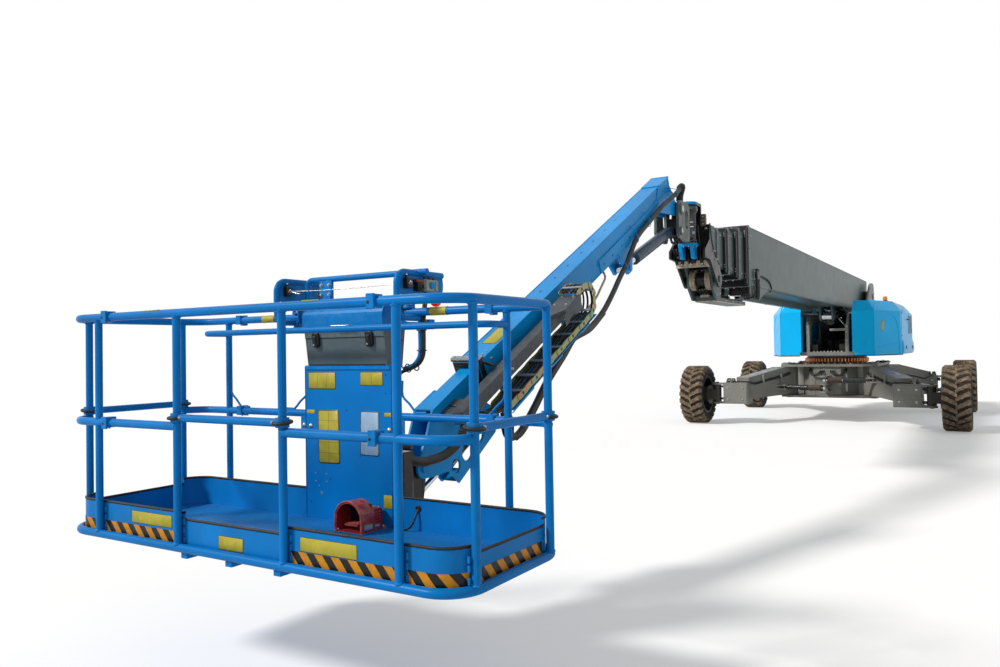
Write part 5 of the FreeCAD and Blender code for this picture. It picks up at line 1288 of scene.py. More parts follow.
JIB = Matrix.Translation((10.22, 0, 2.98)) @ Matrix.Rotation(math.radians(26.86), 4, "Y")
JIB_SIDE, JIB_FLOOR, JIB_ROOF = 0.0875, 0.150, 0.374
MOUTH_TOP, MOUTH_SIDE = 0.347, 0.0595        # the opening that the sliding jib runs in
CHAIN_SIDE = 0.306                           # the hose tray's outer face
CHAIN_LENGTH, LINKS, CHAIN_R = 1.815, 18, 0.1175
SLATE = painted("slate_paint", (0.20, 0.225, 0.25), 0.42, 0.05, spec=0.25).done()
BAR_ZINC = painted("bar_zinc", (0.50, 0.57, 0.63), 0.40, 0.02, spec=0.3).done()


def link_at(s):
    """Along and up of the hose chain's middle line, s metres from its upper end."""
    top, turn, bend = 0.122, math.pi * CHAIN_R, 2.83
    if s < top:
        return bend + top - s, 0.235 + CHAIN_R
    if s < top + turn:
        a = (s - top) / CHAIN_R
        return bend - CHAIN_R * math.sin(a), 0.235 + CHAIN_R * math.cos(a)
    return bend + s - top - turn, 0.235 - CHAIN_R


def hose_chain():
    """The chain's side plates, cross bars and the hoses that it carries."""
    plates = Piece("chain_plates", "jib_slide", ZINC, 30)
    bars = Piece("chain_bars", "jib_slide", BAR_ZINC, 30)
    plugs = Piece("chain_plugs", "jib_slide", PLASTIC, 30)
    pitch, h = CHAIN_LENGTH / LINKS, 0.0212
    for k in range(LINKS):
        a0, u0 = link_at(k * pitch)
        a1, u1 = link_at((k + 1) * pitch)
        am, um = link_at((k + 0.5) * pitch)
        way = Vector((a1 - a0, 0, u1 - u0)).normalized()
        half = math.hypot(a1 - a0, u1 - u0) / 2
        outline = arc(half, 0, h, -90, 90, 6) + arc(-half, 0, h, 90, 270, 6)
        for y, out in ((0.3055, -1), (0.1485, 1)):
            lift = 0.0045 if k % 2 else 0.0
            m = JIB @ spot(((a0 + a1) / 2, y + out * lift, (u0 + u1) / 2), (0, out, 0), way)
            plates.prism(outline, 0.0042, m, 0.001)
            for e in (-1, 1):
                plates.lathe([(0, -0.0006), (0.0075, -0.0006), (0.006, -0.0016), (0, -0.0018)],
                             m @ Matrix.Translation((e * half, 0, 0)), 12)
            if k % 2 == 0:
                plugs.prism(oblong(0.0105, 0.0105), 0.0090, m @ Matrix.Translation((0, 0, -0.0018)), 0.001)
        if k % 2 == 0:
            m = JIB @ spot((am, 0.227, um), LEFT, way)
            for side in (-1, 1):
                bars.prism(oblong(0.0115, 0.0035, side * 0.0175),
                           0.148, m @ Matrix.Translation((0, 0, -0.074)), 0.001)
            for y in (-0.030, 0.004, 0.036):
                bars.prism(oblong(0.004, 0.0165), 0.003, m @ Matrix.Translation((0, 0, y)), 0.0008)
    hoses = Piece("chain_hoses", "jib_slide", HOSE, 60)
    for y, r, d in ((0.177, 0.0085, 0.0), (0.206, 0.0075, 0.003), (0.238, 0.0085, -0.002),
                    (0.274, 0.0090, 0.001)):
        line = [link_at(CHAIN_LENGTH * k / 40) for k in range(41)]
        points = [(a, y, u + d) for a, u in line]
        points += [(4.20, y, 0.118 + d), (4.26, y - 0.012, 0.128), (4.315, y - 0.035, 0.150),
                   (4.34, y - 0.060, 0.178)]
        hoses.tube(points, r, 10, 3, JIB)
    for y, d in ((0.252, 0.0), (0.268, 0.02), (0.280, -0.015)):
        hoses.tube([(4.155, y, 0.112), (4.215, y, 0.085), (4.235 + d, y, 0.020), (4.215 + d, y, -0.048 + d),
                    (4.165, y - 0.02, -0.070), (4.115, y - 0.04, -0.045), (4.095, y - 0.05, 0.020),
                    (4.10, y - 0.06, 0.064)], 0.0065, 8, 6, JIB)
    return plates


def chain_rail():
    """The slate box rail with its shoe, bolted to the sliding jib's head."""
    rail = Piece("chain_rail", "jib_slide", SLATE, 30)
    rail.block((2.95, 0.150, 0.220), (4.56, 0.235, 0.305), JIB, 0.004)
    rail.prism([(2.952, 0.1495), (3.215, 0.1495), (3.250, 0.172), (3.30, 0.190), (3.30, 0.2355),
                (3.215, 0.3055), (2.952, 0.3055)], 0.030, JIB @ Matrix.Translation((0, 0, 0.303)), 0.004)
    rail.prism([(2.955, 0.225), (3.06, 0.225), (3.10, 0.245), (3.17, 0.245), (3.21, 0.225), (3.26, 0.221),
                (3.235, 0.306), (2.955, 0.306)], 0.006,
               JIB @ spot((0, 0.2995, 0), LEFT, AHEAD) @ Matrix.Diagonal((1, -1, 1, 1)), 0.001)
    for along in (4.43, 4.52):
        rail.block((along - 0.040, 0.071, 0.230), (along + 0.040, 0.152, 0.295), JIB, 0.003)
    rail.block((4.548, 0.153, 0.223), (4.5655, 0.232, 0.302), JIB, 0.002)
    bolt = Piece("chain_rail_bolts", "jib_slide", STEEL, 30)
    for a, y in ((2.99, 0.180), (2.99, 0.272), (3.13, 0.180), (3.13, 0.272)):
        bolt.bolt((a, y, 0.333), UP, 0.014, JIB)
    for a in (3.0, 3.45, 3.95, 4.50):
        bolt.bolt((a, 0.235, 0.262), LEFT, 0.014, JIB)


def jib_box_details():
    """Welds, plug slots, bolts, straps and the yellow labels on the fixed jib."""
    blue = Piece("jib_details", "jib", BLUE_JIB_PAINTED_LIGHT, 30)
    dark = Piece("jib_slots", "jib", PLASTIC, 30)
    bolt = Piece("jib_bolts", "jib", STEEL, 30)
    for side in (1, -1):
        blue.tube([(0.43, side * (JIB_SIDE + 0.001), JIB_ROOF), (4.05, side * (JIB_SIDE + 0.001), JIB_ROOF)],
                  0.0042, 8, 1, JIB)
        blue.tube([(0.45, side * (JIB_SIDE + 0.001), JIB_FLOOR + 0.001),
                   (4.05, side * (JIB_SIDE + 0.001), JIB_FLOOR + 0.001)], 0.0042, 8, 1, JIB)
    for along in (1.37, 1.63, 1.90, 2.16, 2.44, 2.69, 2.95, 3.22):
        m = JIB @ Matrix.Translation((along, -0.010, JIB_ROOF))
        dark.prism(oblong(0.016, 0.0035), 0.0008, m, 0.0002)
        blue.ring(m @ Matrix.Diagonal((1.9, 0.8, 1, 1)), 0.0100, 0.0014, 16, 6)
    for along in (0.96, 1.38, 1.59, 1.81, 2.01):
        for side in (1, -1):
            dark.lathe([(0, 0), (0.009, 0), (0.0085, 0.003), (0.004, 0.003), (0, 0.0015)],
                       JIB @ spot((along, side * 0.0975, 0.205), (0, side, 0)), 14)
    for side in (1, -1):
        weld = [(0.47, 0.366), (0.545, 0.282), (0.82, 0.266), (1.45, 0.266), (2.084, 0.266), (2.092, 0.205),
                (2.092, 0.153)]
        blue.tube([(a, side * 0.0885, u) for a, u in weld], 0.0050, 8, 2, JIB)
        blue.tube([(0.115, side * 0.088, 0.30), (0.115, side * 0.088, 0.372)], 0.005, 8, 1, JIB)
    blue.block((0.100, -0.094, 0.366), (0.120, 0.094, 0.387), JIB, 0.004)
    blue.block((0.395, -0.0935, 0.3705), (0.412, 0.0935, 0.3845), JIB, 0.003)
    bolt.bolt((0.70, -0.02, 0.382), UP, 0.010, JIB)
    label_face = Piece("jib_label", "jib", LABEL, 60)
    label_line = Piece("jib_label_edges", "jib", LABEL_EDGE, 60)
    label(label_face, label_line, (3.69, 0.012, 0.3742), UP, AHEAD, 0.235, 0.115, JIB)
    label_line.block((3.60, 0.0115, 0.3745), (3.78, 0.0125, 0.3757), JIB, 0.0001)
    clamp = Piece("jib_mouth_clamp", "jib", PLASTIC, 30)
    metal = Piece("jib_mouth_bands", "jib", BAR_ZINC, 30)
    metal.block((4.044, -0.113, 0.403), (4.090, 0.113, 0.408), JIB, 0.002)
    for along in (4.052, 4.072):
        metal.block((along, -0.114, 0.409), (along + 0.012, 0.114, 0.4105), JIB, 0.0005)
    for low, high, edge in (((4.040, -0.112, 0.388), (4.094, 0.112, 0.404), 0.004),
                            ((4.046, 0.0955, 0.20), (4.090, 0.104, 0.395), 0.003),
                            ((4.0955, -0.0945, MOUTH_TOP), (4.101, 0.0945, 0.389), 0.002),
                            ((4.0955, MOUTH_SIDE, 0.150), (4.101, 0.0945, MOUTH_TOP), 0.002),
                            ((4.0955, -0.0945, 0.150), (4.101, -MOUTH_SIDE, MOUTH_TOP), 0.002)):
        clamp.block(low, high, JIB, edge)
    for y in (-0.092, -0.03, 0.03, 0.092):
        bolt.bolt((4.067, y, 0.4085), UP, 0.011, JIB)
    for along, y in ((3.965, 0.055), (3.965, -0.055), (3.985, 0.01), (3.925, 0.060)):
        bolt.bolt((along, y, JIB_ROOF), UP, 0.013, JIB)
    for along, up in ((3.93, 0.33), (3.97, 0.30), (3.93, 0.23), (3.97, 0.20)):
        bolt.bolt((along, JIB_SIDE, up), LEFT, 0.013, JIB)
        bolt.bolt((along, -JIB_SIDE, up), (0, -1, 0), 0.013, JIB)
    for y in (0.122, 0.140):
        dark.tube([(4.04, y - 0.03, 0.36), (4.02, y, 0.33), (3.96, y, 0.29), (3.93, y - 0.01, 0.24)],
                  0.007, 8, 5, JIB)
    tray = Piece("hose_tray_lips", "jib", BLUE_JIB_PAINTED_LIGHT, 40)
    bend = CHAIN_SIDE - 0.030
    lip = [(CHAIN_SIDE - 0.004, 0.0865), (CHAIN_SIDE, 0.0865)]
    lip += arc(bend, 0.083, 0.030, 0, -80, 6) + arc(bend, 0.083, 0.026, -80, 0, 6)
    for a0, a1 in ((2.905, 3.045), (3.40, 3.56), (3.86, 4.15)):
        tray.prism(lip, a1 - a0, JIB @ spot((a0, 0, 0), AHEAD, LEFT), 0.0008)


def jib_hoses():
    """The thick hose along the jib's left, its wire ties, the conduit and the wrapped bend to the rotator."""
    fat = Piece("jib_hose", "jib", HOSE, 60)
    line = [(-0.010, 0.166, 0.225), (0.16, 0.166, 0.218), (0.32, 0.160, 0.214), (0.55, 0.138, 0.210),
            (0.879, 0.126, 0.186), (1.259, 0.130, 0.170), (1.482, 0.135, 0.112), (1.666, 0.140, 0.055),
            (1.90, 0.150, 0.013), (2.106, 0.160, -0.030), (2.397, 0.180, -0.062), (2.727, 0.200, -0.046),
            (2.98, 0.205, 0.010), (3.063, 0.210, 0.020), (3.24, 0.215, -0.008), (3.439, 0.220, -0.030),
            (3.60, 0.220, -0.058), (3.786, 0.220, -0.110), (4.004, 0.220, -0.156), (4.11, 0.216, -0.150),
            (4.165, 0.206, -0.105), (4.150, 0.196, -0.040), (4.11, 0.190, 0.030)]
    fat.tube(line, 0.0225, 14, 6, JIB)
    for d in (-0.018, 0.012):
        fat.tube([(a, y + d, u - 0.016) for a, y, u in line[10:20]], 0.011, 10, 6, JIB)
    elbow = Piece("jib_elbow", None, HOSE, 60)
    elbow.tube([(0.030, 0.166, 0.224), (-0.040, 0.160, 0.220), (-0.100, 0.140, 0.195), (-0.150, 0.112, 0.152),
                (-0.180, 0.080, 0.095), (-0.190, 0.062, 0.030)], 0.034, 16, 6, JIB, 0.004, 0.014)
    elbow.tube([(0.05, 0.020, 0.10), (-0.01, 0.018, 0.165), (-0.08, 0.010, 0.160), (-0.135, 0.0, 0.120),
                (-0.165, -0.010, 0.060)], 0.024, 12, 6, JIB, 0.004, 0.014)
    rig.blend(elbow.now(), "jib", "yoke", JIB @ Vector((0.0, 0, 0.225)), JIB @ Vector((-0.185, 0, 0.075)))
    ties = Piece("wire_ties", "jib", BLUE_JIB_PAINTED_LIGHT, 60)
    for a, u in ((0.20, 0.218), (0.96, 0.180), (1.323, 0.158), (1.72, 0.040)):
        out = 0.166 if a < 0.5 else 0.128 + 0.01 * (a > 1.4)
        reach = min(0.285, u + 0.12)
        ties.tube([(a, JIB_SIDE, reach + 0.004), (a, JIB_SIDE + 0.020, reach + 0.006),
                   (a + 0.004, out + 0.024, u + 0.045), (a + 0.004, out + 0.030, u),
                   (a + 0.002, out + 0.012, u - 0.026), (a, out - 0.018, u - 0.024),
                   (a, JIB_SIDE + (0.003 if u > 0.15 else 0.02), u + 0.004),
                   (a, JIB_SIDE + 0.004, max(u + 0.05, 0.158))], 0.0032, 8, 5, JIB)
    tan = Piece("tan_conduit", "jib", SHEAVE, 60)
    tan.tube([(1.99, 0.060, 0.135), (2.03, 0.090, 0.118), (2.10, 0.118, 0.105), (2.25, 0.135, 0.085),
              (2.40, 0.150, 0.066), (2.60, 0.160, 0.062), (2.78, 0.165, 0.070)],
             0.0085, 10, 6, JIB, 0.0012, 0.010)


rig.replaces(hose_chain().now(), "cable_carrier")
chain_rail()
jib_box_details()
jib_hoses()


# ------------------------------------------------------------- the boom's nose

PLATE_GREY = painted("grey_green_plate", (0.29, 0.33, 0.32), 0.4, 0.05, spec=0.2).done()
TAN_BOX = painted("brown_valve_paint", (0.33, 0.29, 0.24), 0.45, 0.1, spec=0.2).done()
ROTATOR_X = 9.62
SHEAVE_X, SHEAVE_Z = 9.15, 2.32
JIB_PIN, RAM_PIN = (10.22, 2.98), (10.244, 2.75)    # x and z


def pierced(piece, outer, hole, depth, place):
    """A plate with one oval hole: (x, y, half width, half height)."""
    cx, cy, rx, ry = hole
    middle, rays = Vector((cx, cy)), 28
    turns = sorted({round(math.atan2(y - cy, x - cx), 4) for x, y in outer}
                   | {round(math.tau * (k + 0.5) / rays - math.pi, 4) for k in range(rays)})
    rim, edge = [], []
    for a in turns:
        way = Vector((math.cos(a), math.sin(a)))
        for p, q in zip(outer, outer[1:] + outer[:1]):
            hit = intersect_line_line_2d(middle, middle + way * 9, Vector(p), Vector(q))
            if hit:
                break
        rim.append(tuple(hit) if hit else tuple(middle + way * (Vector(p) - middle).length))
        edge.append((cx + rx * way.x, cy + ry * way.y))
    n = len(turns)
    verts = [(*p, z) for ring, z in ((rim, 0), (edge, 0), (edge, depth), (rim, depth)) for p in ring]
    piece.mesh(verts, [[r * n + k, r * n + (k + 1) % n, (r + 1) % 4 * n + (k + 1) % n, (r + 1) % 4 * n + k]
                       for r in range(4) for k in range(n)], place)


def rotator():
    """The black rotator between its flanges, and the grey-green fork that carries the jib."""
    fork = Piece("rotator_fork", "yoke", PLATE_GREY, 30)
    outline = [(9.965, 2.700), (9.985, 2.665), (10.03, 2.650), (10.12, 2.655)]
    outline += arc(*RAM_PIN, 0.072, -100, 20, 8) + arc(*JIB_PIN, 0.088, -5, 100, 8)
    outline += [(10.05, 3.062), (9.985, 3.050), (9.965, 3.015)]
    for y in (0.106, -0.134):
        pierced(fork, outline, (10.06, 2.885, 0.052, 0.098), 0.028, upright(y))
    for sy in (1, -1):
        for (x, z), r in ((JIB_PIN, 0.060), (RAM_PIN, 0.046)):
            fork.lathe([(0.030, 0), (r, 0), (r, 0.008), (r - 0.006, 0.012), (0.030, 0.012)],
                       spot((x, sy * 0.134, z), (0, sy, 0)), 28)
    dark = Piece("rotator_web", "yoke", BLACK, 30)
    dark.block((9.68, -0.050, 2.745), (9.99, 0.050, 3.050), edge=0.006)
    flange = [(9.66, -0.080), (9.80, -0.080), (9.97, -0.106), (10.08, -0.106)]
    flange += [(x, -y) for x, y in reversed(flange)]
    for z in (2.725, 3.045):
        dark.prism(flange, 0.022, Matrix.Translation((0, 0, z)), 0.004)
    body = Piece("rotator_body", "yoke", BLACK_GLOSS, 40)
    body.lathe([(0.051, 2.700), (0.104, 2.700), (0.108, 2.705), (0.108, 2.720), (0.098, 2.730),
                (0.094, 2.755), (0.094, 2.855), (0.097, 2.858), (0.097, 2.872), (0.094, 2.875),
                (0.094, 2.905), (0.097, 2.908), (0.097, 2.922), (0.094, 2.925), (0.094, 3.020),
                (0.100, 3.035), (0.1085, 3.048), (0.1085, 3.080), (0.104, 3.095), (0.051, 3.095)],
               Matrix.Translation((ROTATOR_X, 0, 0)), 40, True)
    bits = Piece("rotator_bits", "yoke", STEEL, 30)
    for turn in (42, -42, 160):
        out = Matrix.Rotation(math.radians(turn), 3, "Z") @ Vector(AHEAD)
        for z in (2.865, 2.915):
            m = spot((ROTATOR_X + 0.095 * out.x, 0.095 * out.y, z), out, (-out.y, out.x, 0))
            bits.prism(oblong(0.020, 0.005), 0.006, m, 0.001)
    for dx, dy in circle(12, 0.092):
        bits.bolt((ROTATOR_X + dx, dy, 2.7005), DOWN, 0.008)
    for sy in (1, -1):
        for (x, z), r, t in ((JIB_PIN, 0.034, 0.004), (RAM_PIN, 0.026, 0.003)):
            bits.lathe([(0, 0), (r, 0), (r, t), (r - 0.006, t + 0.002), (0, t + 0.002)],
                       spot((x, sy * 0.147, z), (0, sy, 0)), 24)
    note = Piece("rotator_label", "yoke", WHITE_LABEL, 60)
    line = Piece("rotator_label_edge", "yoke", LABEL_EDGE, 60)
    out = Matrix.Rotation(math.radians(56), 3, "Z") @ Vector(AHEAD)
    label(note, line, (ROTATOR_X + 0.0945 * out.x, 0.0945 * out.y, 2.80), out, (-out.y, out.x, 0),
          0.042, 0.030)
    return fork


def rotator_hoses():
    """Hoses that drop from the jib's wrapped bend along the fork to the rotator's foot."""
    hose = Piece("fork_hoses", "yoke", HOSE, 60)
    metal = Piece("fork_fittings", "yoke", STEEL, 40)
    for k in range(4):
        y = -0.070 + 0.040 * k
        hose.tube([(9.90, y, 3.060), (9.93, y, 3.090), (9.98, y * 1.1, 3.060), (10.00, y * 1.2, 2.98),
                   (10.03, y * 1.1, 2.86), (10.01, y, 2.76), (9.97, y, 2.69), (9.92, y, 2.670),
                   (9.86, y, 2.690), (9.82, y, 2.730)], 0.013, 8, 5)
        metal.lathe([(0.0135, 0), (0.017, 0.002), (0.017, 0.016), (0.015, 0.018), (0.015, 0.030),
                     (0.0135, 0.031)], spot((9.815, y, 2.735), (0.5, 0, -0.5)), 6)
    valve = Piece("fork_valve", "yoke", PLASTIC, 30)
    valve.block((10.075, -0.060, 2.800), (10.135, 0.060, 2.900), edge=0.004)


def nose_details():
    """Blue flanges and legs at the rotator's ends, bolts, guards and hoses on the nose bracket."""
    blue = Piece("nose_flanges", "nose", BLUE_JIB_PAINTED_LIGHT, 40)
    m = Matrix.Translation((ROTATOR_X, 0, 0))
    for z, up in ((3.1375, 1), (2.6575, -1)):
        blue.lathe([(0.060, z), (0.1095, z), (0.1095, z - up * 0.0255), (0.1125, z - up * 0.0255),
                    (0.1125, z + up * 0.0005), (0.109, z + up * 0.005), (0.060, z + up * 0.005)], m, 40, True)
    for y in (0.0445, -0.0855):
        blue.prism([(9.585, 2.5175), (9.665, 2.5175), (9.7235, 2.6655), (9.585, 2.6655)], 0.041, upright(y),
                   0.004)
    dark = Piece("nose_edges", "nose", BLACK, 30)
    bolt = Piece("nose_bolts", "nose", STEEL, 30)
    for dx, dy in circle(10, 1.0, 0.5):
        bolt.bolt((ROTATOR_X + 0.090 * dx, 0.090 * dy, 2.6525), DOWN, 0.014)
        bolt.bolt((ROTATOR_X + 0.088 * dx, 0.088 * dy, 3.1425), UP, 0.0035)
    tan = Piece("sheave_guards", "nose", SHEAVE, 30)
    tan.prism([(-0.195, 2.435), (0.195, 2.435), (0.150, 2.512), (-0.165, 2.512)], 0.008, across(9.482), 0.002)
    for y in (-0.120, 0.115):
        dark.block((9.484, y - 0.012, 2.455), (9.500, y + 0.012, 2.53), edge=0.002)
        bolt.bolt((9.500, y, 2.47), AHEAD, 0.014)
    dark.prism([(-0.04, 2.512), (0.04, 2.512), (0, 2.470)], 0.006, across(9.492), 0.001)
    for y in (-0.165, -0.055, 0.055, 0.165):
        for z in (2.56, 2.86):
            bolt.bolt((9.505, y, z), AHEAD, 0.020)
    for sy in (1, -1):
        brow = [(x, sy * 0.206, z) for x, z in arc(8.985, 2.96, 0.500, -8, -72, 8)]
        dark.tube([(9.485, sy * 0.206, 2.92)] + brow, 0.0065, 8, 1)
        for x, z in ((9.36, 2.62), (9.29, 2.53)):
            bolt.bolt((x, sy * 0.205, z), (0, sy, 0), 0.022)
        bolt.lathe([(0, 0), (0.034, 0), (0.034, 0.004), (0.026, 0.008), (0, 0.008)],
                   spot((SHEAVE_X, sy * 0.205, SHEAVE_Z), (0, sy, 0)), 28)
    box = Piece("nose_valve", "nose", TAN_BOX, 30)
    box.block((9.470, 0.110, 2.885), (9.525, 0.165, 3.020), edge=0.004)
    for z in (2.91, 2.95, 2.99):
        bolt.bolt((9.525, 0.138, z), AHEAD, 0.013)
    hose = Piece("nose_hoses", "nose", HOSE, 60)
    for k in range(5):
        y = -0.14 + 0.055 * k
        hose.tube([(9.53, y, 2.90), (9.535, y * 1.1, 2.80), (9.530, y * 1.25, 2.70), (9.53, y * 1.3, 2.60),
                   (9.50, y * 1.25, 2.50), (9.42, y * 1.2, 2.47), (9.33, y * 1.1, 2.52)], 0.012, 8, 5)
    for k in range(3):
        y = 0.10 + 0.030 * k
        hose.tube([(9.505, -y, 2.60), (9.62, -y * 1.2, 2.585), (9.74, -y, 2.62)], 0.011, 8, 5)


def sheaves():
    """Two tan wheels with ridged rims on a dark drum."""
    wheels = Piece("tan_sheaves", "boom_5", SHEAVE, 30)
    half = [(0.0415, 0.028), (0.112, 0.028), (0.124, 0.027), (0.125, 0.022), (0.118, 0.016), (0.124, 0.010),
            (0.124, 0.004)]
    rim = [(r, -z) for r, z in half] + [(0.112, 0.0)] + half[::-1]
    for y in (0.090, -0.090):
        wheels.lathe(rim, spot((SHEAVE_X, y, SHEAVE_Z), LEFT), 56, True)
    drum = Piece("sheave_drum", "boom_5", BLACK, 30)
    drum.lathe([(0.0415, -0.062), (0.080, -0.062), (0.082, -0.056), (0.082, 0.056), (0.080, 0.062),
                (0.0415, 0.062)], spot((SHEAVE_X, 0, SHEAVE_Z), LEFT), 32, True)
    bolt = Piece("drum_bolts", "boom_5", STEEL, 30)
    for dx, dz in circle(8, 0.100):
        for side in (1, -1):
            bolt.bolt((SHEAVE_X + dx, side * 0.062, SHEAVE_Z + dz), (0, -side, 0), 0.012)
    return wheels


def head_details():
    """The low bar's edges, bolts, hoses and cross plates on the boom's head."""
    edge = Piece("head_bar_edges", "boom_5", SHEAVE, 30)
    for low, high in (((7.72, -0.1125, 2.0675), (9.072, -0.1085, 2.082)),
                      ((7.72, 0.1085, 2.0675), (9.072, 0.1125, 2.082)),
                      ((9.068, -0.112, 2.0675), (9.0735, 0.112, 2.080))):
        edge.block(low, high, edge=0.001)
    edge.block((9.052, -0.055, 2.120), (9.066, 0.055, 2.165), edge=0.003)
    dark = Piece("head_fittings", "boom_5", BLACK, 30)
    bolt = Piece("head_bolts", "boom_5", STEEL, 30)
    for x in (8.0, 8.3, 8.6, 8.9):
        for sy in (1, -1):
            bolt.bolt((x, sy * 0.110, 2.095), (0, sy, 0), 0.018)
    for sy in (1, -1):
        for x, z in ((9.20, 2.86), (9.32, 2.78), (9.20, 2.60), (9.32, 2.66), (9.00, 2.16), (9.10, 2.15)):
            bolt.bolt((x, sy * 0.150, z), (0, sy, 0), 0.020)
    hose = Piece("head_hoses", "boom_5", HOSE, 60)
    for k in range(4):
        y = -0.045 + 0.030 * k
        hose.tube([(8.86, y, 2.115), (9.02, y, 2.135), (9.10, y, 2.175), (9.20, y, 2.205)], 0.011, 8, 4)
    for k in range(6):
        y = -0.075 + 0.030 * k
        hose.tube([(7.74, y, 2.128), (8.86, y, 2.128)], 0.012, 8, 1)
    dark.block((8.930, -0.124, 2.118), (8.945, 0.124, 2.440), edge=0.003)
    dark.block((8.40, -0.108, 2.119), (8.46, 0.108, 2.160), edge=0.004)
    dark.block((8.80, -0.108, 2.119), (8.86, 0.108, 2.165), edge=0.004)


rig.replaces(rotator().now(), "jib_yoke")
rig.replaces(sheaves().now(), "hose_sheaves")
rotator_hoses()
nose_details()
head_details()


# ------------------------------------------------------------------- the boom

# Painted highlight: this pale grey on the sections' lips stands for the light on their front edges; the clamp plate is
# painted in it too
PALE_GREY_AND_LIP_HIGHLIGHT = painted("pale_grey_and_painted_lip_highlight", (0.42, 0.46, 0.47), 0.4, 0.05, spec=0.25).done()
# Near-black pads; the same colour is painted shade on the lips' fronts
PAD_AND_PAINTED_SHADE = Finish("pad_and_painted_shade", (0.035, 0.04, 0.045), 0.5).vary(0.2, 20.0).bump(300.0, 0.0003).done()
BOOM_Z = 2.68
# The body and its front; the lip's half width and height; the tube's half width; those of the tube inside
LIPS = [("boom", 8.05, 0.258, 0.388, 0.250, 0.212, 0.300),
        ("boom_2", 8.38, 0.222, 0.320, 0.212, 0.180, 0.260),
        ("boom_3", 8.73, 0.190, 0.280, 0.180, 0.150, 0.220),
        ("boom_4", 9.07, 0.160, 0.240, 0.150, 0.122, 0.185)]


def lip_details(body, front, w, h, tube_w, next_w, next_h):
    """The pale edge, a painted highlight; dark blocks on the collar's front, which are painted shade; the wear pads
    with their bolts, and the slots behind one section's lip.
    """
    edge = Piece(f"{body}_lip_edge", body, PALE_GREY_AND_LIP_HIGHLIGHT, 30)
    pad = Piece(f"{body}_pads_and_painted_shade", body, PAD_AND_PAINTED_SHADE, 30)
    bolt = Piece(f"{body}_lip_bolts", body, STEEL, 30)
    for sy in (1, -1):
        # Pale strips on the lip's front edges: painted highlight
        edge.block((front - 0.012, sy * (w - 0.010), BOOM_Z - h + 0.004),
                   (front + 0.0035, sy * (w + 0.0020), BOOM_Z + h - 0.004), edge=0.0015)
        # Dark blocks on the collar's front, most reaching 85 mm forward along the inner tube's side: painted shade
        reach = 0.004 if body == "boom_4" else 0.085
        pad.block((front - 0.004, sy * (next_w + 0.003), BOOM_Z - h + 0.022),
                  (front + reach, sy * (w - 0.011), BOOM_Z + h - 0.022), edge=0.002)
        for z in (-0.75, -0.25, 0.25, 0.75):
            pad.block((front - 0.050, sy * (w - 0.002), BOOM_Z + z * h - 0.006),
                      (front - 0.016, sy * (w + 0.0025), BOOM_Z + z * h + 0.006), edge=0.001)
        for z in (0.60, 0.66, 0.72, 0.78, -0.60, -0.70):
            bolt.bolt((front + reach, sy * (next_w + (w - next_w) * 0.42), BOOM_Z + z * h), AHEAD, 0.010)
        for z in (0.68, -0.74):
            pad.block((front - 0.155, sy * (tube_w - 0.001), BOOM_Z + z * h - 0.010),
                      (front - 0.066, sy * (tube_w + 0.0022), BOOM_Z + z * h + 0.010), edge=0.0015)
            for x in (-0.140, -0.082):
                bolt.bolt((front + x, sy * (tube_w + 0.002), BOOM_Z + z * h), (0, sy, 0), 0.013)
    for up in (1, -1):
        # Dark plates on the collar's front above and below the inner tube: painted shade
        pad.block((front - 0.004, -w + 0.02, BOOM_Z + up * (next_h + 0.003)),
                  (front + 0.002, w - 0.02, BOOM_Z + up * (h - 0.010)), edge=0.001)
        # Pale strips along the top and bottom of the lip: painted highlight
        edge.block((front - 0.012, -w + 0.006, BOOM_Z + up * (h - 0.008)),
                   (front + 0.0035, w - 0.006, BOOM_Z + up * (h + 0.0015)), edge=0.0015)
        for y in (-0.6, -0.2, 0.2, 0.6):
            bolt.bolt((front - 0.035, y * w, BOOM_Z + up * h), (0, 0, up), 0.016)


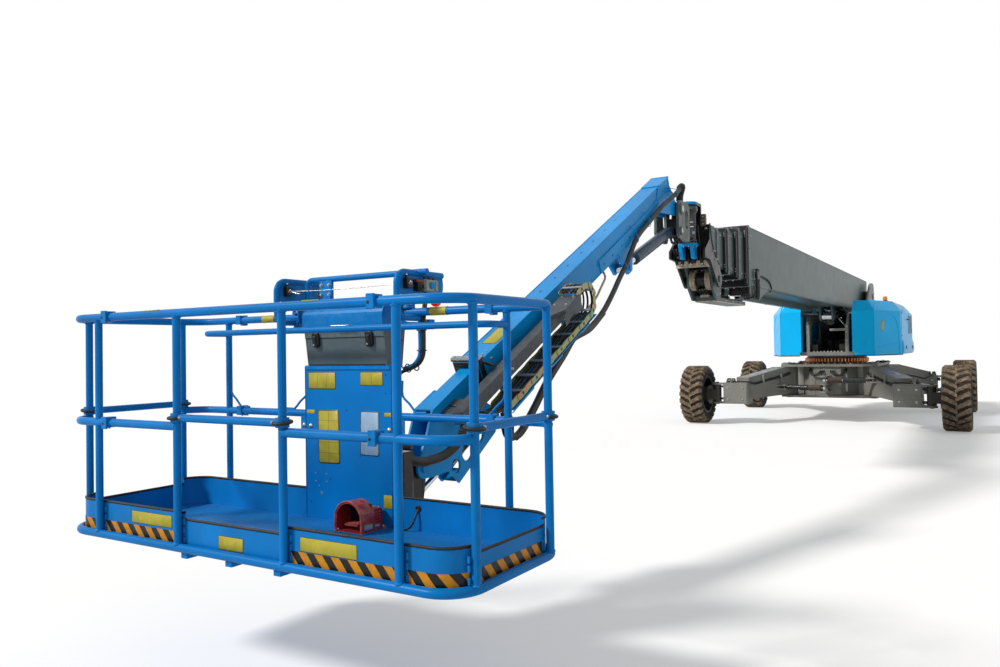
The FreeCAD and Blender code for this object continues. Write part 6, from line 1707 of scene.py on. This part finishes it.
def base_details():
    """Welds, the hose clamp and its pipe, fittings under the mouth, straps and the rear plate."""
    trim = Piece("boom_trim", "boom", BOOM, 30)
    dark = Piece("boom_fittings", "boom", BLACK, 30)
    bolt = Piece("boom_bolts", "boom", STEEL, 30)
    hose = Piece("boom_hoses", "boom", HOSE, 60)
    for sy in (1, -1):
        trim.tube([(-2.98, sy * 0.2505, 2.310), (7.98, sy * 0.2505, 2.310)], 0.0045, 8, 1)
        trim.tube([(-2.98, sy * 0.2505, 3.052), (7.98, sy * 0.2505, 3.052)], 0.0035, 8, 1)
        trim.prism([(7.955, 2.345), (7.66, 2.345), (7.62, 2.308), (7.955, 2.308)],
                   sy * 0.006, upright(sy * 0.250), 0.002)
        for x in (6.99, 7.20, 7.40, 7.60, 7.73):
            bolt.bolt((x, sy * 0.250, 2.322), (0, sy, 0), 0.018)
    plate = Piece("clamp_plate", "boom", PALE_GREY_AND_LIP_HIGHLIGHT, 30)
    plate.block((7.60, 0.250, 2.385), (7.80, 0.2565, 2.525), edge=0.003)
    for x in (7.62, 7.78):
        for z in (2.405, 2.505):
            bolt.bolt((x, 0.2565, z), LEFT, 0.016)
    for x in (7.660, 7.740):
        dark.block((x - 0.030, 0.256, 2.395), (x + 0.030, 0.292, 2.515), edge=0.008)
        dark.rod((x, 0.274, 2.515), (x, 0.274, 2.540), 0.016, 14)
        hose.tube([(x, 0.274, 2.400), (x, 0.275, 2.330), (x - 0.01, 0.272, 2.250), (x - 0.03, 0.262, 2.170),
                   (x - 0.10, 0.225, 2.155), (x - 0.22, 0.180, 2.200)], 0.015, 10, 6)
    hose.tube([(7.62, 0.262, 2.470), (7.45, 0.266, 2.462), (7.15, 0.264, 2.445), (6.95, 0.258, 2.400),
               (6.86, 0.252, 2.330), (6.80, 0.215, 2.285)], 0.010, 8, 6)
    for x0, x1, y0, y1, z0, z1 in ((7.93, 8.03, 0.150, 0.252, 2.195, 2.296),
                                   (7.80, 7.92, 0.110, 0.235, 2.175, 2.290),
                                   (7.86, 8.02, -0.235, -0.110, 2.190, 2.296),
                                   (7.55, 7.75, -0.09, 0.09, 2.205, 2.300)):
        dark.block((x0, y0, z0), (x1, y1, z1), edge=0.010)
    for y in (0.175, 0.205, 0.232):
        dark.rod((7.98, y, 2.150), (7.98, y, 2.200), 0.012, 12)
        hose.tube([(7.98, y, 2.155), (7.965, y, 2.145), (7.88, y * 0.96, 2.150), (7.70, y * 0.9, 2.185),
                   (7.40, y * 0.8, 2.215), (7.10, y * 0.7, 2.260)], 0.010, 8, 6)
    for y in (0.165, 0.235, -0.165, -0.235):
        hose.tube([(-1.70, y, 2.262), (-1.30, y, 2.215), (-0.60, y, 2.185), (0.10, y, 2.200),
                   (0.65, y, 2.262)], 0.034, 12, 6)
        hose.tube([(-1.72, y, 2.262), (-1.35, y, 2.140), (-0.60, y, 2.095), (0.15, y, 2.120),
                   (0.72, y, 2.262)], 0.036, 12, 6)
    rear = Piece("boom_rear_plate", "boom", BLACK, 30)
    rear.block((-3.012, -0.190, 2.400), (-2.998, 0.190, 2.960), edge=0.004)
    for y in (-0.165, 0.0, 0.165):
        for z in (2.43, 2.68, 2.93):
            bolt.bolt((-3.012, y, z), BEHIND, 0.022)
    for x in (-2.2, -0.6, 1.2, 3.0, 4.8, 6.4):
        bolt.bolt((x, 0.0, 3.060), UP, 0.030)
        trim.lathe([(0, 0), (0.045, 0), (0.045, 0.004), (0.038, 0.007), (0, 0.007)],
                   Matrix.Translation((x, 0, 3.0598)), 24)
        dark.block((x + 0.30, -0.2520, 2.200), (x + 0.35, -0.1730, 2.207), edge=0.002)


for lip in LIPS:
    lip_details(*lip)
base_details()


# --------------------------------------------------- turntable, hoods and chassis

SEAM = Finish("seam_rubber", (0.03, 0.035, 0.04), 0.6).vary(0.15, 20.0).bump(300.0, 0.0003).done()
STRIPE = Finish("sticker_red", (0.62, 0.13, 0.11), 0.4).vary(0.08, 16.0).dust(0.15).bump(700.0, 0.0001).done()
NOSE_W, SIDE_Y, HOOD_Z, SHOULDER, ROOF = 0.88, 1.25, 1.32, 2.20, 2.41
PIN_X, PIN_Y = 0.85, 0.80                    # a leg's pin, from the slew axis
CHEEK = Vector((0.3324, 0.9431, 0)).normalized()


def on_cheek(s, sy, z):
    """A point s metres back from the front edge of a hood's slanted cheek."""
    return Vector((1.2 - CHEEK.y * s, sy * (NOSE_W + CHEEK.x * s), z))


def hood_details(sy, side):
    """Seam, lower bulge, ribs, vents, latches, edge lines, label and grip of one hood."""
    cover = f"{side}_cover"
    seam = Piece(f"hood_seam_{side}", "turntable", SEAM, 30)
    seam.prism([(1.205, HOOD_Z + 0.012), (1.2535, HOOD_Z + 0.012), (1.2535, SHOULDER + 0.002),
                (1.083, ROOF + 0.0035), (0.52, ROOF + 0.0035), (0.52, ROOF - 0.038), (1.062, ROOF - 0.038),
                (1.205, SHOULDER - 0.014)], 0.028, across(-0.029, 1, sy), 0.002)
    skirt = Piece(f"hood_skirt_{side}", cover, BLUE_HOOD_PAINTED_SUNLIGHT, 30)
    profile = [(0, 1.335), (0.030, 1.350), (0.040, 1.420), (0.034, 1.545), (0.018, 1.600), (0, 1.625)]
    rows = []
    for x, scale in ((-0.045, 0.0), (-0.090, 0.85), (-0.140, 1.0), (-2.43, 1.0), (-2.50, 0.8), (-2.54, 0.0)):
        rows.append([(x, sy * (SIDE_Y - 0.001 + d * scale), z) for d, z in profile])
    verts = [v for row in rows for v in row]
    n = len(profile)
    skirt.mesh(verts, [[r * n + k, r * n + k + 1, (r + 1) * n + k + 1, (r + 1) * n + k]
                       for r in range(len(rows) - 1) for k in range(n - 1)])
    rib = Piece(f"hood_ribs_{side}", cover, BLUE_HOOD_PAINTED_SUNLIGHT, 30)
    for z in (1.70, 2.185):
        rib.prism([(-2.45, z - 0.016), (-0.10, z - 0.016), (-0.085, z), (-0.10, z + 0.016),
                   (-2.45, z + 0.016), (-2.465, z)], 0.008, upright(sy * (SIDE_Y - 0.0005), sy), 0.004)
    vents = Piece(f"hood_vents_{side}", cover, PLASTIC, 30)
    for k in range(11):
        z = 1.78 + 0.033 * k
        vents.block((-2.30, sy * 1.2495, z), (-1.62, sy * 1.2565, z + 0.016), edge=0.002)
    vents.block((-2.33, sy * 1.2490, 1.765), (-1.59, sy * 1.2515, 2.155), edge=0.001)
    for x in (-2.335, -1.585):
        rib.block((x - 0.012, sy * 1.2495, 1.755), (x + 0.012, sy * 1.259, 2.165), edge=0.003)
    for z in (1.755, 2.165):
        rib.block((-2.347, sy * 1.2495, z - 0.010), (-1.573, sy * 1.259, z + 0.010), edge=0.003)
    latch = Piece(f"hood_latches_{side}", cover, PLASTIC, 30)
    metal = Piece(f"hood_latch_pins_{side}", cover, STEEL, 30)
    for x in (-0.55, -2.05):
        latch.block((x - 0.075, sy * 1.286, 1.415), (x + 0.075, sy * 1.294, 1.495), edge=0.003)
        latch.block((x - 0.050, sy * 1.290, 1.445), (x + 0.050, sy * 1.302, 1.475), edge=0.004)
        metal.lathe([(0, 0), (0.011, 0), (0.010, 0.005), (0, 0.006)],
                    spot((x + 0.058, sy * 1.293, 1.440), (0, sy, 0)), 14)
    nose = Piece(f"hood_nose_lines_{side}", "turntable", BLUE_HOOD_PAINTED_SUNLIGHT, 40)
    arch = [(1.053, 1.345), (1.028, 1.60), (0.983, 1.86), (0.893, 2.03), (0.753, 2.12), (0.563, 2.15)]
    for points, r in ((arch, 0.007), ([(1.093, 1.55), (0.713, 1.545), (0.313, 1.50), (0.033, 1.46)], 0.006)):
        nose.tube([on_cheek(s, sy, z) for s, z in points], r, 8, 5)
    nose.block((1.196, sy * 0.505, 1.345), (1.2035, sy * 0.86, 1.365), edge=0.002)
    nose.tube([(1.198, sy * NOSE_W, 1.335), (1.198, sy * NOSE_W, 2.19), (1.01, sy * (NOSE_W - 0.03), 2.395)],
              0.008, 8, 1)
    rubber = Piece(f"hood_base_rubber_{side}", "turntable", RUBBER, 40)
    rubber.tube([(1.195, sy * 0.50, 1.318), (1.197, sy * 0.86, 1.318), (1.17, sy * 0.888, 1.318),
                 (0.17, sy * 1.240, 1.318), (0.02, sy * 1.245, 1.318)], 0.010, 8, 3)
    face = Piece(f"hood_label_{side}", "turntable", LABEL, 60)
    line = Piece(f"hood_label_edge_{side}", "turntable", LABEL_EDGE, 60)
    at = on_cheek(0.34 if sy > 0 else 0.50, sy, 1.90)
    label(face, line, at, (CHEEK.x, sy * CHEEK.y, 0), (-CHEEK.y * sy, CHEEK.x, 0), 0.13, 0.20)
    # A 1 mm speck that shows nothing, left in because the shapes were tested with it
    line.block(at - Vector((0.03, 0.03, 0.001)), at - Vector((0.029, 0.029, 0)), edge=0.0001)
    grip = Piece(f"hood_grips_{side}", cover, PLASTIC, 40)
    grip.tube([(-1.42, sy * 1.250, 2.06), (-1.42, sy * 1.290, 2.06), (-1.22, sy * 1.290, 2.06),
               (-1.22, sy * 1.250, 2.06)], 0.010, 8, 3)


def beacon():
    """The amber lamp on the left hood's roof, with its ribbed lens."""
    lamp = Piece("beacon_lens", "turntable", AMBER, 60)
    base = Piece("beacon_base", "turntable", PLASTIC, 60)
    m = spot((0.075, 0.97, ROOF - 0.0005)) @ Matrix.Scale(0.72, 4)
    base.lathe([(0, 0), (0.075, 0), (0.075, 0.012), (0.060, 0.022), (0.060, 0.034), (0, 0.034)], m, 28)
    lamp.lathe([(0.056, 0.034), (0.060, 0.050), (0.058, 0.115), (0.046, 0.142), (0.022, 0.152), (0, 0.153)],
               m, 28)
    for k in range(9):
        lamp.ring(m @ Matrix.Translation((0, 0, 0.048 + 0.008 * k)), 0.0585, 0.0022, 28, 6)


def turntable_details():
    """Posts, bolts, hoses, tanks and plates on the turntable."""
    posts = Piece("table_posts", "turntable", CHASSIS, 30)
    for sy in (1, -1):
        posts.block((1.066, sy * 0.335, 1.388), (1.092, sy * 0.402, 1.945), edge=0.004)
        for x in (-0.9, -1.9):
            posts.block((x - 0.02, sy * 0.398, 1.40), (x + 0.02, sy * 0.440, 2.05), edge=0.004)
        posts.tube([(1.075, sy * 0.381, 1.95), (0.93, sy * 0.381, 2.142), (0.2, sy * 0.381, 2.170),
                    (-1.5, sy * 0.381, 2.232), (-2.45, sy * 0.381, 2.932)], 0.030, 8, 1)
    posts.block((1.050, 0.05, 1.815), (1.090, 0.395, 1.865), edge=0.004)
    posts.block((1.030, -0.516, 1.386), (1.098, 0.516, 1.394), edge=0.002)
    bolts = Piece("table_bolts", "turntable", STEEL, 30)
    for k in range(9):
        bolts.bolt((1.070, -0.26 + 0.065 * k, 1.393), UP, 0.030)
    for sy in (1, -1):
        for z in (1.45, 1.62, 1.79, 1.90):
            bolts.bolt((1.092, sy * 0.368, z), AHEAD, 0.018)
        for x, z in ((-2.8, 2.84), (-2.66, 2.70), (-2.94, 2.55), (-2.66, 2.42)):
            bolts.bolt((x, sy * 0.400, z), (0, sy, 0), 0.026)
        for dx, dz in circle(6, 0.085, 0.25):
            bolts.bolt((-2.8 + dx, sy * 0.425, 2.68 + dz), (0, sy, 0), 0.016)
    dark = Piece("table_pipes", "turntable", BLACK, 60)
    dark.tube([(1.13, -0.62, 2.150), (1.13, -0.50, 2.155), (1.13, -0.38, 2.150), (1.125, -0.325, 2.110),
               (1.12, -0.318, 2.02)], 0.030, 14, 6)
    dark.tube([(1.13, -0.62, 2.225), (1.12, -0.40, 2.220), (1.04, -0.30, 2.200)], 0.014, 10, 6)
    hoses = Piece("table_hoses", "turntable", HOSE, 60)
    rnd = random.Random(4)
    for k in range(9):
        y = -0.16 + 0.04 * k
        j = rnd.uniform(-0.03, 0.03)
        hoses.tube([(0.18 + j, y * 0.6, 1.39), (0.20 + j, y * 0.8, 1.50 + j), (0.05 + j, y, 1.61),
                    (-0.30 + j, y * 1.2, 1.64 + j / 2), (-0.80, y * 1.4, 1.56),
                    (-1.30 + j, y * 1.5, 1.47 - j / 2), (-1.70, y * 1.5, 1.42), (-2.0, y * 1.5, 1.400)],
                   0.014, 8, 5)
    swivel = Piece("rotary_swivel", "turntable", BLACK, 40)
    swivel.lathe([(0, 1.388), (0.11, 1.388), (0.11, 1.41), (0.08, 1.42), (0.08, 1.53), (0.09, 1.54),
                  (0.09, 1.57), (0, 1.58)], steps=28)
    for sy in (1, -1):
        swivel.block((-0.40, sy * 0.22, 1.390), (0.45, sy * 0.34, 1.66), edge=0.012)
        swivel.block((0.52, sy * 0.20, 1.390), (0.96, sy * 0.34, 1.55), edge=0.012)
    tank = Piece("side_tanks", "turntable", DARK_FRAME, 40)
    for sy in (1, -1):
        tank.block((0.25, sy * 0.62, 1.376), (0.90, sy * 0.86, 1.90), edge=0.03)
        tank.block((-2.40, sy * 0.62, 1.376), (-2.02, sy * 1.05, 1.88), edge=0.03)


def engine_details():
    """Ribs, pipes and a filter on the engine block, seen when its cover is open."""
    dark = Piece("engine_ribs", "turntable", BLACK, 30)
    for k in range(9):
        x = -1.82 + 0.155 * k
        dark.block((x, 1.097, 1.42), (x + 0.05, 1.116, 2.05), edge=0.006)
    dark.lathe([(0, 0), (0.10, 0), (0.11, 0.02), (0.11, 0.34), (0.09, 0.38), (0, 0.38)],
               spot((-1.5, 0.83, 2.245), AHEAD), 24)
    pipe = Piece("engine_pipes", "turntable", COPPER, 60)
    for d in (0.0, 0.05, 0.10):
        pipe.tube([(-0.50, 0.75 + d, 1.50), (-0.44, 0.75 + d, 1.56), (-0.44, 0.80 + d, 1.85 + d),
                   (-0.55, 0.86, 2.00 + d), (-0.80, 0.90, 2.165)], 0.016, 10, 6)


def counterweight_details():
    """Bolts, lifting eyes, a trim line and the two red reflectors on the counterweight."""
    bolts = Piece("weight_bolts", "turntable", STEEL, 30)
    trim = Piece("weight_trim", "turntable", DARK_FRAME, 30)
    for y in (-0.75, -0.25, 0.25, 0.75):
        for z in (1.60, 1.95):
            bolts.bolt((-3.45, y, z), BEHIND, 0.050)
    for sy in (1, -1):
        for x in (-3.15, -2.85):
            bolts.bolt((x, sy * 1.15, 1.78), (0, sy, 0), 0.045)
        trim.tube([(-3.05, sy * 0.62, 2.178), (-3.05, sy * 0.62, 2.235), (-3.05, sy * 0.78, 2.235),
                   (-3.05, sy * 0.78, 2.178)], 0.014, 10, 4)
    trim.block((-3.4535, -0.80, 1.745), (-3.4495, 0.80, 1.775), edge=0.001)
    for sy in (1, -1):
        # The reflectors' glow is painted light
        lamp = Piece(f"tail_reflector_{'left' if sy > 0 else 'right'}", "turntable", RED_LENS, 40)
        lamp.lathe([(0, 0.006), (0.038, 0.005), (0.042, 0)], spot((-3.45, sy * 0.88, 1.50), BEHIND), 24)


def chassis_details():
    """Ring gear teeth, deck bolts, pin caps and brackets."""
    # The teeth's bright copper is a painted highlight
    teeth = Piece("ring_teeth", "chassis", GEAR_TEETH_PAINTED_HIGHLIGHT, 30)
    count = 60
    for k in range(count):
        m = Matrix.Rotation(2 * math.pi * k / count, 4, "Z")
        teeth.prism([(-0.0190, 0.597), (0.0190, 0.597), (0.0100, 0.628), (-0.0100, 0.628)], 0.072,
                    m @ Matrix.Translation((0, 0, 1.186)), 0.002)
    bolts = Piece("deck_bolts", "chassis", STEEL, 30)
    for x, y in circle(36, 0.668, 0.5):
        bolts.bolt((x, y, 1.147), UP, 0.026)
    caps = Piece("leg_pin_caps", "chassis", CHASSIS, 40)
    grease = Piece("grease_points", "chassis", STEEL, 40)
    for ex, sy, _, _ in CORNERS:
        x, y = ex * PIN_X, sy * PIN_Y
        caps.lathe([(0.058, 0.0), (0.150, 0.0), (0.150, 0.016), (0.140, 0.024), (0.075, 0.024),
                    (0.070, 0.032), (0, 0.032)], spot((x, y, 1.147)), 32)
        for dx, dy in circle(6, 0.112):
            bolts.bolt((x + dx, y + dy, 1.171), UP, 0.020)
        grease.rod((x, y, 1.178), (x, y, 1.200), 0.010, 12)
    rims = Piece("hub_edges", "chassis", CHASSIS, 30)
    for ex in (1, -1):
        for sy in (1, -1):
            rims.block((ex * 1.148, sy * 0.235, 0.525), (ex * 1.160, sy * 0.250, 1.095), edge=0.003)
            rims.block((ex * 1.05, sy * 0.300, 0.60), (ex * 1.07, sy * 0.36, 1.02), edge=0.003)
        rims.prism([(-0.14, 0.86), (0.14, 0.86), (0.14, 1.0), (0.08, 1.06), (-0.08, 1.06), (-0.14, 1.0)],
                   0.008, across(ex * 1.150, ex, ex), 0.003)
    hoses = Piece("hub_hoses", "chassis", HOSE, 60)
    for ex, sy, _, _ in CORNERS:
        for d in (0.0, 0.035, 0.07):
            hoses.tube([(ex * 1.155, sy * (0.06 + d), 1.02), (ex * 1.21, sy * (0.08 + d), 0.98),
                        (ex * 1.23, sy * (0.18 + d), 0.93), (ex * 1.20, sy * (0.27 + d / 2), 0.95),
                        (ex * 1.14, sy * (0.31 + d / 2), 1.00), (ex * 1.04, sy * (0.31 + d / 2), 1.06)],
                       0.013, 8, 5)
    orange = Piece("orange_caps", "chassis", AMBER, 40)
    for ex in (1, -1):
        for y in (-0.42, 0.42):
            # The caps' glow is painted light
            orange.rod((ex * 1.10, y, 1.146), (ex * 1.10, y, 1.172), 0.016, 14)


def leg_details(ex, sy, end, side):
    """The axle box's cover plate, its bolts, the sticker, hoses and the rod's wrap of one leg."""
    corner, body = f"{end}_{side}", f"leg_{end}_{side}"
    plate = Piece(f"axle_plates_{corner}", body, CHASSIS, 30)
    bolts = Piece(f"axle_bolts_{corner}", body, STEEL, 30)
    for x, way in ((2.33, 1), (1.93, -1)):
        plate.prism([(1.305, 0.415), (1.745, 0.415), (1.745, 0.795), (1.305, 0.795)], 0.008,
                    across(ex * x, ex * way, sy), 0.003)
        for y in (1.385, 1.665):
            for z in (0.495, 0.715):
                bolts.bolt((ex * (x + way * 0.008), sy * y, z), (ex * way, 0, 0), 0.028)
    plate.block((ex * 1.93, sy * 1.292, 0.808), (ex * 2.33, sy * 1.758, 0.816), edge=0.003)
    mirror = Matrix.Diagonal((ex, sy, 1, 1))
    pin = Matrix.Translation((ex * PIN_X, sy * PIN_Y, 0)) @ mirror
    turn = pin @ Matrix.Rotation(math.radians(30), 4, "Z")
    for y in (-0.161, 0.161):
        plate.tube([(0.27, y, 1.092), (1.32, y, 0.906)], 0.006, 8, 1, turn)
        plate.tube([(0.20, y, 0.530), (0.46, y, 0.530), (1.30, y, 0.490)], 0.006, 8, 1, turn)
    slope = Vector((1.07, 0, -0.187)).normalized()
    up = Vector((0.187, 0, 1.07)).normalized()
    where = Vector((0.26, 0, 1.092)) + slope * 0.62
    white = Piece(f"leg_sticker_{corner}", body, WHITE_LABEL, 60)
    red = Piece(f"leg_sticker_red_{corner}", body, STRIPE, 60)
    m = turn @ spot(where, up, slope)
    white.prism(oblong(0.20, 0.075), 0.0014, m, 0.0004)
    red.prism([(-0.14, -0.035), (0.10, -0.035), (0.14, 0.030), (-0.08, 0.030)], 0.0022, m, 0.0004)
    hose = Piece(f"leg_hoses_{corner}", body, HOSE, 60)
    for k, y in enumerate((-0.175, -0.195, 0.178)):
        hose.tube([(0.16, y * 0.9, 0.99 - 0.03 * k), (0.35, y, 0.94 - 0.03 * k), (0.80, y, 0.86 - 0.02 * k),
                   (1.15, y, 0.80 - 0.02 * k), (1.24, y * 1.15, 0.79), (1.36, y * 1.25, 0.815 + 0.01 * k),
                   (1.48, y * 0.8, 0.835), (1.62, y * 0.3, 0.832)], 0.012, 8, 5, turn)
    for along in (0.45, 0.95):
        plate.block((along - 0.015, -0.212, 0.80), (along + 0.015, -0.160, 0.96), turn, 0.003)
    arm = Piece(f"steer_rams_{corner}", body, BLACK_GLOSS, 40)
    rod = Piece(f"steer_rods_{corner}", body, STEEL, 40)
    for z in (0.48, 0.72):
        arm.rod((ex * 2.10, sy * 1.758, z), (ex * 2.10, sy * 1.815, z), 0.026, 16)
        arm.rod((ex * 2.28, sy * 1.758, z + 0.02), (ex * 2.28, sy * 1.805, z + 0.02), 0.022, 16)
        rod.rod((ex * 2.10, sy * 1.815, z), (ex * 2.10, sy * 1.822, z), 0.016, 16)
    lug, anchor = Vector((ex * 1.32, sy * 0.80, 0)), Vector((ex * 1.55, 0, 0))
    lug.z = anchor.z = 0.84 if sy > 0 else 0.69
    way = (anchor - lug).normalized()
    start, stop = lug + way * 0.515, anchor - way * 0.052
    wrap = Piece(f"rod_wrap_{corner}", f"swing_piston_{corner}", SLEEVE, 60)
    side_way = way.cross(Vector(UP))
    rnd = random.Random(corner)
    points = [start.lerp(stop, k / 7) + side_way * rnd.uniform(-0.002, 0.002) for k in range(8)]
    wrap.tube(points, 0.0550, 20, 3, None, 0.0045, 0.022)
    for p in (start + way * 0.012, stop - way * 0.012):
        wrap.ring(spot(p, way), 0.0555, 0.0045, 24, 8)
    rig.squash(wrap.now(), f"swing_cylinder_{corner}_stroke", way, stop, 0.1)


for ex, sy, end, side in CORNERS:
    leg_details(ex, sy, end, side)
for sy, side in ((1, "left"), (-1, "right")):
    hood_details(sy, side)
beacon()
turntable_details()
engine_details()
counterweight_details()
chassis_details()


for p in Piece.all:
    p.made()


# ------------------------------------------------------------ floor, light, camera

FLOOR_GAIN = 0.26         # the floor's own glow, as the camera sees it
SKY_LEVEL = 0.34          # how strongly the white sky lights matt surfaces
WHITE_FROM, WHITE_BY = 13, 26    # metres from the machine over which the floor fades to white
CAMERA_AT = (18.243, 2.855, 1.554)
CAMERA_YAW, CAMERA_PITCH, CAMERA_ROLL = 31.706, 1.135, -0.934
SENSOR, LENS = 36, 36 * 0.79908


def stage():
    """A pale floor that glows a little for the camera and fades to plain white far off."""
    data = bpy.data.meshes.new("floor")
    data.from_pydata([(-160, -160, 0), (160, -160, 0), (160, 160, 0), (-160, 160, 0)], [], [(0, 1, 2, 3)])
    floor = bpy.data.objects.new("floor", data)
    bpy.context.scene.collection.objects.link(floor)
    m = bpy.data.materials.new("pale_floor")
    m.use_nodes = True
    tree = m.node_tree
    tree.nodes.clear()
    out = tree.nodes.new("ShaderNodeOutputMaterial")
    matt = tree.nodes.new("ShaderNodeBsdfDiffuse")
    matt.inputs["Color"].default_value = (0.80, 0.80, 0.80, 1)
    glow = tree.nodes.new("ShaderNodeEmission")
    seen = tree.nodes.new("ShaderNodeLightPath")
    lift = tree.nodes.new("ShaderNodeAddShader")
    add = tree.nodes.new("ShaderNodeEmission")
    gain = tree.nodes.new("ShaderNodeMath")
    gain.operation = "MULTIPLY"
    gain.inputs[1].default_value = FLOOR_GAIN
    tree.links.new(seen.outputs["Is Camera Ray"], gain.inputs[0])
    tree.links.new(gain.outputs[0], add.inputs["Strength"])
    tree.links.new(matt.outputs[0], lift.inputs[0])
    tree.links.new(add.outputs[0], lift.inputs[1])
    place = tree.nodes.new("ShaderNodeTexCoord")
    far = tree.nodes.new("ShaderNodeVectorMath")
    far.operation = "DISTANCE"
    far.inputs[1].default_value = (6, 0, 0)
    tree.links.new(place.outputs["Object"], far.inputs[0])
    fade = tree.nodes.new("ShaderNodeMapRange")
    fade.inputs["From Min"].default_value = WHITE_FROM
    fade.inputs["From Max"].default_value = WHITE_BY
    tree.links.new(far.outputs["Value"], fade.inputs["Value"])
    mix = tree.nodes.new("ShaderNodeMixShader")
    tree.links.new(fade.outputs["Result"], mix.inputs["Fac"])
    tree.links.new(lift.outputs[0], mix.inputs[1])
    tree.links.new(glow.outputs[0], mix.inputs[2])
    tree.links.new(mix.outputs[0], out.inputs["Surface"])
    data.materials.append(m)
    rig.stage(floor)


def light():
    """A white sky, weaker on matt surfaces than in reflections, with a sun and a soft fill."""
    world = bpy.data.worlds.new("studio")
    bpy.context.scene.world = world
    world.use_nodes = True
    tree = world.node_tree
    back = tree.nodes["Background"]
    back.inputs["Color"].default_value = (1, 1, 1, 1)
    path = tree.nodes.new("ShaderNodeLightPath")
    both = tree.nodes.new("ShaderNodeMath")
    both.operation = "MAXIMUM"
    tree.links.new(path.outputs["Is Glossy Ray"], both.inputs[0])
    tree.links.new(path.outputs["Is Transmission Ray"], both.inputs[1])
    any_ray = tree.nodes.new("ShaderNodeMath")
    any_ray.operation = "MAXIMUM"
    tree.links.new(path.outputs["Is Camera Ray"], any_ray.inputs[0])
    tree.links.new(both.outputs[0], any_ray.inputs[1])
    level = tree.nodes.new("ShaderNodeMapRange")
    level.inputs["To Min"].default_value = SKY_LEVEL
    level.inputs["To Max"].default_value = 1.0
    tree.links.new(any_ray.outputs[0], level.inputs["Value"])
    tree.links.new(level.outputs["Result"], back.inputs["Strength"])

    def sun(name, way, strength, spread, colour=(1, 1, 1)):
        lamp = bpy.data.lights.new(name, "SUN")
        lamp.energy, lamp.angle, lamp.color = strength, math.radians(spread), colour
        thing = bpy.data.objects.new(name, lamp)
        thing.rotation_euler = (-Vector(way)).to_track_quat("Z", "Y").to_euler()
        thing.location = (0, 0, 12)
        bpy.context.scene.collection.objects.link(thing)

    sun("key", (-0.60, 0.54, -0.62), 3.0, 9, (1.0, 0.98, 0.95))
    sun("fill", (-0.55, -0.85, -0.30), 0.40, 60, (0.92, 0.96, 1.0))


def camera():
    """The camera that took the photograph, as solved from it."""
    yaw, pitch, roll = (math.radians(a) for a in (CAMERA_YAW, CAMERA_PITCH, CAMERA_ROLL))
    ahead = Vector((-math.cos(yaw) * math.cos(pitch), -math.sin(yaw) * math.cos(pitch), math.sin(pitch)))
    right = Vector((-math.sin(yaw), math.cos(yaw), 0))
    up = right.cross(ahead)
    right, up = right * math.cos(roll) + up * math.sin(roll), up * math.cos(roll) - right * math.sin(roll)
    m = Matrix((right, up, -ahead)).transposed().to_4x4()
    m.translation = CAMERA_AT
    data = bpy.data.cameras.new("camera")
    data.sensor_width, data.lens = SENSOR, LENS
    data.clip_end = 400
    thing = bpy.data.objects.new("camera", data)
    thing.matrix_world = m
    bpy.context.scene.collection.objects.link(thing)
    bpy.context.scene.camera = thing


stage()
light()
camera()
bpy.context.scene.view_settings.view_transform = "Standard"
with open("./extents.json", "w") as out:
    json.dump({"cad": [list(map(float, p)) for p in CAD_BOX],
               "visual": [list(map(float, p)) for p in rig.bounds()]}, out)
